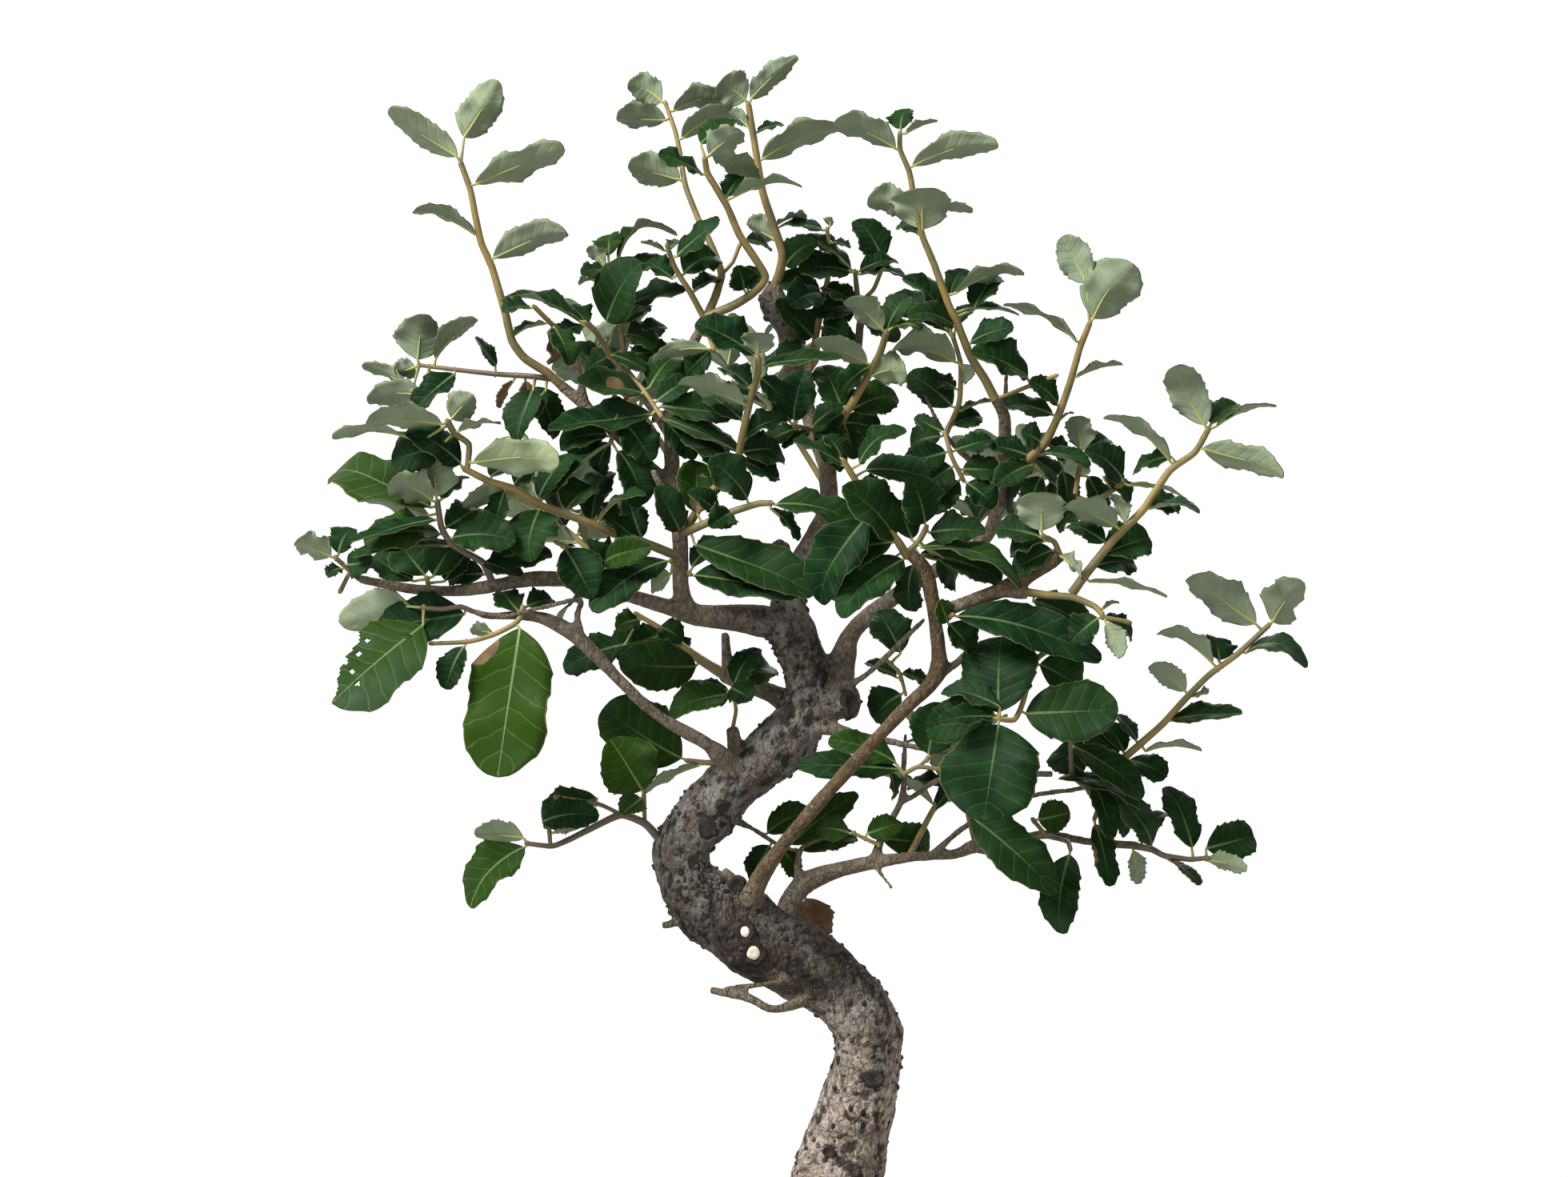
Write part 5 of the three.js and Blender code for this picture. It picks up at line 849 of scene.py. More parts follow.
      (79.5, 356, 84.3, 359.4, 2.5, 90, 0), (74, 350, 68, 352.5, 9, 25, -3),
      (76.5, 349, 82.5, 345.5, 9, 40, 5), (72.5, 347, 89.3, 342.5, 8, 58, -8),
      (72, 344.5, 83, 335, 10, 50, 5), (99.6, 338.5, 88.3, 347.3, 12, 30, -6),
      (101, 338, 121.6, 332, 5, 100, -5), (88, 346.5, 85.4, 358.2, 9, 148, -3),
      (88.8, 347, 95.3, 351.5, 8, 30, 4), (83, 334, 72, 331, 10, 50, 5), (90, 331, 79, 322.5, 10, 50, 3),
      (72, 343, 60, 336.5, 9, 30, 5), (71, 346, 58.5, 348.5, 8, 30, 4), (76, 341.5, 70.5, 330, 9, 30, 6),
      (81, 340.5, 82, 328, 9, 30, 6), (89, 339, 95, 327, 9, 30, 6), (70.5, 343, 64, 325, 9, 60, 9),
      (94, 339, 103, 331, 8, 40, 5)),
     (((70.5, 344.5), (80, 336, 2), (90, 331, 0), (100, 337, -3)),
      ((85, 333.5, 1), (86, 340, 2), (87.6, 345.5, 1)))),
    ("far_right_tall", (-41, -52), (1.8, 1),
     ((84, 302.5), (88, 308), (96.8, 319), (106.4, 328.8), (114.4, 340.7), (122.3, 346.5), (126.5, 353.5)),
     ((127, 355, 116, 374.2, 11.5, 155, -4), (127.3, 355.5, 135.5, 362, 10, 50, 4),
      (129, 355, 147.5, 362, 6, 105, 1), (124.5, 347.5, 151.2, 341.5, 10, 142, -8),
      (114.8, 344, 94.8, 359, 9, 108, -5), (115, 345.3, 102.4, 340.8, 7, 50, 5),
      (107, 329, 123.9, 329.3, 9, 76, -5), (98, 323.5, 82, 330.6, 12, 128, -7),
      (93, 314, 107.8, 320, 13, 30, 5), (91, 310, 104, 312, 11, 40, 7),
      (89.5, 306.5, 113.8, 301.5, 6, 106, -4), (95.5, 318, 82.5, 324.5, 8, 35, 5),
      (100, 324.5, 97, 334, 6, 128, -3), (106.5, 330.5, 117.5, 330, 9, 40, 5)), ()),
    ("right_stub_pale", (-43, -48), (1.1, 0.9),
     ((80.5, 314), (78.5, 318.5), (75, 320.3)),
     ((74.5, 322, 73.4, 334.6, 15, 168, -5), (81, 316, 87.3, 307.3, 7, 110, -3),
      (77, 320, 64, 315.5, 8, 50, 5), (76, 320.8, 60.5, 322.5, 10, 35, 6),
      (79, 316.5, 65.5, 310, 9, 30, 6)), ()),
    ("right_fork_end", (-39, -46), (1.6, 0.9),
     ((69, 303), (76, 302), (84, 301.3), (91, 298.5), (93.5, 295.8)),
     ((72, 300, 90.4, 290.4, 13, 35, 7), (94.2, 295.3, 99.8, 282.4, 7, 145, -5),
      (94, 297, 103, 288.8, 8, 55, 6), (93.5, 295.5, 83.5, 287.5, 11, 35, 6),
      (93, 298.5, 98.6, 300, 3, 90, 0)),
     (((93, 295), (102, 293.4)),)),
    ("right_long_leaf", (-35, -39), (1.2, 0.9),
     ((43.8, 295), (46.5, 295.8)),
     ((47.5, 295.5, 93.5, 282.4, 15, 30, -8), (45, 293.5, 42.5, 300.5, 7, 20, -6),
      (45.5, 293, 53, 284, 10, 30, 6)), ()),
    ("front_bright", (-36, -44), (1.7, 1),
     ((32.5, 314), (29, 319.5), (22, 327.5), (16.5, 337.5), (12.5, 344)),
     ((31.5, 313.5, 11, 296.5, 15, 32, -8), (30.5, 319, 12.5, 336, 17, 34, -10),
      (38.5, 323.8, 34, 339, 15, 25, -8), (37, 317, 68.6, 306.8, 11, 58, -12, 0.1),
      (39.7, 321.5, 57, 321.5, 12, 36, -4), (36.5, 314.6, 50.5, 311.3, 7, 50, 4),
      (14, 342.5, -3.2, 349.6, 10, 60, -6), (17.5, 343, 32, 353.6, 11, 55, -6, 0.16),
      (19.5, 341, 40, 338.3, 12, 45, 4), (17, 338, 24, 336.5, 5, 50, -3), (13, 344.5, 7, 352, 8, 45, 4),
      (29, 318.5, 4, 314, 15, 20, 10), (28, 313.5, 9, 301.5, 12, 20, 10), (28, 320, 14, 326, 10, 30, 9),
      (34.5, 311.5, 33.5, 296.5, 9, 30, 6), (42, 313.5, 48.5, 305, 12, 25, 8),
      (19.5, 326, 3.5, 300, 17, 22, 12), (44, 313.5, 62.5, 306.5, 11, 28, 4),
      (34, 319.5, 29, 331.5, 10, 28, 6)),
     (((32.5, 315.5), (36, 318.5), (38.5, 323)),)),
    ("centre_left_ochre", (-10, -28), (1.7, 1),
     ((-37, 322), (-30, 333), (-21.5, 341), (-19, 352), (-16.5, 363), (-14, 372), (-14, 376)),
     ((-14, 377, -14.4, 384.6, 10, 165, -6), (-15, 376, -33.5, 387.3, 14, 42, -9),
      (-13, 373.5, 12, 375.6, 8, 56, -7), (-18.3, 361.5, -39, 368, 11, 122, -8),
      (-13, 370.5, -6.5, 363, 8, 30, 4), (-18, 350, -5, 357.5, 11, 50, 6),
      (-20, 346.5, -5.5, 347, 12, 30, 10), (-22, 343, -38, 352, 9, 50, 6), (-17, 367, -25, 374, 9, 45, 8),
      (-24.5, 340, -35, 352, 10, 30, 8), (-19, 356, -31, 365, 9, 30, 8), (-22, 345, -8, 338, 8, 40, 8)), ()),
    ("centre_dark", (8, -8), (1.1, 0.8),
     ((8.5, 350), (3, 353.5), (-3, 355)),
     ((-3, 356, 0, 371.8, 13, 25, -6), (-3.5, 355.5, -12, 366, 8, 40, 4),
      (2, 354.5, 11.5, 361.5, 8, 45, -3), (2.5, 353, -6, 347.5, 8, 50, -6), (4, 354, 12, 346, 10, 40, 6),
      (2, 353, 12, 341, 9, 30, 5), (-1, 354.5, -13, 349, 8, 40, 4)), ()),
    ("centre_horizontal", (-14, -28), (1.7, 1),
     ((-38, 321), (-30, 324.5), (-22, 328), (-14, 330.5), (-10, 330.7)),
     ((-17.5, 332, -29.5, 344.5, 13, 32, -7), (-9, 331, 17, 324.3, 11, 45, -8),
      (-21, 327, -29.6, 323.6, 9, 15, -8), (-10, 329, -1, 319.3, 7, 60, 4),
      (-33, 327.5, -33, 344, 14, 20, 8), (-33.5, 317.5, 3.2, 304.5, 16, 34, -16, -0.03),
      (-25, 326, -36, 334, 8, 40, -6), (-38.5, 321.5, -46, 335.5, 10, 26, 6)), ()),
    ("centre_underleaf", (-12, -16), (1, 0.8),
     ((-37.5, 309.5), (-35.5, 308.5)),
     ((-34.5, 308, -2, 300.8, 14, 42, -10), (-34.8, 310.6, -24, 320, 9, 45, 2)), ()),
    ("left_ochre_long", (-14, -36), (1.8, 1.1),
     ((-39, 314), (-50, 318.5), (-60, 321.5), (-68, 325), (-82, 330), (-90, 335), (-98, 337.5),
      (-106, 341.5)),
     ((-64, 325.5, -49.5, 334, 7, 80, -7, 0.12), (-82.6, 328.5, -86, 313, 20, 20, -9),
      (-88, 332.5, -106.3, 330, 9, 132, 5), (-91, 336.5, -84, 343.5, 9, 35, -4),
      (-97.5, 339, -90, 341.5, 8, 50, 5), (-103, 343.5, -74.5, 345.8, 13, 145, -7),
      (-107, 343, -123.5, 353.6, 13, 42, -7), (-75, 327, -66, 337, 11, 35, 8),
      (-57, 320.5, -64, 331, 10, 40, 9), (-52, 319.5, -62, 327, 8, 45, -6),
      (-113, 355.5, -136.6, 357, 10, 130, -5), (-110.5, 357, -103, 364.6, 10, 150, 4),
      (-108.5, 353.6, -94.6, 355.5, 8, 100, -3, 0.1), (-120, 350, -147.2, 350.8, 8, 98, 8, 0.1),
      (-112, 350, -129, 344, 14, 15, 10), (-84, 330.5, -72, 346, 9, 35, 7),
      (-66, 325.5, -63, 342, 11, 25, 8), (-50, 318.5, -55, 333, 9, 30, 7),
      (-93, 335.5, -97, 322, 9, 30, 6)),
     (((-105, 341.2), (-104.5, 349, -2), (-109, 352.5, -4), (-111, 356, -6)),)),
    ("left_cluster", (-21, -34), (1.4, 1),
     ((-97, 305.5), (-100, 312), (-106, 315.5), (-110, 318), (-113, 323), (-114.3, 331)),
     ((-115, 331.5, -129.3, 337, 13, 138, -7), (-114.3, 332, -116, 346.5, 14, 150, -3),
      (-113.8, 331, -105.5, 340, 9, 55, 3), (-116.5, 329.5, -147.8, 344.6, 17, 40, 5, 0.08),
      (-117, 327, -142, 333, 9, 128, 10), (-111.5, 321.5, -136.6, 320, 13, 40, -9),
      (-109.5, 318, -141, 314.5, 8, 62, -6), (-111, 320, -90, 319, 13, 32, -6),
      (-114, 326, -141.5, 318, 8, 60, 5), (-101, 313, -88, 307.5, 8, 45, -5),
      (-112.5, 322.5, -100.5, 331, 11, 22, 7), (-100, 312, -78.5, 314, 12, 28, 5),
      (-99.5, 308, -111, 308, 9, 35, 6)), ()),
    ("left_limb_end", (-25, -28), (1.2, 0.8),
     ((-138.5, 307), (-142, 310), (-146, 313.5)),
     ((-146.5, 314, -158.6, 319.2, 10, 142, -4), (-145.5, 315, -141, 323.3, 9, 25, 3),
      (-143.3, 311.8, -134.8, 313, 9, 8, -7), (-143.5, 310.3, -148.6, 308, 5, 40, -4)),
     (((-141.5, 309.5), (-144.5, 303.5)),)),
    ("left_standing_leaves", (-22, -24), (1, 0.8),
     ((-117, 304), (-117.5, 307)),
     ((-115.6, 308, -108.5, 318.3, 13, 20, 6), (-118.6, 307.6, -126, 318.6, 14, 20, 8),
      (-122, 306.5, -134, 314, 10, 30, 12), (-112, 306.5, -104.5, 316, 9, 30, 12)), ()),
    ("left_low_end", (-26, -30), (1, 0.8),
     ((-103, 296.7), (-107, 298.3), (-113, 297.5), (-119, 298)),
     ((-106, 296, -134.5, 290.8, 17, 30, 6), (-119, 292.5, -147.5, 268.5, 27, 30, -8, 0.03),
      (-122.5, 298.5, -142.6, 294.6, 14, 152, 10)), ()),
    ("left_great_leaf", (-28, -32), (1.2, 0.7),
     ((-87.4, 298.6), (-88.2, 295.6), (-90, 293), (-97, 289.5), (-104.5, 287.4), (-116, 286.8)),
     ((-105.3, 286.5, -111.6, 272.4, 9, 28, -3), (-96, 291, -103.7, 290.8, 7, 130, 5),
      (-88.6, 291.5, -95.5, 245, 27.5, 14, -10, 0.03), (-89, 297, -94, 303.6, 9, 30, 7),
      (-87, 298, -78.5, 300.6, 8, 35, 9)), ()),
    ("left_inner", (-15, -30), (1.2, 0.8),
     ((-50.6, 301), (-58, 307), (-62, 309.3), (-70, 315), (-77.3, 318.5)),
     ((-75.8, 316.5, -65.5, 301.3, 15, 25, -5), (-61.7, 311, -66.6, 319.3, 7, 40, -6),
      (-62.5, 312, -48.5, 317, 9, 25, -9), (-60, 304.5, -78.7, 294.8, 5, 75, 4)), ()),
    ("left_front_leaf", (-16, -19), (1.1, 0.9),
     ((-39, 312), (-41.5, 312.6)),
     ((-42.5, 312.7, -66, 297, 13, 38, -16), (-41.6, 308.6, -47.6, 304, 8, 140, -7)), ()),
    ("behind_left", (15, 24), (2.3, 0.8),
     ((-25, 277.3), (-31, 281), (-38, 286), (-43, 290.5), (-52, 296)),
     ((-33.5, 279.7, -57.7, 281, 16, 12, -12), (-44, 289.5, -60.5, 286, 11, 20, 8),
      (-50, 294.5, -58.5, 291.5, 8, 30, -4), (-46, 293, -38, 288, 9, 30, -5),
      (-56, 286.5, -74.5, 278.5, 12, 20, 4), (-45, 291.5, -34, 278, 11, 25, 9)), ()),
    ("stub_twig", (-2, -6), (0.8, 0.6),
     ((-22, 260.5), (-21, 266), (-22, 271.5)),
     ((-23, 271.6, -41.5, 266, 12, 40, -8, 0.1), (-22.5, 273, -16.2, 269.3, 9, 20, -6),
      (-23.5, 272.3, -38, 273.5, 7, 60, 6), (-21.5, 274, -14, 285.5, 9, 30, 8),
      (-21, 272.8, -9.5, 281.5, 11, 22, 7)), ()),
    ("trunk_left_leaves", (-2, 3), (1.2, 0.9),
     ((-26, 249.5), (-31, 249.6), (-36, 250.2)),
     ((-38, 251, -62.5, 266.5, 22, 12, 6), (-31.5, 248.9, -50.2, 239.3, 6, 115, -4)), ()),
    ("low_left", (-2, -14), (1.7, 0.8),
     ((-43.5, 224), (-49.3, 230.5), (-56.8, 233.3), (-64.4, 230), (-73, 225.6), (-78.5, 223.5),
      (-86, 224.3)),
     ((-87, 223.3, -105, 205.8, 15, 35, -8, 0.1), (-87.5, 226.3, -102.8, 227.6, 9, 145, 4),
      (-81.5, 231, -64.4, 233.3, 10, 25, -7), (-64.5, 238.5, -83, 231.5, 12, 22, 8),
      (-79, 227.6, -71, 229.6, 5, 135, 3), (-50.3, 241, -59.6, 256.4, 19, 12, -6),
      (-50.6, 240.2, -56.6, 234, 8, 25, -10)),
     (((-56.8, 233.3), (-63.9, 236.6), (-77, 238.8)), ((-49.5, 231), (-49.8, 239.5)),
      ((-79, 223.8), (-79.5, 230)))),
    ("behind_trunk_low", (9, 14), (0.9, 0.6),
     ((-15, 228.5), (-8, 224), (-2, 222)),
     ((-10, 224.5, -16.5, 212.5, 10, 22, 3), (-12, 228, 3, 234.5, 10, 25, 4),
      (-5, 224.5, 17, 240, 11, 25, 6), (-2, 222.5, 17, 226.5, 10, 28, 5), (-8.5, 223, -2, 214, 8, 30, 5)),
     ()),
    ("behind_trunk_right", (7.9, 7.3), (0.8, 0.6),
     ((23.5, 224), (19, 226), (16, 227.5)),
     ((24.5, 226, 40.4, 225, 12, 20, 8), (20, 227.5, 31, 231, 9, 25, 10), (16, 228, 4, 229, 8, 25, 2)), ()),
    ("below_limb_dry", (10, 12), (0.9, 0.7),
     ((-2.5, 209), (0.5, 208.5)),
     ((1, 208, 4.5, 193.5, 10, 20, 4),), ()),
    ("front_dark_leaf", (-14, -17), (0.9, 0.7),
     ((31.5, 246), (36, 248.3), (43.5, 247.4)),
     ((30, 247.5, -1.2, 250, 10, 45, -10), (38.5, 251, 43, 268, 15, 20, -3), (27, 247, 28.5, 238, 6, 60, 4),
      (29, 249.5, 8, 257, 9, 30, 4)),
     (((36, 248.3), (42, 253.5)),)),
    ("right_behind_small", (-12, -6), (0.8, 0.6),
     ((25, 282.5), (30, 277.8), (32, 271)),
     ((31, 276, 19.5, 281, 7, 60, 4), (32, 272, 21.5, 263, 13, 20, 8), (30.5, 284, 23, 297.5, 13, 20, 8),
      (30.5, 279, 39, 275.2, 6, 55, 4)), ()),
    ("right_low_cluster", (-33, -42), (1.1, 0.9),
     ((78, 285.6), (73, 282), (71, 277), (68.5, 268), (66, 263), (61, 263.2)),
     ((61, 261.5, 56.3, 231.6, 29.5, 12, -12, 0.03), (61, 265.3, 61.8, 289, 25, 22, 7),
      (59.3, 263.9, 42.6, 263.2, 8, 55, -8), (69.5, 265, 98.5, 266, 19, 20, -8, 0.04),
      (72.5, 281, 87, 272.5, 14, 24, 8), (60, 264.5, 38.5, 259.5, 15, 30, 7),
      (61.5, 267, 43.5, 273, 9, 50, 5)), ()),
    ("right_low_hanging", (-0.4, -13), (1.2, 0.9),
     ((53.8, 224.6), (52, 231.5), (51.5, 233.5)),
     ((52.5, 232.5, 79.3, 210, 17, 25, -16),), ()),
    ("right_low_mid", (-4, -12), (1, 0.8),
     ((76, 226.8), (82.5, 225), (83.5, 222.5)),
     ((85, 222, 80.2, 196.3, 12.5, 12, -4, 0.03), (72.8, 232.4, 83.4, 234, 10, 10, -3)),
     (((76, 226.8), (71.8, 231.7)),)),
    ("right_low_dense", (-7, -18), (1.1, 0.8),
     ((88, 242.2), (84, 246), (83.5, 256)),
     ((84, 255.5, 106.6, 240, 12, 38, -8), (87.5, 246.5, 79, 254.5, 13, 15, 6),
      (80, 244.8, 106.6, 238.3, 9, 58, 6), (88.8, 246.5, 96.8, 226.6, 8, 30, -10),
      (93, 243, 102.3, 226.8, 8, 40, 5), (91, 232, 95.7, 210.8, 8, 25, -8)),
     (((88, 242.2), (92, 236), (91, 232)),)),
    ("right_low_end", (-9, -22), (1.4, 0.8),
     ((103, 223.7), (109, 222.5), (113, 220.5), (121, 219.4), (126, 219.8)),
     ((121.6, 223, 114.2, 242.8, 11, 28, 5), (124.5, 221, 138.6, 216.3, 7, 145, -6),
      (126, 222.8, 141.5, 227, 12, 14, 4), (113, 220, 124.2, 211.4, 6, 66, -5),
      (109, 224, 100, 237.6, 10, 28, -6), (105, 224.5, 112.5, 235, 8, 50, 6),
      (103, 224, 105, 211.5, 6, 148, -3)), ()),
    ("far_right_low", (-12, -34), (1.5, 0.9),
     ((98, 249), (106, 256), (112.5, 261.8), (118.9, 268.9), (126.8, 276.9), (135.5, 283.3),
      (145.5, 292.5)),
     ((145.5, 294, 156, 306, 14, 158, 4), (141.5, 293, 120.7, 309, 13, 152, -6),
      (136.5, 284.5, 157.8, 281, 11, 62, -6, 0.26), (128, 281, 111.3, 291.4, 11, 108, -4),
      (130, 281.5, 129, 288.6, 10, 20, 6), (119.5, 272, 108.6, 280.2, 8.5, 140, -3),
      (120, 271, 126.6, 271.5, 6, 110, 3), (113, 263.3, 137.3, 264.5, 10, 58, -6),
      (104.5, 256, 98.3, 264.8, 7, 55, 3), (101, 251.5, 95.5, 262, 8, 30, 5),
      (107, 253.5, 124.5, 252.6, 6, 100, -4, 0.12), (101, 250.5, 113.6, 245, 10, 45, -5),
      (98.5, 252, 87, 260, 10, 35, 6)), ()),
)
BACK_SHOOTS = (
    ("back_left", (-56, 302, -13), (-88, 330, 56)),
    ("back_left_high", (-40.5, 343, -5), (-68, 374, 48)),
    ("back_centre", (7.6, 335, 11), (-24, 372, 66)),
    ("back_right", (44, 311, 19), (74, 338, 66)),
    ("back_right_low", (32.8, 220, 8), (57, 253, 50)),
)
BACK_LEAVES = 12
BACK_LEAF_LENGTH = 27.0
BACK_LEAF_WIDTH = 12.5
BACK_STEM_BOW = 5.0
BACK_STEM_STEPS = 3
BACK_STEM_RADII = (1.3, 0.8)
BACK_BARE_SHARE = 0.3
BACK_LEAF_DEPTH = 9.0
GOLDEN_ANGLE = 137.5
FOOT_REACH = 0.1
MIN_PETIOLE = 1.6
STEM_STEP = 1.4 * MM
STEM_EASE = 0.3
# Shoots whose stems have gone woody and purple-brown.
WOODY_SHOOTS = (
    "low_left", "left_cluster", "left_limb_end", "left_low_end", "right_low_mid", "right_low_end",
    "right_low_hanging", "right_low_dense", "behind_trunk_right", "stub_twig", "far_left_low",
)
TURNS = (0.0, 4.0, -4.0, 8.0, -8.0, 12.0, -12.0, 16.0, -16.0, 20.0, -20.0)
STEM_FOOT_SHARE = 0.82
STEM_TIP_SHARE = 0.92


def curve_points(points: Sequence[Vector], radii: Sequence[float], step: float, ease: float = 0.5) -> Samples:
    """Samples a smooth curve through points, with a radius that runs smoothly along it.

    Args:
        points: The points the curve passes through.
        radii: The radius at each point.
        step: The distance between samples.
        ease: How widely it rounds its corners, from 0 for straight lines to 0.5.

    Returns:
        The samples, each a place and a radius.
    """
    padded = [points[0] * 2 - points[1], *points, points[-1] * 2 - points[-2]]
    samples = []
    for i in range(len(points) - 1):
        before, start, end, after = padded[i:i + 4]
        count = max(1, round((end - start).length / step))
        for k in range(count):
            t = k / count
            eased = t * t * (3 - 2 * t)
            leave, arrive = (end - before) * ease, (after - start) * ease
            place = start.lerp(end, eased) + leave * (t * (1 - t) ** 2) - arrive * (t * t * (1 - t))
            samples.append((place, radii[i] + (radii[i + 1] - radii[i]) * eased))
    samples.append((points[-1].copy(), radii[-1]))
    return samples


def add_tube(bm: bmesh.types.BMesh, samples: Samples, sides: int, swell: float, seed: float) -> None:
    """Adds a closed tube with rounded ends along samples.

    Args:
        bm: The mesh it is added to.
        samples: Places and radii.
        sides: Sides of its ring.
        swell: How uneven its girth is, as a share of the radius.
        seed: Where its unevenness starts.
    """
    last = len(samples) - 1
    normal = Vector((0.0, 1.0, 0.0))
    rings = []
    for i, (place, radius) in enumerate(samples):
        tangent = (samples[min(i + 1, last)][0] - samples[max(i - 1, 0)][0]).normalized()
        normal = (normal - tangent * normal.dot(tangent)).normalized()
        binormal = tangent.cross(normal)
        ring = []
        for cosine, sine in circle(sides):
            spoke = (normal * cosine + binormal * sine) * radius
            uneven = noise.noise((place + spoke) * 70.0 + Vector((seed, 0.0, 0.0)))
            ring.append(place + spoke * (1 + swell * uneven))
        rings.append(ring)
    made = bridge(bm, rings)
    for end, inner, ring in ((0, 1, made[0][::-1]), (last, last - 1, made[-1])):
        tangent = (samples[end][0] - samples[inner][0]).normalized()
        pole = bm.verts.new(samples[end][0] + tangent * samples[end][1] * 0.35)
        for first, second in zip(ring, (*ring[1:], ring[0])):
            bm.faces.new((first, second, pole))


# The first point of each young tan-brown limb, and how far along it the tan sets in and is full.
TAN_LIMBS = ((-15, 201), (42, 297))
TAN_FROM = 7 * MM
TAN_FULL = 18 * MM
# How many samples of the wood are compared to find the run whose skin a point lies on.
NEAR_SAMPLES = 24
# The first point of each blunt dead twig, and how thin it gets at its end, in millimetres.
BLUNT_TWIGS = {(-15, 206): 1.7, (2, 176): 1.3, (-2, 182): 0.95, (-34, 201): 1.2}


@dataclass
class Wood:
    """The trunk, its limbs and its surface roots, grown as one piece of wood, with bark relief."""

    voxel: float = 0.85 * MM
    trunk_sides: int = 40
    limb_sides: int = 16
    step: float = 1.6 * MM
    swell: float = 0.2
    plate_scale: float = 210.0
    upright_stretch: float = 0.5
    thick: float = 10.0 * MM
    deepest: float = 1.05 * MM
    shallowest: float = 0.12 * MM
    noise_seed: int = 7
    samples: Samples = field(default_factory=list)
    tans: list[float] = field(default_factory=list)
    surface: BVHTree | None = None

    def loft(self) -> bpy.types.Object:
        """Lofts every run and joins them into one skin by a voxel remesh.

        Returns:
            The skin, still without relief.
        """
        bm = bmesh.new()
        for number, run in enumerate((TRUNK, *LIMBS, *ROOTS)):
            places = [seen(x, z, depth) for x, z, depth, _ in run]
            thinnest = BLUNT_TWIGS.get(run[0][:2], 0.0)
            samples = curve_points(places, [max(row[3], thinnest) * MM for row in run], self.step)
            self.samples.extend(samples)
            tan = run[0][:2] in TAN_LIMBS
            for place, _ in samples:
                past = ((place - places[0]).length - TAN_FROM) / (TAN_FULL - TAN_FROM)
                self.tans.append(min(1.0, max(0.0, past)) if tan else 0.0)
            sides = self.trunk_sides if run is TRUNK else self.limb_sides
            add_tube(bm, samples, sides, self.swell, number * 3.1)
        obj = from_bmesh("trunk_bark", bm)
        remesh = obj.modifiers.new("join", "REMESH")
        remesh.mode = "VOXEL"
        remesh.voxel_size = self.voxel
        ease = obj.modifiers.new("ease", "SMOOTH")
        ease.factor = 0.5
        ease.iterations = 3
        return plain_mesh(obj)

    def plates(self, place: Vector) -> float:
        """How high the bark stands at a place: 0 in a furrow and 1 on a lump.

        Args:
            place: The place on the skin.

        Returns:
            The height.
        """
        stretched = Vector((place.x, place.y, place.z * self.upright_stretch)) * self.plate_scale
        warped = stretched + noise.noise_vector(stretched * 0.6) * 0.8
        distances, _ = noise.voronoi(warped)
        lump = min(1.0, (distances[1] - distances[0]) / 0.5)
        fine = noise.fractal(place * 420.0, 0.6, 2.1, 3)
        broad = noise.fractal(place * 120.0, 0.7, 2.0, 2)
        return min(1.0, max(0.0, 0.35 + 0.25 * lump + 0.35 * fine + 0.3 * broad))

    def carve(self, mesh: bpy.types.Mesh) -> None:
        """Moves the skin by the bark's relief, and keeps the relief, girth and tan for the finish.

        Args:
            mesh: The skin.
        """
        tree = KDTree(len(self.samples))
        for index, (place, _) in enumerate(self.samples):
            tree.insert(place, index)
        tree.balance()
        kept, moved = [], []
        for vertex in mesh.vertices:
            near = tree.find_n(vertex.co, NEAR_SAMPLES)
            _, index, _ = min(near, key=lambda hit: abs(hit[2] - self.samples[hit[1]][1]))
            radius = self.samples[index][1]
            height = self.plates(vertex.co)
            share = min(1.0, radius / self.thick)
            depth = self.shallowest + (self.deepest - self.shallowest) * share ** 1.5
            kept.append((height, radius, self.tans[index]))
            moved.extend(vertex.co + vertex.normal * (height - 0.75) * depth)
        mesh.vertices.foreach_set("co", moved)
        for name, values in zip(("relief", "girth", "tan"), zip(*kept)):
            keep(mesh, name, values)
        mesh.update()

    def facing(self, x: float, z: float) -> tuple[Vector, Vector]:
        """Where the eye's line through a point meets the bark, with the bark's normal there.

        Args:
            x: The point's position to the right, in millimetres.
            z: The point's height, in millimetres.

        Returns:
            The place on the bark and the normal.
        """
        eye = seen(EYE_X, EYE_Z, -EYE_DISTANCE)
        place, normal, _, _ = self.surface.ray_cast(eye, (seen(x, z, 0.0) - eye).normalized())
        return place, normal

    def build(self) -> bpy.types.Object:
        """Builds the wood in its bark.

        Returns:
            The bark.
        """
        # Vector noise follows the clock unless it is seeded.
        noise.seed_set(self.noise_seed)
        obj = self.loft()
        mesh = obj.data
        self.carve(mesh)
        self.surface = BVHTree.FromPolygons(
            [vertex.co.copy() for vertex in mesh.vertices], [tuple(face.vertices) for face in mesh.polygons])
        settle(obj, "trunk", BarkFinish().build())
        return obj


class ScarKind(Enum):
    """What a mark on the bark is."""

    CUT = "pruning_cuts"
    KNOT = "bark_knots"


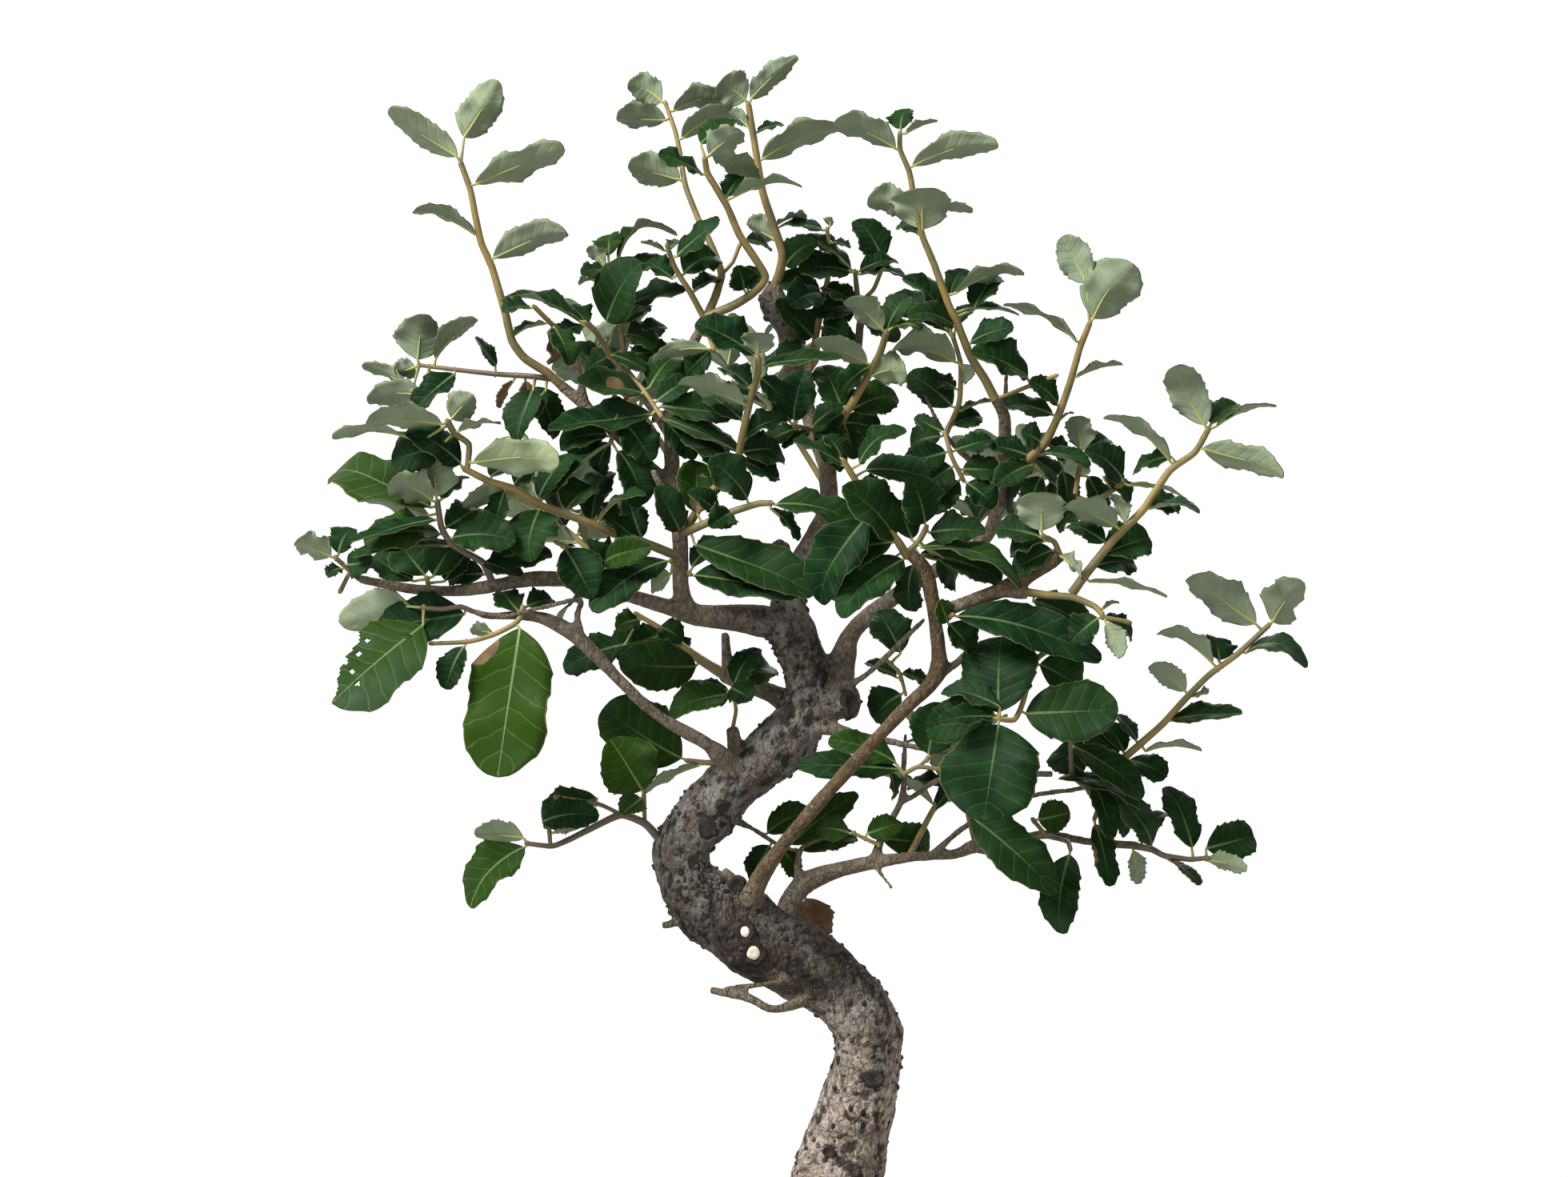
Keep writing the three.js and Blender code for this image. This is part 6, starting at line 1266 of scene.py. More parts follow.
# Pruning cuts and knots: x, z, width and height, in millimetres.
SCARS = {
    ScarKind.CUT: ((-15.5, 190.3, 4.1, 4.4), (-18.2, 196.7, 2.8, 3.2)),
    ScarKind.KNOT: (
        (22.0, 151.0, 7.0, 4.6), (-30.0, 229.0, 6.0, 6.0), (10.0, 191.0, 5.0, 4.0), (-7.3, 317.0, 4.4, 4.0),
        (15.0, 268.0, 5.5, 7.0), (8.5, 128.0, 4.0, 3.0), (-12.0, 244.0, 4.0, 3.0), (-25.0, 236.0, 4.5, 3.6),
        (-15.5, 190.3, 7.6, 7.8), (-18.2, 196.7, 5.6, 6.0), (-20.5, 211.5, 5.5, 4.4), (4.0, 181.0, 4.0, 3.2),
    ),
}


@dataclass(frozen=True)
class Scar:
    """A healed mark: its rings, each a share of its size and a lift, and how ragged it is."""

    kind: ScarKind
    finish: GrainFinish
    rings: tuple[tuple[float, float], ...]
    ragged: float
    segments: int = 20

    def add_disc(
        self, bm: bmesh.types.BMesh, place: Vector, normal: Vector, width: float, height: float,
    ) -> None:
        """Adds one closed disc, turned about the bark's normal, set into the bark.

        Args:
            bm: The mesh it is added to.
            place: Its place on the bark.
            normal: The bark's normal there.
            width: Its width, in millimetres.
            height: Its height, in millimetres.
        """
        across = normal.cross(Vector((0.0, 0.0, 1.0))).normalized()
        upward = across.cross(normal)
        rings = []
        for share, lift in self.rings:
            ring = []
            for cosine, sine in circle(self.segments):
                uneven = 1 + self.ragged * noise.noise(place * 900.0 + Vector((cosine, sine, share)))
                spot = across * cosine * width / 2 + upward * sine * height / 2
                ring.append(place + spot * share * uneven * MM + normal * lift * MM)
            rings.append(ring)
        made = bridge(bm, rings)
        bm.faces.new(made[-1])
        bm.faces.new(list(reversed(made[0])))

    def build(self, wood: Wood) -> None:
        """Builds every mark of this kind as one piece.

        Args:
            wood: The wood that carries the marks.
        """
        bm = bmesh.new()
        for x, z, width, height in SCARS[self.kind]:
            self.add_disc(bm, *wood.facing(x, z), width, height)
        obj = from_bmesh(self.kind.value, bm, outward=True)
        settle(obj, None, self.finish.build())


SCAR_KINDS = (
    Scar(ScarKind.CUT, CUT_WOOD, ((1.15, -1.2), (1.06, 0.35), (0.98, 0.62), (0.85, 0.95), (0.4, 0.9)), 0.15),
    Scar(ScarKind.KNOT, DARK_KNOT, ((1.25, -1.2), (1.15, 0.3), (0.98, 0.95), (0.75, 0.75), (0.4, 0.4)), 0.55),
)


class Recipe(Graph):
    """A Geometry Nodes tree with named inputs, which objects are passed through."""

    KINDS = {int: "NodeSocketInt", float: "NodeSocketFloat"}

    def __init__(self, name: str, inputs: dict[str, int | float], material: bpy.types.Material) -> None:
        """Makes the tree with a mesh in, a mesh out, its named inputs and its material.

        Args:
            name: The tree's name.
            inputs: The default values by the input's name.
            material: The material of what it makes.
        """
        super().__init__(bpy.data.node_groups.new(name, "GeometryNodeTree"))
        self.material = material
        self.sockets = {}
        new_socket = self.tree.interface.new_socket
        new_socket("Geometry", in_out="OUTPUT", socket_type="NodeSocketGeometry")
        kinds = {"Geometry": "NodeSocketGeometry", "Material": "NodeSocketMaterial"}
        for label in ("Geometry", *inputs, "Material"):
            value = inputs.get(label)
            kind = kinds.get(label) or self.KINDS[type(value)]
            socket = new_socket(label, in_out="INPUT", socket_type=kind)
            if value is not None:
                socket.default_value = value
            self.sockets[label] = socket.identifier
        node = self.add("NodeGroupInput")
        self.start = {label: Value(self, node.outputs[label]) for label in self.sockets}
        self.place = self.get("GeometryNodeInputPosition")

    def attribute(self, name: str, data_type: str = "FLOAT") -> Value:
        """A named attribute's value."""
        return self.get("GeometryNodeInputNamedAttribute", {"Name": name}, data_type=data_type)

    def vector_attribute(self, name: str) -> Value:
        """A named vector attribute's value."""
        return self.attribute(name, "FLOAT_VECTOR")

    def store(
        self, geometry: Value, name: str, value: Value, data_type: str = "FLOAT", domain: str = "POINT",
    ) -> Value:
        """A geometry with a value kept on its points or instances under a name."""
        inputs = {"Geometry": geometry, "Name": name, "Value": value}
        return self.get("GeometryNodeStoreNamedAttribute", inputs, data_type=data_type, domain=domain)

    def ball(self, subdivisions: int) -> Value:
        """A ball of triangles, of radius 1."""
        return self.get("GeometryNodeMeshIcoSphere", {"Radius": 1.0, "Subdivisions": subdivisions})

    def random(self, low: object, high: object, seed: object = 0) -> Value:
        """A random number or vector for each point.

        Args:
            low: The least number or vector.
            high: The greatest.
            seed: The seed.

        Returns:
            The random value.
        """
        output, data_type = (0, "FLOAT_VECTOR") if isinstance(low, tuple) else (1, "FLOAT")
        inputs = {2 * output: low, 2 * output + 1: high, "Seed": seed}
        return self.get("FunctionNodeRandomValue", inputs, output, data_type=data_type)

    def finish(self, geometry: Value) -> None:
        """Ends the tree in Realize Instances and Set Material.

        Args:
            geometry: What the tree has made.
        """
        real = self.get("GeometryNodeRealizeInstances", {"Geometry": geometry})
        inputs = {"Geometry": real, "Material": self.start["Material"]}
        self.put(self.add("NodeGroupOutput").inputs[0], self.get("GeometryNodeSetMaterial", inputs))

    def pass_through(self, obj: bpy.types.Object, **values: object) -> bpy.types.Object:
        """Passes an object through the tree and makes the result a plain mesh.

        Args:
            obj: The object, whose mesh is the tree's input.
            values: The named inputs' values.

        Returns:
            The plain object.
        """
        modifier = obj.modifiers.new(self.tree.name, "NODES")
        modifier.node_group = self.tree
        for label, value in {"Material": self.material, **values}.items():
            modifier[self.sockets[label]] = value
        return plain_mesh(obj)


@dataclass
class Leaf:
    """One leaf: where its stalk leaves the stem, its foot and axis, its own axes and its own shape.

    The form holds width, arch and fold, the bend curl, wave and twist, the habit sweep, phase and
    point, the tone brightness, dryness and a number of its own, and the mark its dry spot.
    """

    joint: Vector
    foot: Vector
    axis: Vector
    side: Vector
    upper: Vector
    form: tuple[float, float, float]
    bend: tuple[float, float, float]
    habit: tuple[float, float, float]
    tone: tuple[float, float, float]
    mark: tuple[float, float, float]

    def rise(self, along: float) -> float:
        """How high the midrib bows at a share of its length."""
        return 4 * along * (1 - along) * self.form[1] * self.axis.length

    def coarse(self) -> BVHTree:
        """The blade as a few plain faces, to see what it touches.

        Returns:
            The faces, ready to be tested.
        """
        width, _, fold = self.form
        points = []
        for along, wide in ((0.08, 0.45), (0.3, 0.9), (0.55, 1.0), (0.8, 0.7), (0.97, 0.15)):
            centre = self.foot + self.axis * along + self.upper * self.rise(along)
            reach = width / 2 * wide
            for way in (-1, 0, 1):
                points.append(centre + self.side * (reach * way) + self.upper * (fold * reach * abs(way)))
        faces = [(i, i + 1, i + 4, i + 3) for row in range(4) for i in (3 * row, 3 * row + 1)]
        return BVHTree.FromPolygons(points, faces)

    def stalk(self) -> Samples:
        """The leaf's stalk, which runs on under the blade as its midrib.

        Returns:
            Places and radii along it.
        """
        beneath = self.upper * -0.32 * MM
        points = [self.joint, self.joint.lerp(self.foot, 0.55) + self.upper * -0.15 * MM, self.foot + beneath]
        radii = [0.55 * MM, 0.42 * MM, 0.4 * MM]
        for along, radius in ((0.12, 0.34), (0.3, 0.26), (0.5, 0.18)):
            swing = self.side * 4 * along * (1 - along) * self.habit[0] * self.axis.length
            points.append(self.foot + self.axis * along + self.upper * self.rise(along) + swing + beneath)
            radii.append(radius * MM)
        return curve_points(points, radii, 1.2 * MM)


class LeafBlades(Recipe):
    """The recipe for leaf blades: a toothed, veined grid on each leaf's foot, bent to its shape."""

    MARGIN = (
        (0.0, 0.03), (0.04, 0.27), (0.11, 0.55), (0.24, 0.82), (0.4, 0.96), (0.56, 1.0), (0.7, 0.96),
        (0.82, 0.82), (0.91, 0.6), (0.97, 0.34), (1.0, 0.05),
    )
    # The attributes that each leaf's foot carries into the tree.
    KEPT = ("foot", "axis", "side", "upper", "form", "bend", "habit", "tone", "mark")

    def __init__(self, material: bpy.types.Material) -> None:
        """Builds the tree.

        Args:
            material: The upper face's material.
        """
        inputs = {"Along": 37, "Across": 9, "Tooth": 0.00075, "Quilting": 0.00008}
        super().__init__("leaf_blades", inputs, material)
        grid = self.get("GeometryNodeMeshGrid", {
            "Size X": 1.0, "Size Y": 2.0, "Vertices X": self.start["Along"],
            "Vertices Y": self.start["Across"]})
        x, y, _ = self.parts(self.place)
        # The rows of points stand closer together towards the foot and the tip.
        share = x + 0.5
        eased = self.math("COSINE", share * math.pi) * -0.5 + 0.5
        flat = self.store(grid, "flat", self.joined((eased - share) * 0.6 + share, y), "FLOAT_VECTOR")
        copies = {"Points": self.start["Geometry"], "Instance": flat}
        real = self.get("GeometryNodeRealizeInstances", {
            "Geometry": self.get("GeometryNodeInstanceOnPoints", copies)})
        place, blade = self.shape()
        marked = self.store(real, "blade", blade, "FLOAT_VECTOR")
        moved = self.get("GeometryNodeSetPosition", {"Geometry": marked, "Position": place})
        self.finish(self.get("GeometryNodeMergeByDistance", {"Geometry": moved, "Distance": 0.00004}))

    def margin(self, along: Value) -> Value:
        """How wide the blade is at a share of its length.

        Args:
            along: The share of the length.

        Returns:
            The width, as a share of the widest.
        """
        node = self.add("ShaderNodeFloatCurve", {"Factor": 1.0, "Value": along})
        curve = node.mapping.curves[0]
        for index, spot in enumerate(self.MARGIN):
            knot = curve.points[index] if index < 2 else curve.points.new(*spot)
            knot.location = spot
        node.mapping.update()
        return Value(self, node.outputs[0])

    def shape(self) -> tuple[Value, Value]:
        """Works out each point's place, and how far along, across and from the midrib it is.

        Returns:
            The place, and the three numbers as a vector.
        """
        foot, axis, side, upper = (self.vector_attribute(name) for name in self.KEPT[:4])
        width, arch, fold = self.parts(self.vector_attribute("form"))
        curl, wave, twist = self.parts(self.vector_attribute("bend"))
        sweep, phase, point = self.parts(self.vector_attribute("habit"))
        along, across, _ = self.parts(self.vector_attribute("flat"))
        length = self.vector("LENGTH", {0: axis}, "Value")
        rim, sign = abs(across), self.math("SIGN", across)
        saw = self.math("FRACT", along * VEIN_COUNT)
        spine = saw ** 2.0 * self.start["Tooth"] * along.ramp(0.12, 0.3) * rim ** 6.0
        # Some leaves narrow to a point, and each margin strays a little in its own way.
        half = width * 0.5 * self.margin(along) * (1.0 - point * along ** 3.0)
        stray = self.math("SINE", along * 10.0 + phase * (sign * 0.7 + 1.5)) * 0.05
        half = half * (stray + 0.965) + spine
        # The midrib bows between foot and tip, sweeps sideways and turns down at the tip.
        crown = along * (1.0 - along) * 4.0
        droop = self.math("MAXIMUM", along - 0.55, 0.0) ** 2.0 * curl * length
        # Across: the fold along the midrib, the wavy rim and the quilting between the veins.
        reach = rim * half
        cup = fold * (reach * (1.25 - rim * 0.45))
        ripple = self.math("SINE", along * 13.0 + (sign * 1.1 + phase)) * rim ** 2.0 * wave * (half * crown)
        gap = self.vein_gap(along, rim, VEIN_SHIFT)
        quilt = gap.ramp(0.5, 0.1) * self.start["Quilting"] * rim.ramp(0.05, 0.3)
        height = crown * arch * length + cup + ripple + quilt - droop
        # The blade turns about its midrib from foot to tip.
        roll = twist * (along - 0.4)
        cosine, sine = self.math("COSINE", roll), self.math("SINE", roll)
        wide = self.total(self.scaled(side, cosine), self.scaled(upper, sine))
        high = self.total(self.scaled(upper, cosine), self.scaled(side, sine * -1.0))
        place = self.total(
            foot, self.scaled(axis, along), self.scaled(side, crown * sweep * length),
            self.scaled(wide, across * half * -1.0), self.scaled(high, height),
        )
        return place, self.joined(along, across, reach * 1000.0)

    def grow(self, name: str, leaves: Sequence[Leaf]) -> bpy.types.Object:
        """Grows the blades of some leaves as one thin surface.

        Args:
            name: The piece's name.
            leaves: The leaves.

        Returns:
            The piece, still without thickness.
        """
        mesh = bpy.data.meshes.new(name)
        mesh.from_pydata([leaf.foot for leaf in leaves], [], [])
        for key in self.KEPT:
            keep(mesh, key, (getattr(leaf, key) for leaf in leaves))
        return self.pass_through(make_object(name, mesh))


class Stalks(Recipe):
    """The recipe for stems and leaf stalks: round, a little knobbly, with buds at their ends."""

    # The bud in a leaf's axil, as a share of the bud at a stem's end.
    AXIL_BUD = 0.85

    def __init__(self, material: bpy.types.Material) -> None:
        """Builds the tree.

        Args:
            material: The stems' material.
        """
        super().__init__("stalks", {"Sides": 9, "Knobs": 0.00022, "Bud Size": 0.0011, "Seed": 3}, material)
        start = self.start
        radius, budded = self.attribute("radius"), self.attribute("bud")
        named = self.store(start["Geometry"], "radius_mm", radius * 1000.0)
        ring = self.get("GeometryNodeCurvePrimitiveCircle", {"Resolution": start["Sides"], "Radius": 1.0})
        tube = self.get("GeometryNodeCurveToMesh", {
            "Curve": self.get("GeometryNodeMeshToCurve", {"Mesh": named}), "Profile Curve": ring,
            "Scale": radius, "Fill Caps": True})
        lumps = self.noise(self.place, 420.0, 2.0) - 0.5
        girth = self.attribute("radius_mm") * start["Knobs"]
        knobbly = self.get("GeometryNodeSetPosition", {
            "Geometry": tube, "Offset": self.scaled(self.get("GeometryNodeInputNormal"), lumps * girth)})
        bud = self.get("GeometryNodeTransform", {"Geometry": self.ball(2), "Scale": (0.62, 0.62, 1.0)})
        way = {"Vector": self.vector_attribute("way")}
        turn = self.get("FunctionNodeAlignRotationToVector", way, axis="Z")
        size = self.random(0.75, 1.3, start["Seed"]) * start["Bud Size"] * budded
        buds = self.get("GeometryNodeInstanceOnPoints", {
            "Points": named, "Selection": budded > 0.1, "Instance": bud, "Rotation": turn, "Scale": size})
        joined = self.add("GeometryNodeJoinGeometry")
        for piece in (buds, knobbly):
            self.put(joined.inputs[0], piece)
        self.finish(Value(self, joined.outputs[0]))

    def grow(
        self, name: str, runs: Sequence[Samples], stems: int, seed: int, woody: bool,
    ) -> bpy.types.Object:
        """Grows stems along runs of places and radii.

        Args:
            name: The piece's name.
            runs: Places and radii, first the stems', each of which ends in a bud, then the stalks'.
            stems: How many of the runs are stems.
            seed: The seed of the buds' sizes.
            woody: Whether the stems have gone woody.

        Returns:
            The piece.
        """
        places, edges, radii, ways, buds = [], [], [], [], []
        for number, run in enumerate(runs):
            first = len(places)
            for i, (place, radius) in enumerate(run):
                places.append(place)
                radii.append(radius)
                ways.append(place - run[i - 1][0] if i else Vector((0.0, 0.0, 1.0)))
                if number < stems:
                    buds.append(1.0 if i == len(run) - 1 else 0.0)
                else:
                    buds.append(0.0 if i else self.AXIL_BUD)
                if i:
                    edges.append((first + i - 1, first + i))
        mesh = bpy.data.meshes.new(name)
        mesh.from_pydata(places, edges, [])
        kept = {"radius": radii, "bud": buds, "way": ways, "woody": [float(woody)] * len(places)}
        for key, values in kept.items():
            keep(mesh, key, values)
        return self.pass_through(make_object(name, mesh), Seed=seed)


# How leaves other than the usual dark ones look, by their tip: brightness, partly a paler green and partly
# painted light on leaves in shade, then dryness.
LEAF_LOOKS = {
    (-95.5, 245): (0.75, 0.0), (-147.5, 268.5): (0.6, 0.0), (-59.6, 256.4): (1.0, 0.0),
    (-62.5, 266.5): (0.45, 0.0), (-56.6, 234): (0.95, 0.0), (-57.7, 281): (0.45, 0.0),
    (-147.8, 344.6): (0.6, 0.1), (-105, 205.8): (0.7, 0.0), (-136.6, 320): (0.5, 0.0),
    (83.4, 234): (0.6, 0.0), (42.5, 300.5): (0.6, 0.0), (-60.5, 415): (0.5, 0.0), (33, 395): (0.75, 0.0),
    (37, 386): (0.7, 0.0), (-48.5, 317): (0.5, 0.0), (-16, 269): (0.5, 0.0), (-41.5, 266): (0.45, 0.0),
    (68.6, 306.8): (0.35, 0.0), (17, 240): (0.5, 0.0), (17, 226.5): (0.5, 0.0), (3, 234.5): (0.5, 0.0),
    (40.4, 225): (0.45, 0.0), (31, 231): (0.5, 0.0), (4, 229): (0.5, 0.0), (-2, 214): (0.5, 0.0),
    (8, 257): (0.5, 0.0), (-9.5, 281.5): (0.45, 0.0), (-95, 360.3): (0.1, 1.0), (-86, 361): (0.1, 1.0),
    (-78, 374): (0.1, 1.0), (4.5, 193.5): (0.3, 0.85), (95.7, 210.8): (0.2, 0.55), (29.5, 364.5): (0.3, 0.5),
    (-33, 344): (0.4, 0.4), (-74.5, 345.8): (0.5, 0.35),
}
# Dry spots, by the leaf's tip: how far along, how far across, and the radius as a share of the length.
LEAF_MARKS = {(-95.5, 245): (0.2, -0.95, 0.09), (-71, 368): (0.42, -0.15, 0.13), (-33, 344): (0.1, 0.0, 0.2)}
NO_MARK = (0.0, 0.0, -1.0)
CHEWED_TIP = (-147.5, 268.5)
# Leaves that are wider than their plates, by their tip, with their width in millimetres.
WIDER = {(4.5, 193.5): 14.0, (-105, 205.8): 16.5, (-147.8, 344.6): 18.5}
# Holes in the chewed leaf: how far along, how far across, and the radius as a share of the length.
CHEWED_HOLES = (
    (0.55, -0.5, 0.028), (0.74, 0.1, 0.022), (0.7, -0.25, 0.018), (0.5, -1.05, 0.1), (0.62, -1.0, 0.12),
    (0.74, -0.95, 0.14), (0.86, -0.8, 0.14), (0.99, -0.6, 0.17), (0.42, -0.62, 0.02), (0.36, -1.05, 0.05),
    (0.68, -0.62, 0.035), (0.24, -1.03, 0.04),
)
# Leaves that lie flat and full: the tips of those whose blades aren't turned, swept or pointed.
FLAT_LEAVES = ((-95.5, 245), (-147.5, 268.5), (56.3, 231.6), (98.5, 266), (61.8, 289))


@dataclass
class Shoot:
    """One leafy shoot: its stems, and the rows of its leaves."""

    name: str
    stems: list[list[tuple[float, float, float]]]
    radii: tuple[float, float]
    rows: list[tuple]
    stalk_runs: list[Samples] = field(default_factory=list)
    leaves: list[Leaf] = field(default_factory=list)

    @classmethod
    def from_row(cls, row: tuple) -> "Shoot":
        """Makes a shoot from its row of numbers.

        Args:
            row: Its row of SHOOTS.

        Returns:
            The shoot.
        """
        name, depths, radii, stem, leaves, twigs = row
        steps = len(stem) - 1
        main = [(x, z, depths[0] + (depths[1] - depths[0]) * i / steps) for i, (x, z) in enumerate(stem)]
        shoot = cls(name, [main], radii, list(leaves))
        for twig in twigs:
            _, _, depth = shoot.joint(*twig[0][:2], [main])
            shoot.stems.append([(p[0], p[1], depth + (p[2] if len(p) > 2 else 0.0)) for p in twig])
        return shoot

    @classmethod
    def from_ends(cls, row: tuple) -> "Shoot":
        """Makes a far-side shoot from its two ends, its leaves set round it by the golden angle.

        Args:
            row: Its row of BACK_SHOOTS.

        Returns:
            The shoot.
        """
        name, foot, tip = row

        def along(share: float) -> tuple[float, float]:
            """A point of the stem, which bows upwards."""
            rise = BACK_STEM_BOW * math.sin(math.pi * share)
            return foot[0] + share * (tip[0] - foot[0]), foot[1] + share * (tip[1] - foot[1]) + rise

        leaves = []
        for i in range(BACK_LEAVES):
            x, z = along(BACK_BARE_SHARE + (1 - BACK_BARE_SHARE) * i / (BACK_LEAVES - 1))
            turn = math.radians(GOLDEN_ANGLE * i + foot[0])
            length = BACK_LEAF_LENGTH * (1 - 0.125 * (i % 3))
            leaves.append((
                x, z, x + 0.8 * length * math.cos(turn), z + length * (0.35 + 0.55 * math.sin(turn)),
                BACK_LEAF_WIDTH * (1 - 0.1 * (i % 3)), 70 + 25 * (i % 4), BACK_LEAF_DEPTH * math.cos(2.4 * i),
            ))
        stem = tuple(along(i / BACK_STEM_STEPS) for i in range(BACK_STEM_STEPS + 1))
        return cls.from_row((name, (foot[2], tip[2]), BACK_STEM_RADII, stem, leaves, ()))

    @staticmethod
    def joint(x: float, z: float, stems: Sequence) -> tuple[float, float, float]:
        """The point of the stems that lies nearest to a leaf's foot, all on the trunk's plane.

        Args:
            x: The foot's position to the right, in millimetres.
            z: The foot's height, in millimetres.
            stems: The stems' points.

        Returns:
            The point's position to the right, its height and its depth.
        """
        found = []
        for stem in stems:
            for (ax, az, ad), (bx, bz, bd) in zip(stem, stem[1:]):
                length = (bx - ax) ** 2 + (bz - az) ** 2
                share = min(1.0, max(0.0, ((x - ax) * (bx - ax) + (z - az) * (bz - az)) / length))
                px, pz = ax + share * (bx - ax), az + share * (bz - az)
                found.append((math.hypot(x - px, z - pz), px, pz, ad + share * (bd - ad)))
        return min(found, key=lambda place: place[0])[1:]

    def leaf(self, row: tuple, turn: float, dice: random.Random) -> Leaf:
        """Lays out one leaf from its row.

        Args:
            row: The leaf's numbers.
            turn: A change of its tip's depth, in millimetres.
            dice: The source of its own small differences.

        Returns:
            The leaf.
        """
        fx, fz, tx, tz, width, facing, reach = row[:7]
        width = WIDER.get((tx, tz), width)
        arch = row[7] if len(row) > 7 else 0.06
        jx, jz, depth = self.joint(fx, fz, self.stems)
        root = seen(jx, jz, depth)
        tip = seen(tx, tz, depth + reach + turn)
        foot = seen(fx, fz, depth + FOOT_REACH * (reach + turn))
        if (foot - root).length < MIN_PETIOLE * MM:
            foot = root + (tip - foot).normalized() * MIN_PETIOLE * MM
        axis = (tip - foot).normalized()
        to_viewer = Vector((0.0, -1.0, 0.0))
        to_viewer = (to_viewer - axis * to_viewer.dot(axis)).normalized()
        upward = axis.cross(to_viewer)
        if upward.z < 0:
            upward.negate()
        angle = math.radians(facing)
        upper = to_viewer * math.cos(angle) + upward * math.sin(angle)
        looks = LEAF_LOOKS.get((tx, tz), (dice.uniform(0.0, 0.22), dice.uniform(0.0, 0.22)))
        number = 1.0 if (tx, tz) == CHEWED_TIP else dice.uniform(0.0, 0.9)
        flat = (tx, tz) in FLAT_LEAVES
        ease = 0.2 if flat else 1.0
        return Leaf(
            root, foot, tip - foot, axis.cross(upper), upper,
            form=(width * MM, arch, dice.uniform(0.12, 0.55) * ease),
            bend=(
                dice.uniform(-0.25, 0.8) * ease, dice.uniform(0.07, 0.28), dice.uniform(-0.55, 0.55) * ease,
            ),
            habit=(
                dice.uniform(-0.06, 0.06) * ease, dice.uniform(0.0, 6.3),
                0.0 if flat or width > 20 else max(0.0, dice.uniform(-0.4, 0.5)),
            ),
            tone=(*looks, number), mark=LEAF_MARKS.get((tx, tz), NO_MARK),
        )

    def lay_stems(self) -> None:
        """Works out the smooth runs of the stems."""
        for which, stem in enumerate(self.stems):
            foot = self.radii[0 if which == 0 else 1] * STEM_FOOT_SHARE
            tip = self.radii[1] * STEM_TIP_SHARE
            steps = len(stem) - 1
            radii = [(foot + (tip - foot) * i / steps) * MM for i in range(steps + 1)]
            places = [seen(*point) for point in stem]
            self.stalk_runs.append(curve_points(places, radii, STEM_STEP, STEM_EASE))

    def lay_leaves(self, placed: list[BVHTree]) -> None:
        """Lays out every leaf, turned until its blade is clear of what is placed, and its stalk.

        Args:
            placed: What is placed, which each new blade joins.
        """
        for index, row in enumerate(self.rows):
            best = None
            for turn in TURNS:
                leaf = self.leaf(row, turn, random.Random(f"{self.name}{index}"))
                blade = leaf.coarse()
                touches = sum(len(blade.overlap(other)) for other in placed)
                if best is None or touches < best[0]:
                    best = (touches, leaf, blade)
                if touches == 0:
                    break
            _, leaf, blade = best
            placed.append(blade)
            self.leaves.append(leaf)
            self.stalk_runs.append(leaf.stalk())


@dataclass
class Crown:
    """Every leafy shoot, with its stems and its leaves as two pieces."""

    wood: Wood
    thickness: float = 0.34 * MM
    shoots: list[Shoot] = field(default_factory=list)

    def lay_out(self) -> None:
        """Lays out the stems first and then the leaves, each clear of what is there."""
        self.shoots = [*map(Shoot.from_row, SHOOTS), *map(Shoot.from_ends, BACK_SHOOTS)]
        for shoot in self.shoots:
            shoot.lay_stems()
        placed = [self.wood.surface]
        for shoot in self.shoots:
            shoot.lay_leaves(placed)

    def chew(self, obj: bpy.types.Object) -> None:
        """Bites the holes out of the chewed leaf.

        Args:
            obj: The shoot's blades.
        """
        bm = bmesh.new()
        bm.from_mesh(obj.data)
        blade, tone = (bm.verts.layers.float_vector[name] for name in ("blade", "tone"))

        def mine(part: bmesh.types.BMEdge | bmesh.types.BMFace) -> bool:
            """Whether a part belongs to the chewed leaf."""
            return min(vert[tone].z for vert in part.verts) >= 0.99

        edges = [edge for edge in bm.edges if mine(edge)]
        bmesh.ops.subdivide_edges(bm, edges=edges, cuts=3, use_grid_fill=True)
        gone = []
        for face in filter(mine, bm.faces):
            along, across, _ = sum((vert[blade] for vert in face.verts), Vector()) / len(face.verts)
            if any(math.hypot(along - u, (across - v) * 0.35) < r for u, v, r in CHEWED_HOLES):
                gone.append(face)
        bmesh.ops.delete(bm, geom=gone, context="FACES")
        bm.to_mesh(obj.data)
        bm.free()

    def thicken(self, obj: bpy.types.Object, under: bpy.types.Material) -> bpy.types.Object:
        """Gives the blades their thickness and their under face.

        Args:
            obj: The blades.
            under: The under face's material.

        Returns:
            The blades as one plain piece.
        """
        obj.data.materials.append(under)
        wall = obj.modifiers.new("thickness", "SOLIDIFY")
        wall.thickness = self.thickness
        wall.offset = -1.0
        wall.material_offset = 1
        wall.material_offset_rim = 0
        return plain_mesh(obj)

    def build(self) -> None:
        """Builds every shoot."""
        self.lay_out()
        blades, under = LeafBlades(LEAF_UPPER.build()), LEAF_UNDER.build()
        stalks = Stalks(YoungBarkFinish().build())
        for number, shoot in enumerate(self.shoots):
            node = f"shoot_{shoot.name}"
            stem = stalks.grow(
                f"stem_{shoot.name}", shoot.stalk_runs, len(shoot.stems), number, shoot.name in WOODY_SHOOTS)
            settle(stem, node)
            leaves = blades.grow(f"leaves_{shoot.name}", shoot.leaves)
            if any(leaf.tone[2] == 1.0 for leaf in shoot.leaves):
                self.chew(leaves)
            settle(self.thicken(leaves, under), node)


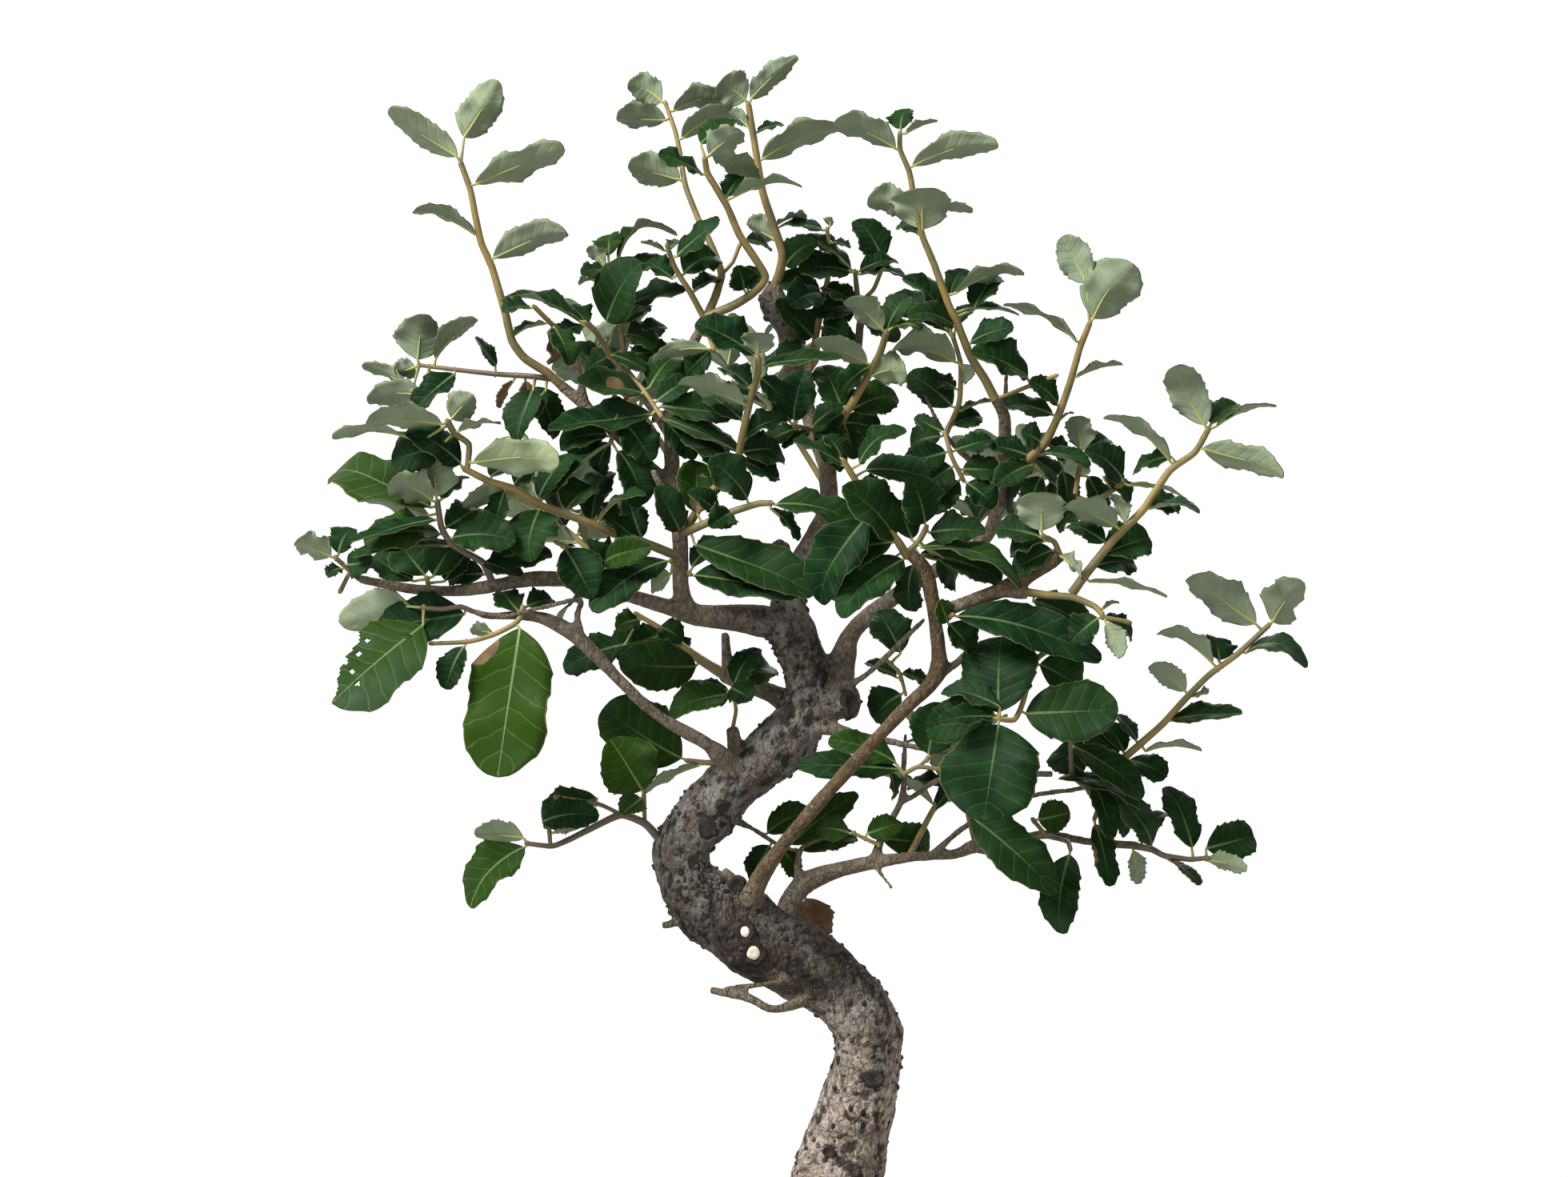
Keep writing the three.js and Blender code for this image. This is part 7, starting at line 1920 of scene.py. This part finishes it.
@dataclass
class Pot:
    """The unglazed oval pot: a turned profile drawn out to an oval, on four feet."""

    length: float = 236 * MM
    depth: float = 172 * MM
    height: float = 62 * MM
    wall: float = 6.5 * MM
    floor: float = 7 * MM
    lip: float = 5 * MM
    flare: float = 20 * MM
    knee: float = 8 * MM
    knee_height: float = 30 * MM
    rim_depth: float = 7 * MM
    foot_height: float = 8 * MM
    foot_radius: float = 14 * MM
    foot_x: float = 64 * MM
    foot_y: float = 36 * MM
    drain_radius: float = 9 * MM
    drain_x: float = 52 * MM
    segments: int = 144

    def profile(self) -> list[tuple[float, float]]:
        """The wall's profile from the middle of the underside round to the middle of the floor.

        Returns:
            Radius and height at each point.
        """
        half = self.length / 2
        base = half - self.flare
        bend, edge, inner = base + self.knee, half - self.lip, base - self.wall
        mouth = edge - self.wall
        low, knee, top = self.foot_height, self.knee_height, self.height
        under, floor = top - self.rim_depth, low + self.floor
        # A radius and how far out of it, a height and how far above it, the steps in millimetres.
        rows = (
            (base * 0.5, 0, low, 0), (base, -5, low, 0), (base, -2, low, 0.7), (base, 0, low, 3),
            (base, 4.4, low, 12), (bend, 0, knee, 0), (bend, 3.4, knee, 13), (edge, -0.6, under, -2),
            (edge, 0.4, under, -0.6), (half, -2, under, 0.2), (half, -0.5, under, 1.2), (half, 0, under, 3),
            (half, -0.2, top, -2.2), (half, -1.2, top, -0.6), (half, -3, top, 0), (mouth, 2, top, 0),
            (mouth, 0.5, top, -0.7), (mouth, -0.4, top, -2.5), (bend - self.wall, 0, knee, 0),
            (inner, 0, floor, 3), (inner, -3, floor, 0), (base * 0.5, 0, floor, 0),
        )
        wall = [(radius + out * MM, height + up * MM) for radius, out, height, up in rows]
        return [(0.0, low), *wall, (0.0, floor)]

    def work(
        self, pot: bpy.types.Object, operation: str, place: tuple[float, float], radius: float, high: float,
    ) -> bpy.types.Object:
        """Joins a round block to the pot, or cuts it out.

        Args:
            pot: The pot.
            operation: Whether the block is joined or cut out.
            place: Where the block stands from the pot's middle.
            radius: The block's radius.
            high: The block's height.

        Returns:
            The block.
        """
        bm = bmesh.new()
        bmesh.ops.create_cone(bm, cap_ends=True, segments=64, radius1=radius, radius2=radius, depth=high)
        bmesh.ops.translate(bm, vec=MIDDLE + Vector((*place, high / 2)), verts=bm.verts)
        block = from_bmesh("block", bm)
        cut = pot.modifiers.new("cut", "BOOLEAN")
        cut.object = block
        cut.operation = operation
        cut.solver = "EXACT"
        return block

    def build(self) -> None:
        """Builds the pot and dresses what lies in its floor."""
        bm = bmesh.new()
        narrow = self.depth / self.length
        bridge(bm, [oval(wide, wide * narrow, height, self.segments) for wide, height in self.profile()])
        pot = from_bmesh("oval_pot", bm, outward=True)
        foot_top, floor_top = self.foot_height + 2 * MM, self.foot_height + self.floor + 2 * MM
        blocks = []
        for way in (-1, 1):
            for y in (-self.foot_y, self.foot_y):
                blocks.append(self.work(pot, "UNION", (way * self.foot_x, y), self.foot_radius, foot_top))
            hole = (way * self.drain_x, 0.0)
            blocks.append(self.work(pot, "DIFFERENCE", hole, self.drain_radius, floor_top))
        edge = pot.modifiers.new("edge", "BEVEL")
        edge.width = 0.8 * MM
        edge.segments = 3
        edge.limit_method = "ANGLE"
        edge.angle_limit = math.radians(50)
        pot = plain_mesh(pot)
        for block in blocks:
            bpy.data.objects.remove(block)
        settle(pot, "pot", POT_CLAY.build())
        screen, wire = SCREEN_PLASTIC.build(), WIRE.build()
        for side in ("left", "right"):
            dress(f"drain_screen_{side}", screen)
            dress(f"screen_clip_{side}", wire)
        dress("drainage_grit", GRIT.build())


def dress(node: str, material: bpy.types.Material) -> None:
    """Gives a CAD node its material."""
    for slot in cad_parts[node].material_slots:
        slot.material = material


class Ground(Enum):
    """What lumps are scattered over, with the name of their piece."""

    BARK = "bark_warts"
    SOIL = "soil_granules"


@dataclass(frozen=True)
class Scatter:
    """Small lumps scattered over a surface: lenticels on thick bark, or granules on top of the soil."""

    ground: Ground
    finish: GrainFinish
    density: float
    size: float
    edge: float
    seed: int
    smallest: tuple[float, float, float]
    largest: tuple[float, float, float]

    def build(self, base: bpy.types.Object) -> None:
        """Scatters the lumps over a piece where it is thick or high enough, as a piece of their own.

        Args:
            base: The piece.
        """
        on_bark = self.ground is Ground.BARK
        inputs = {"Density": self.density, "Size": self.size, "Edge": self.edge, "Seed": self.seed}
        recipe = Recipe(self.ground.value, inputs, self.finish.build())
        geometry, density, size, edge, seed, _ = recipe.start.values()
        measure = recipe.attribute("girth") if on_bark else recipe.parts(recipe.place)[2]
        if on_bark:
            density = recipe.noise(recipe.place, 55.0, 3.0).ramp(0.38, 0.66, 0.12, 1.0) * density
        points = recipe.add("GeometryNodeDistributePointsOnFaces", {
            "Mesh": geometry, "Selection": measure > edge, "Density": density, "Seed": seed})
        turn = Value(recipe, points.outputs["Rotation"])
        if not on_bark:
            angles = recipe.random((0.0, 0.0, 0.0), (6.28, 6.28, 6.28), seed)
            turn = recipe.get("FunctionNodeEulerToRotation", {0: angles})
        shape = recipe.random(self.smallest, self.largest, seed if on_bark else 0)
        lumps = recipe.get("GeometryNodeInstanceOnPoints", {
            "Points": Value(recipe, points.outputs[0]), "Instance": recipe.ball(1), "Rotation": turn,
            "Scale": recipe.scaled(shape, size)})
        recipe.finish(recipe.store(lumps, "tone", recipe.random(0.0, 1.0), domain="INSTANCE"))
        piece = recipe.pass_through(make_object(self.ground.value, base.data.copy()))
        settle(piece, None, smooth=on_bark)


# The soil's height at the pot's rim.
SOIL_TOP = 57 * MM
LENTICELS = Scatter(
    Ground.BARK, BARK_WART, 95000.0, 0.95 * MM, 4.5 * MM, 5, (0.45, 0.5, 0.35), (1.25, 1.4, 1.0))
GRANULES = Scatter(
    Ground.SOIL, SOIL_GRANULES, 210000.0, 1.35 * MM, SOIL_TOP - 3 * MM, 11, (0.6, 0.6, 0.5),
    (1.25, 1.2, 0.9))


@dataclass
class Soil:
    """The soil: a mounded bed with loose fired-clay granules on top."""

    top: float = SOIL_TOP
    rise: float = 3.5 * MM
    mound: float = 50 * MM
    mound_share: float = 0.6
    rings: int = 40
    segments: int = 128

    def bed(self) -> bpy.types.Object:
        """The soil's body: the CAD solid's own box, with a fine uneven top.

        Returns:
            The bed.
        """
        low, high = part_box("soil")
        length, depth = (high[0] - low[0]) / 2, (high[1] - low[1]) / 2
        stations = [(0.0, low[2]), (0.9, low[2]), (0.92, low[2] + 10 * MM)]
        for k in range(self.rings, -1, -1):
            radius = k / self.rings * length
            lift = self.mound_share * (length - radius) / (length - self.mound)
            if radius < self.mound:
                lift = self.mound_share + (1 - self.mound_share) * (1 - radius / self.mound)
            stations.append((k / self.rings, self.top + self.rise * lift))
        rings = [oval(share * length, share * depth, height, self.segments) for share, height in stations]
        for place in (place for ring in rings[4:-1] for place in ring):
            place.z += 0.45 * MM * noise.noise((place - MIDDLE) * 260.0) - 0.5 * MM
        bm = bmesh.new()
        bridge(bm, rings)
        return from_bmesh("soil_bed", bm, outward=True)

    def build(self) -> None:
        """Builds the bed and its granules."""
        bed = self.bed()
        settle(bed, "soil", SOIL_BED.build())
        GRANULES.build(bed)


@dataclass
class Studio:
    """The plain pale floor, the soft light and the camera at the photograph's angle."""

    floor_radius: float = 0.62
    sky: tuple = rgb(1.0, 1.0, 1.0)
    sky_strength: float = 0.5
    backdrop_strength: float = 1.02
    backdrop_from: float = 0.72
    backdrop_full: float = 0.94

    def lamp(self, name: str, place: tuple, aim: tuple, size: float, power: float) -> None:
        """Adds one square soft light.

        Args:
            name: The light's name.
            place: Where it hangs.
            aim: What it faces.
            size: Its width.
            power: Its power.
        """
        light = bpy.data.lights.new(name, "AREA")
        light.size = size
        light.energy = power
        obj = make_object(name, light)
        obj.location = place
        obj.rotation_euler = (Vector(aim) - Vector(place)).to_track_quat("-Z", "Y").to_euler()

    def floor(self) -> None:
        """Adds the round floor."""
        bm = bmesh.new()
        bmesh.ops.create_circle(bm, cap_ends=True, segments=128, radius=self.floor_radius)
        obj = from_bmesh("studio_floor", bm)
        obj.data.materials.append(FLOOR_FINISH.build())

    def camera(self) -> None:
        """Adds the camera, level, along +Y."""
        data = bpy.data.cameras.new("photo_camera")
        data.sensor_width = SENSOR_WIDTH
        data.lens = SENSOR_WIDTH * EYE_DISTANCE / FRAME_WIDTH
        data.clip_start = 0.01
        data.clip_end = 20.0
        obj = make_object("photo_camera", data)
        obj.location = seen(EYE_X, EYE_Z, -EYE_DISTANCE)
        obj.rotation_euler = (math.radians(90), 0.0, 0.0)
        bpy.context.scene.camera = obj

    def build(self) -> None:
        """Builds the studio."""
        world = bpy.data.worlds.new("studio")
        world.use_nodes = True
        background = world.node_tree.nodes["Background"].inputs
        background["Color"].default_value = self.sky
        # The sky is whitest behind the tree, like a lit backdrop.
        graph = Graph(world.node_tree)
        behind = graph.parts(graph.get("ShaderNodeTexCoord", output="Object"))[1]
        strength = behind.ramp(
            self.backdrop_from, self.backdrop_full, self.sky_strength, self.backdrop_strength)
        graph.put(background["Strength"], strength)
        bpy.context.scene.world = world
        bpy.context.scene.view_settings.view_transform = "Standard"
        self.floor()
        self.camera()
        self.lamp("key", (-0.8, -0.6, 1.2), (0.0, 0.0, 0.3), 0.5, 28.0)
        self.lamp("back", (0.3, 0.9, 1.0), (0.0, 0.0, 0.35), 0.7, 6.0)


def main() -> None:
    """Builds the bonsai and its studio."""
    logging.basicConfig(level=logging.INFO, format="%(name)s: %(message)s")
    Studio().build()
    wood = Wood()
    LENTICELS.build(wood.build())
    for scar in SCAR_KINDS:
        scar.build(wood)
    Crown(wood).build()
    Pot().build()
    Soil().build()
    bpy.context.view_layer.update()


if __name__ == "__main__":
    main()
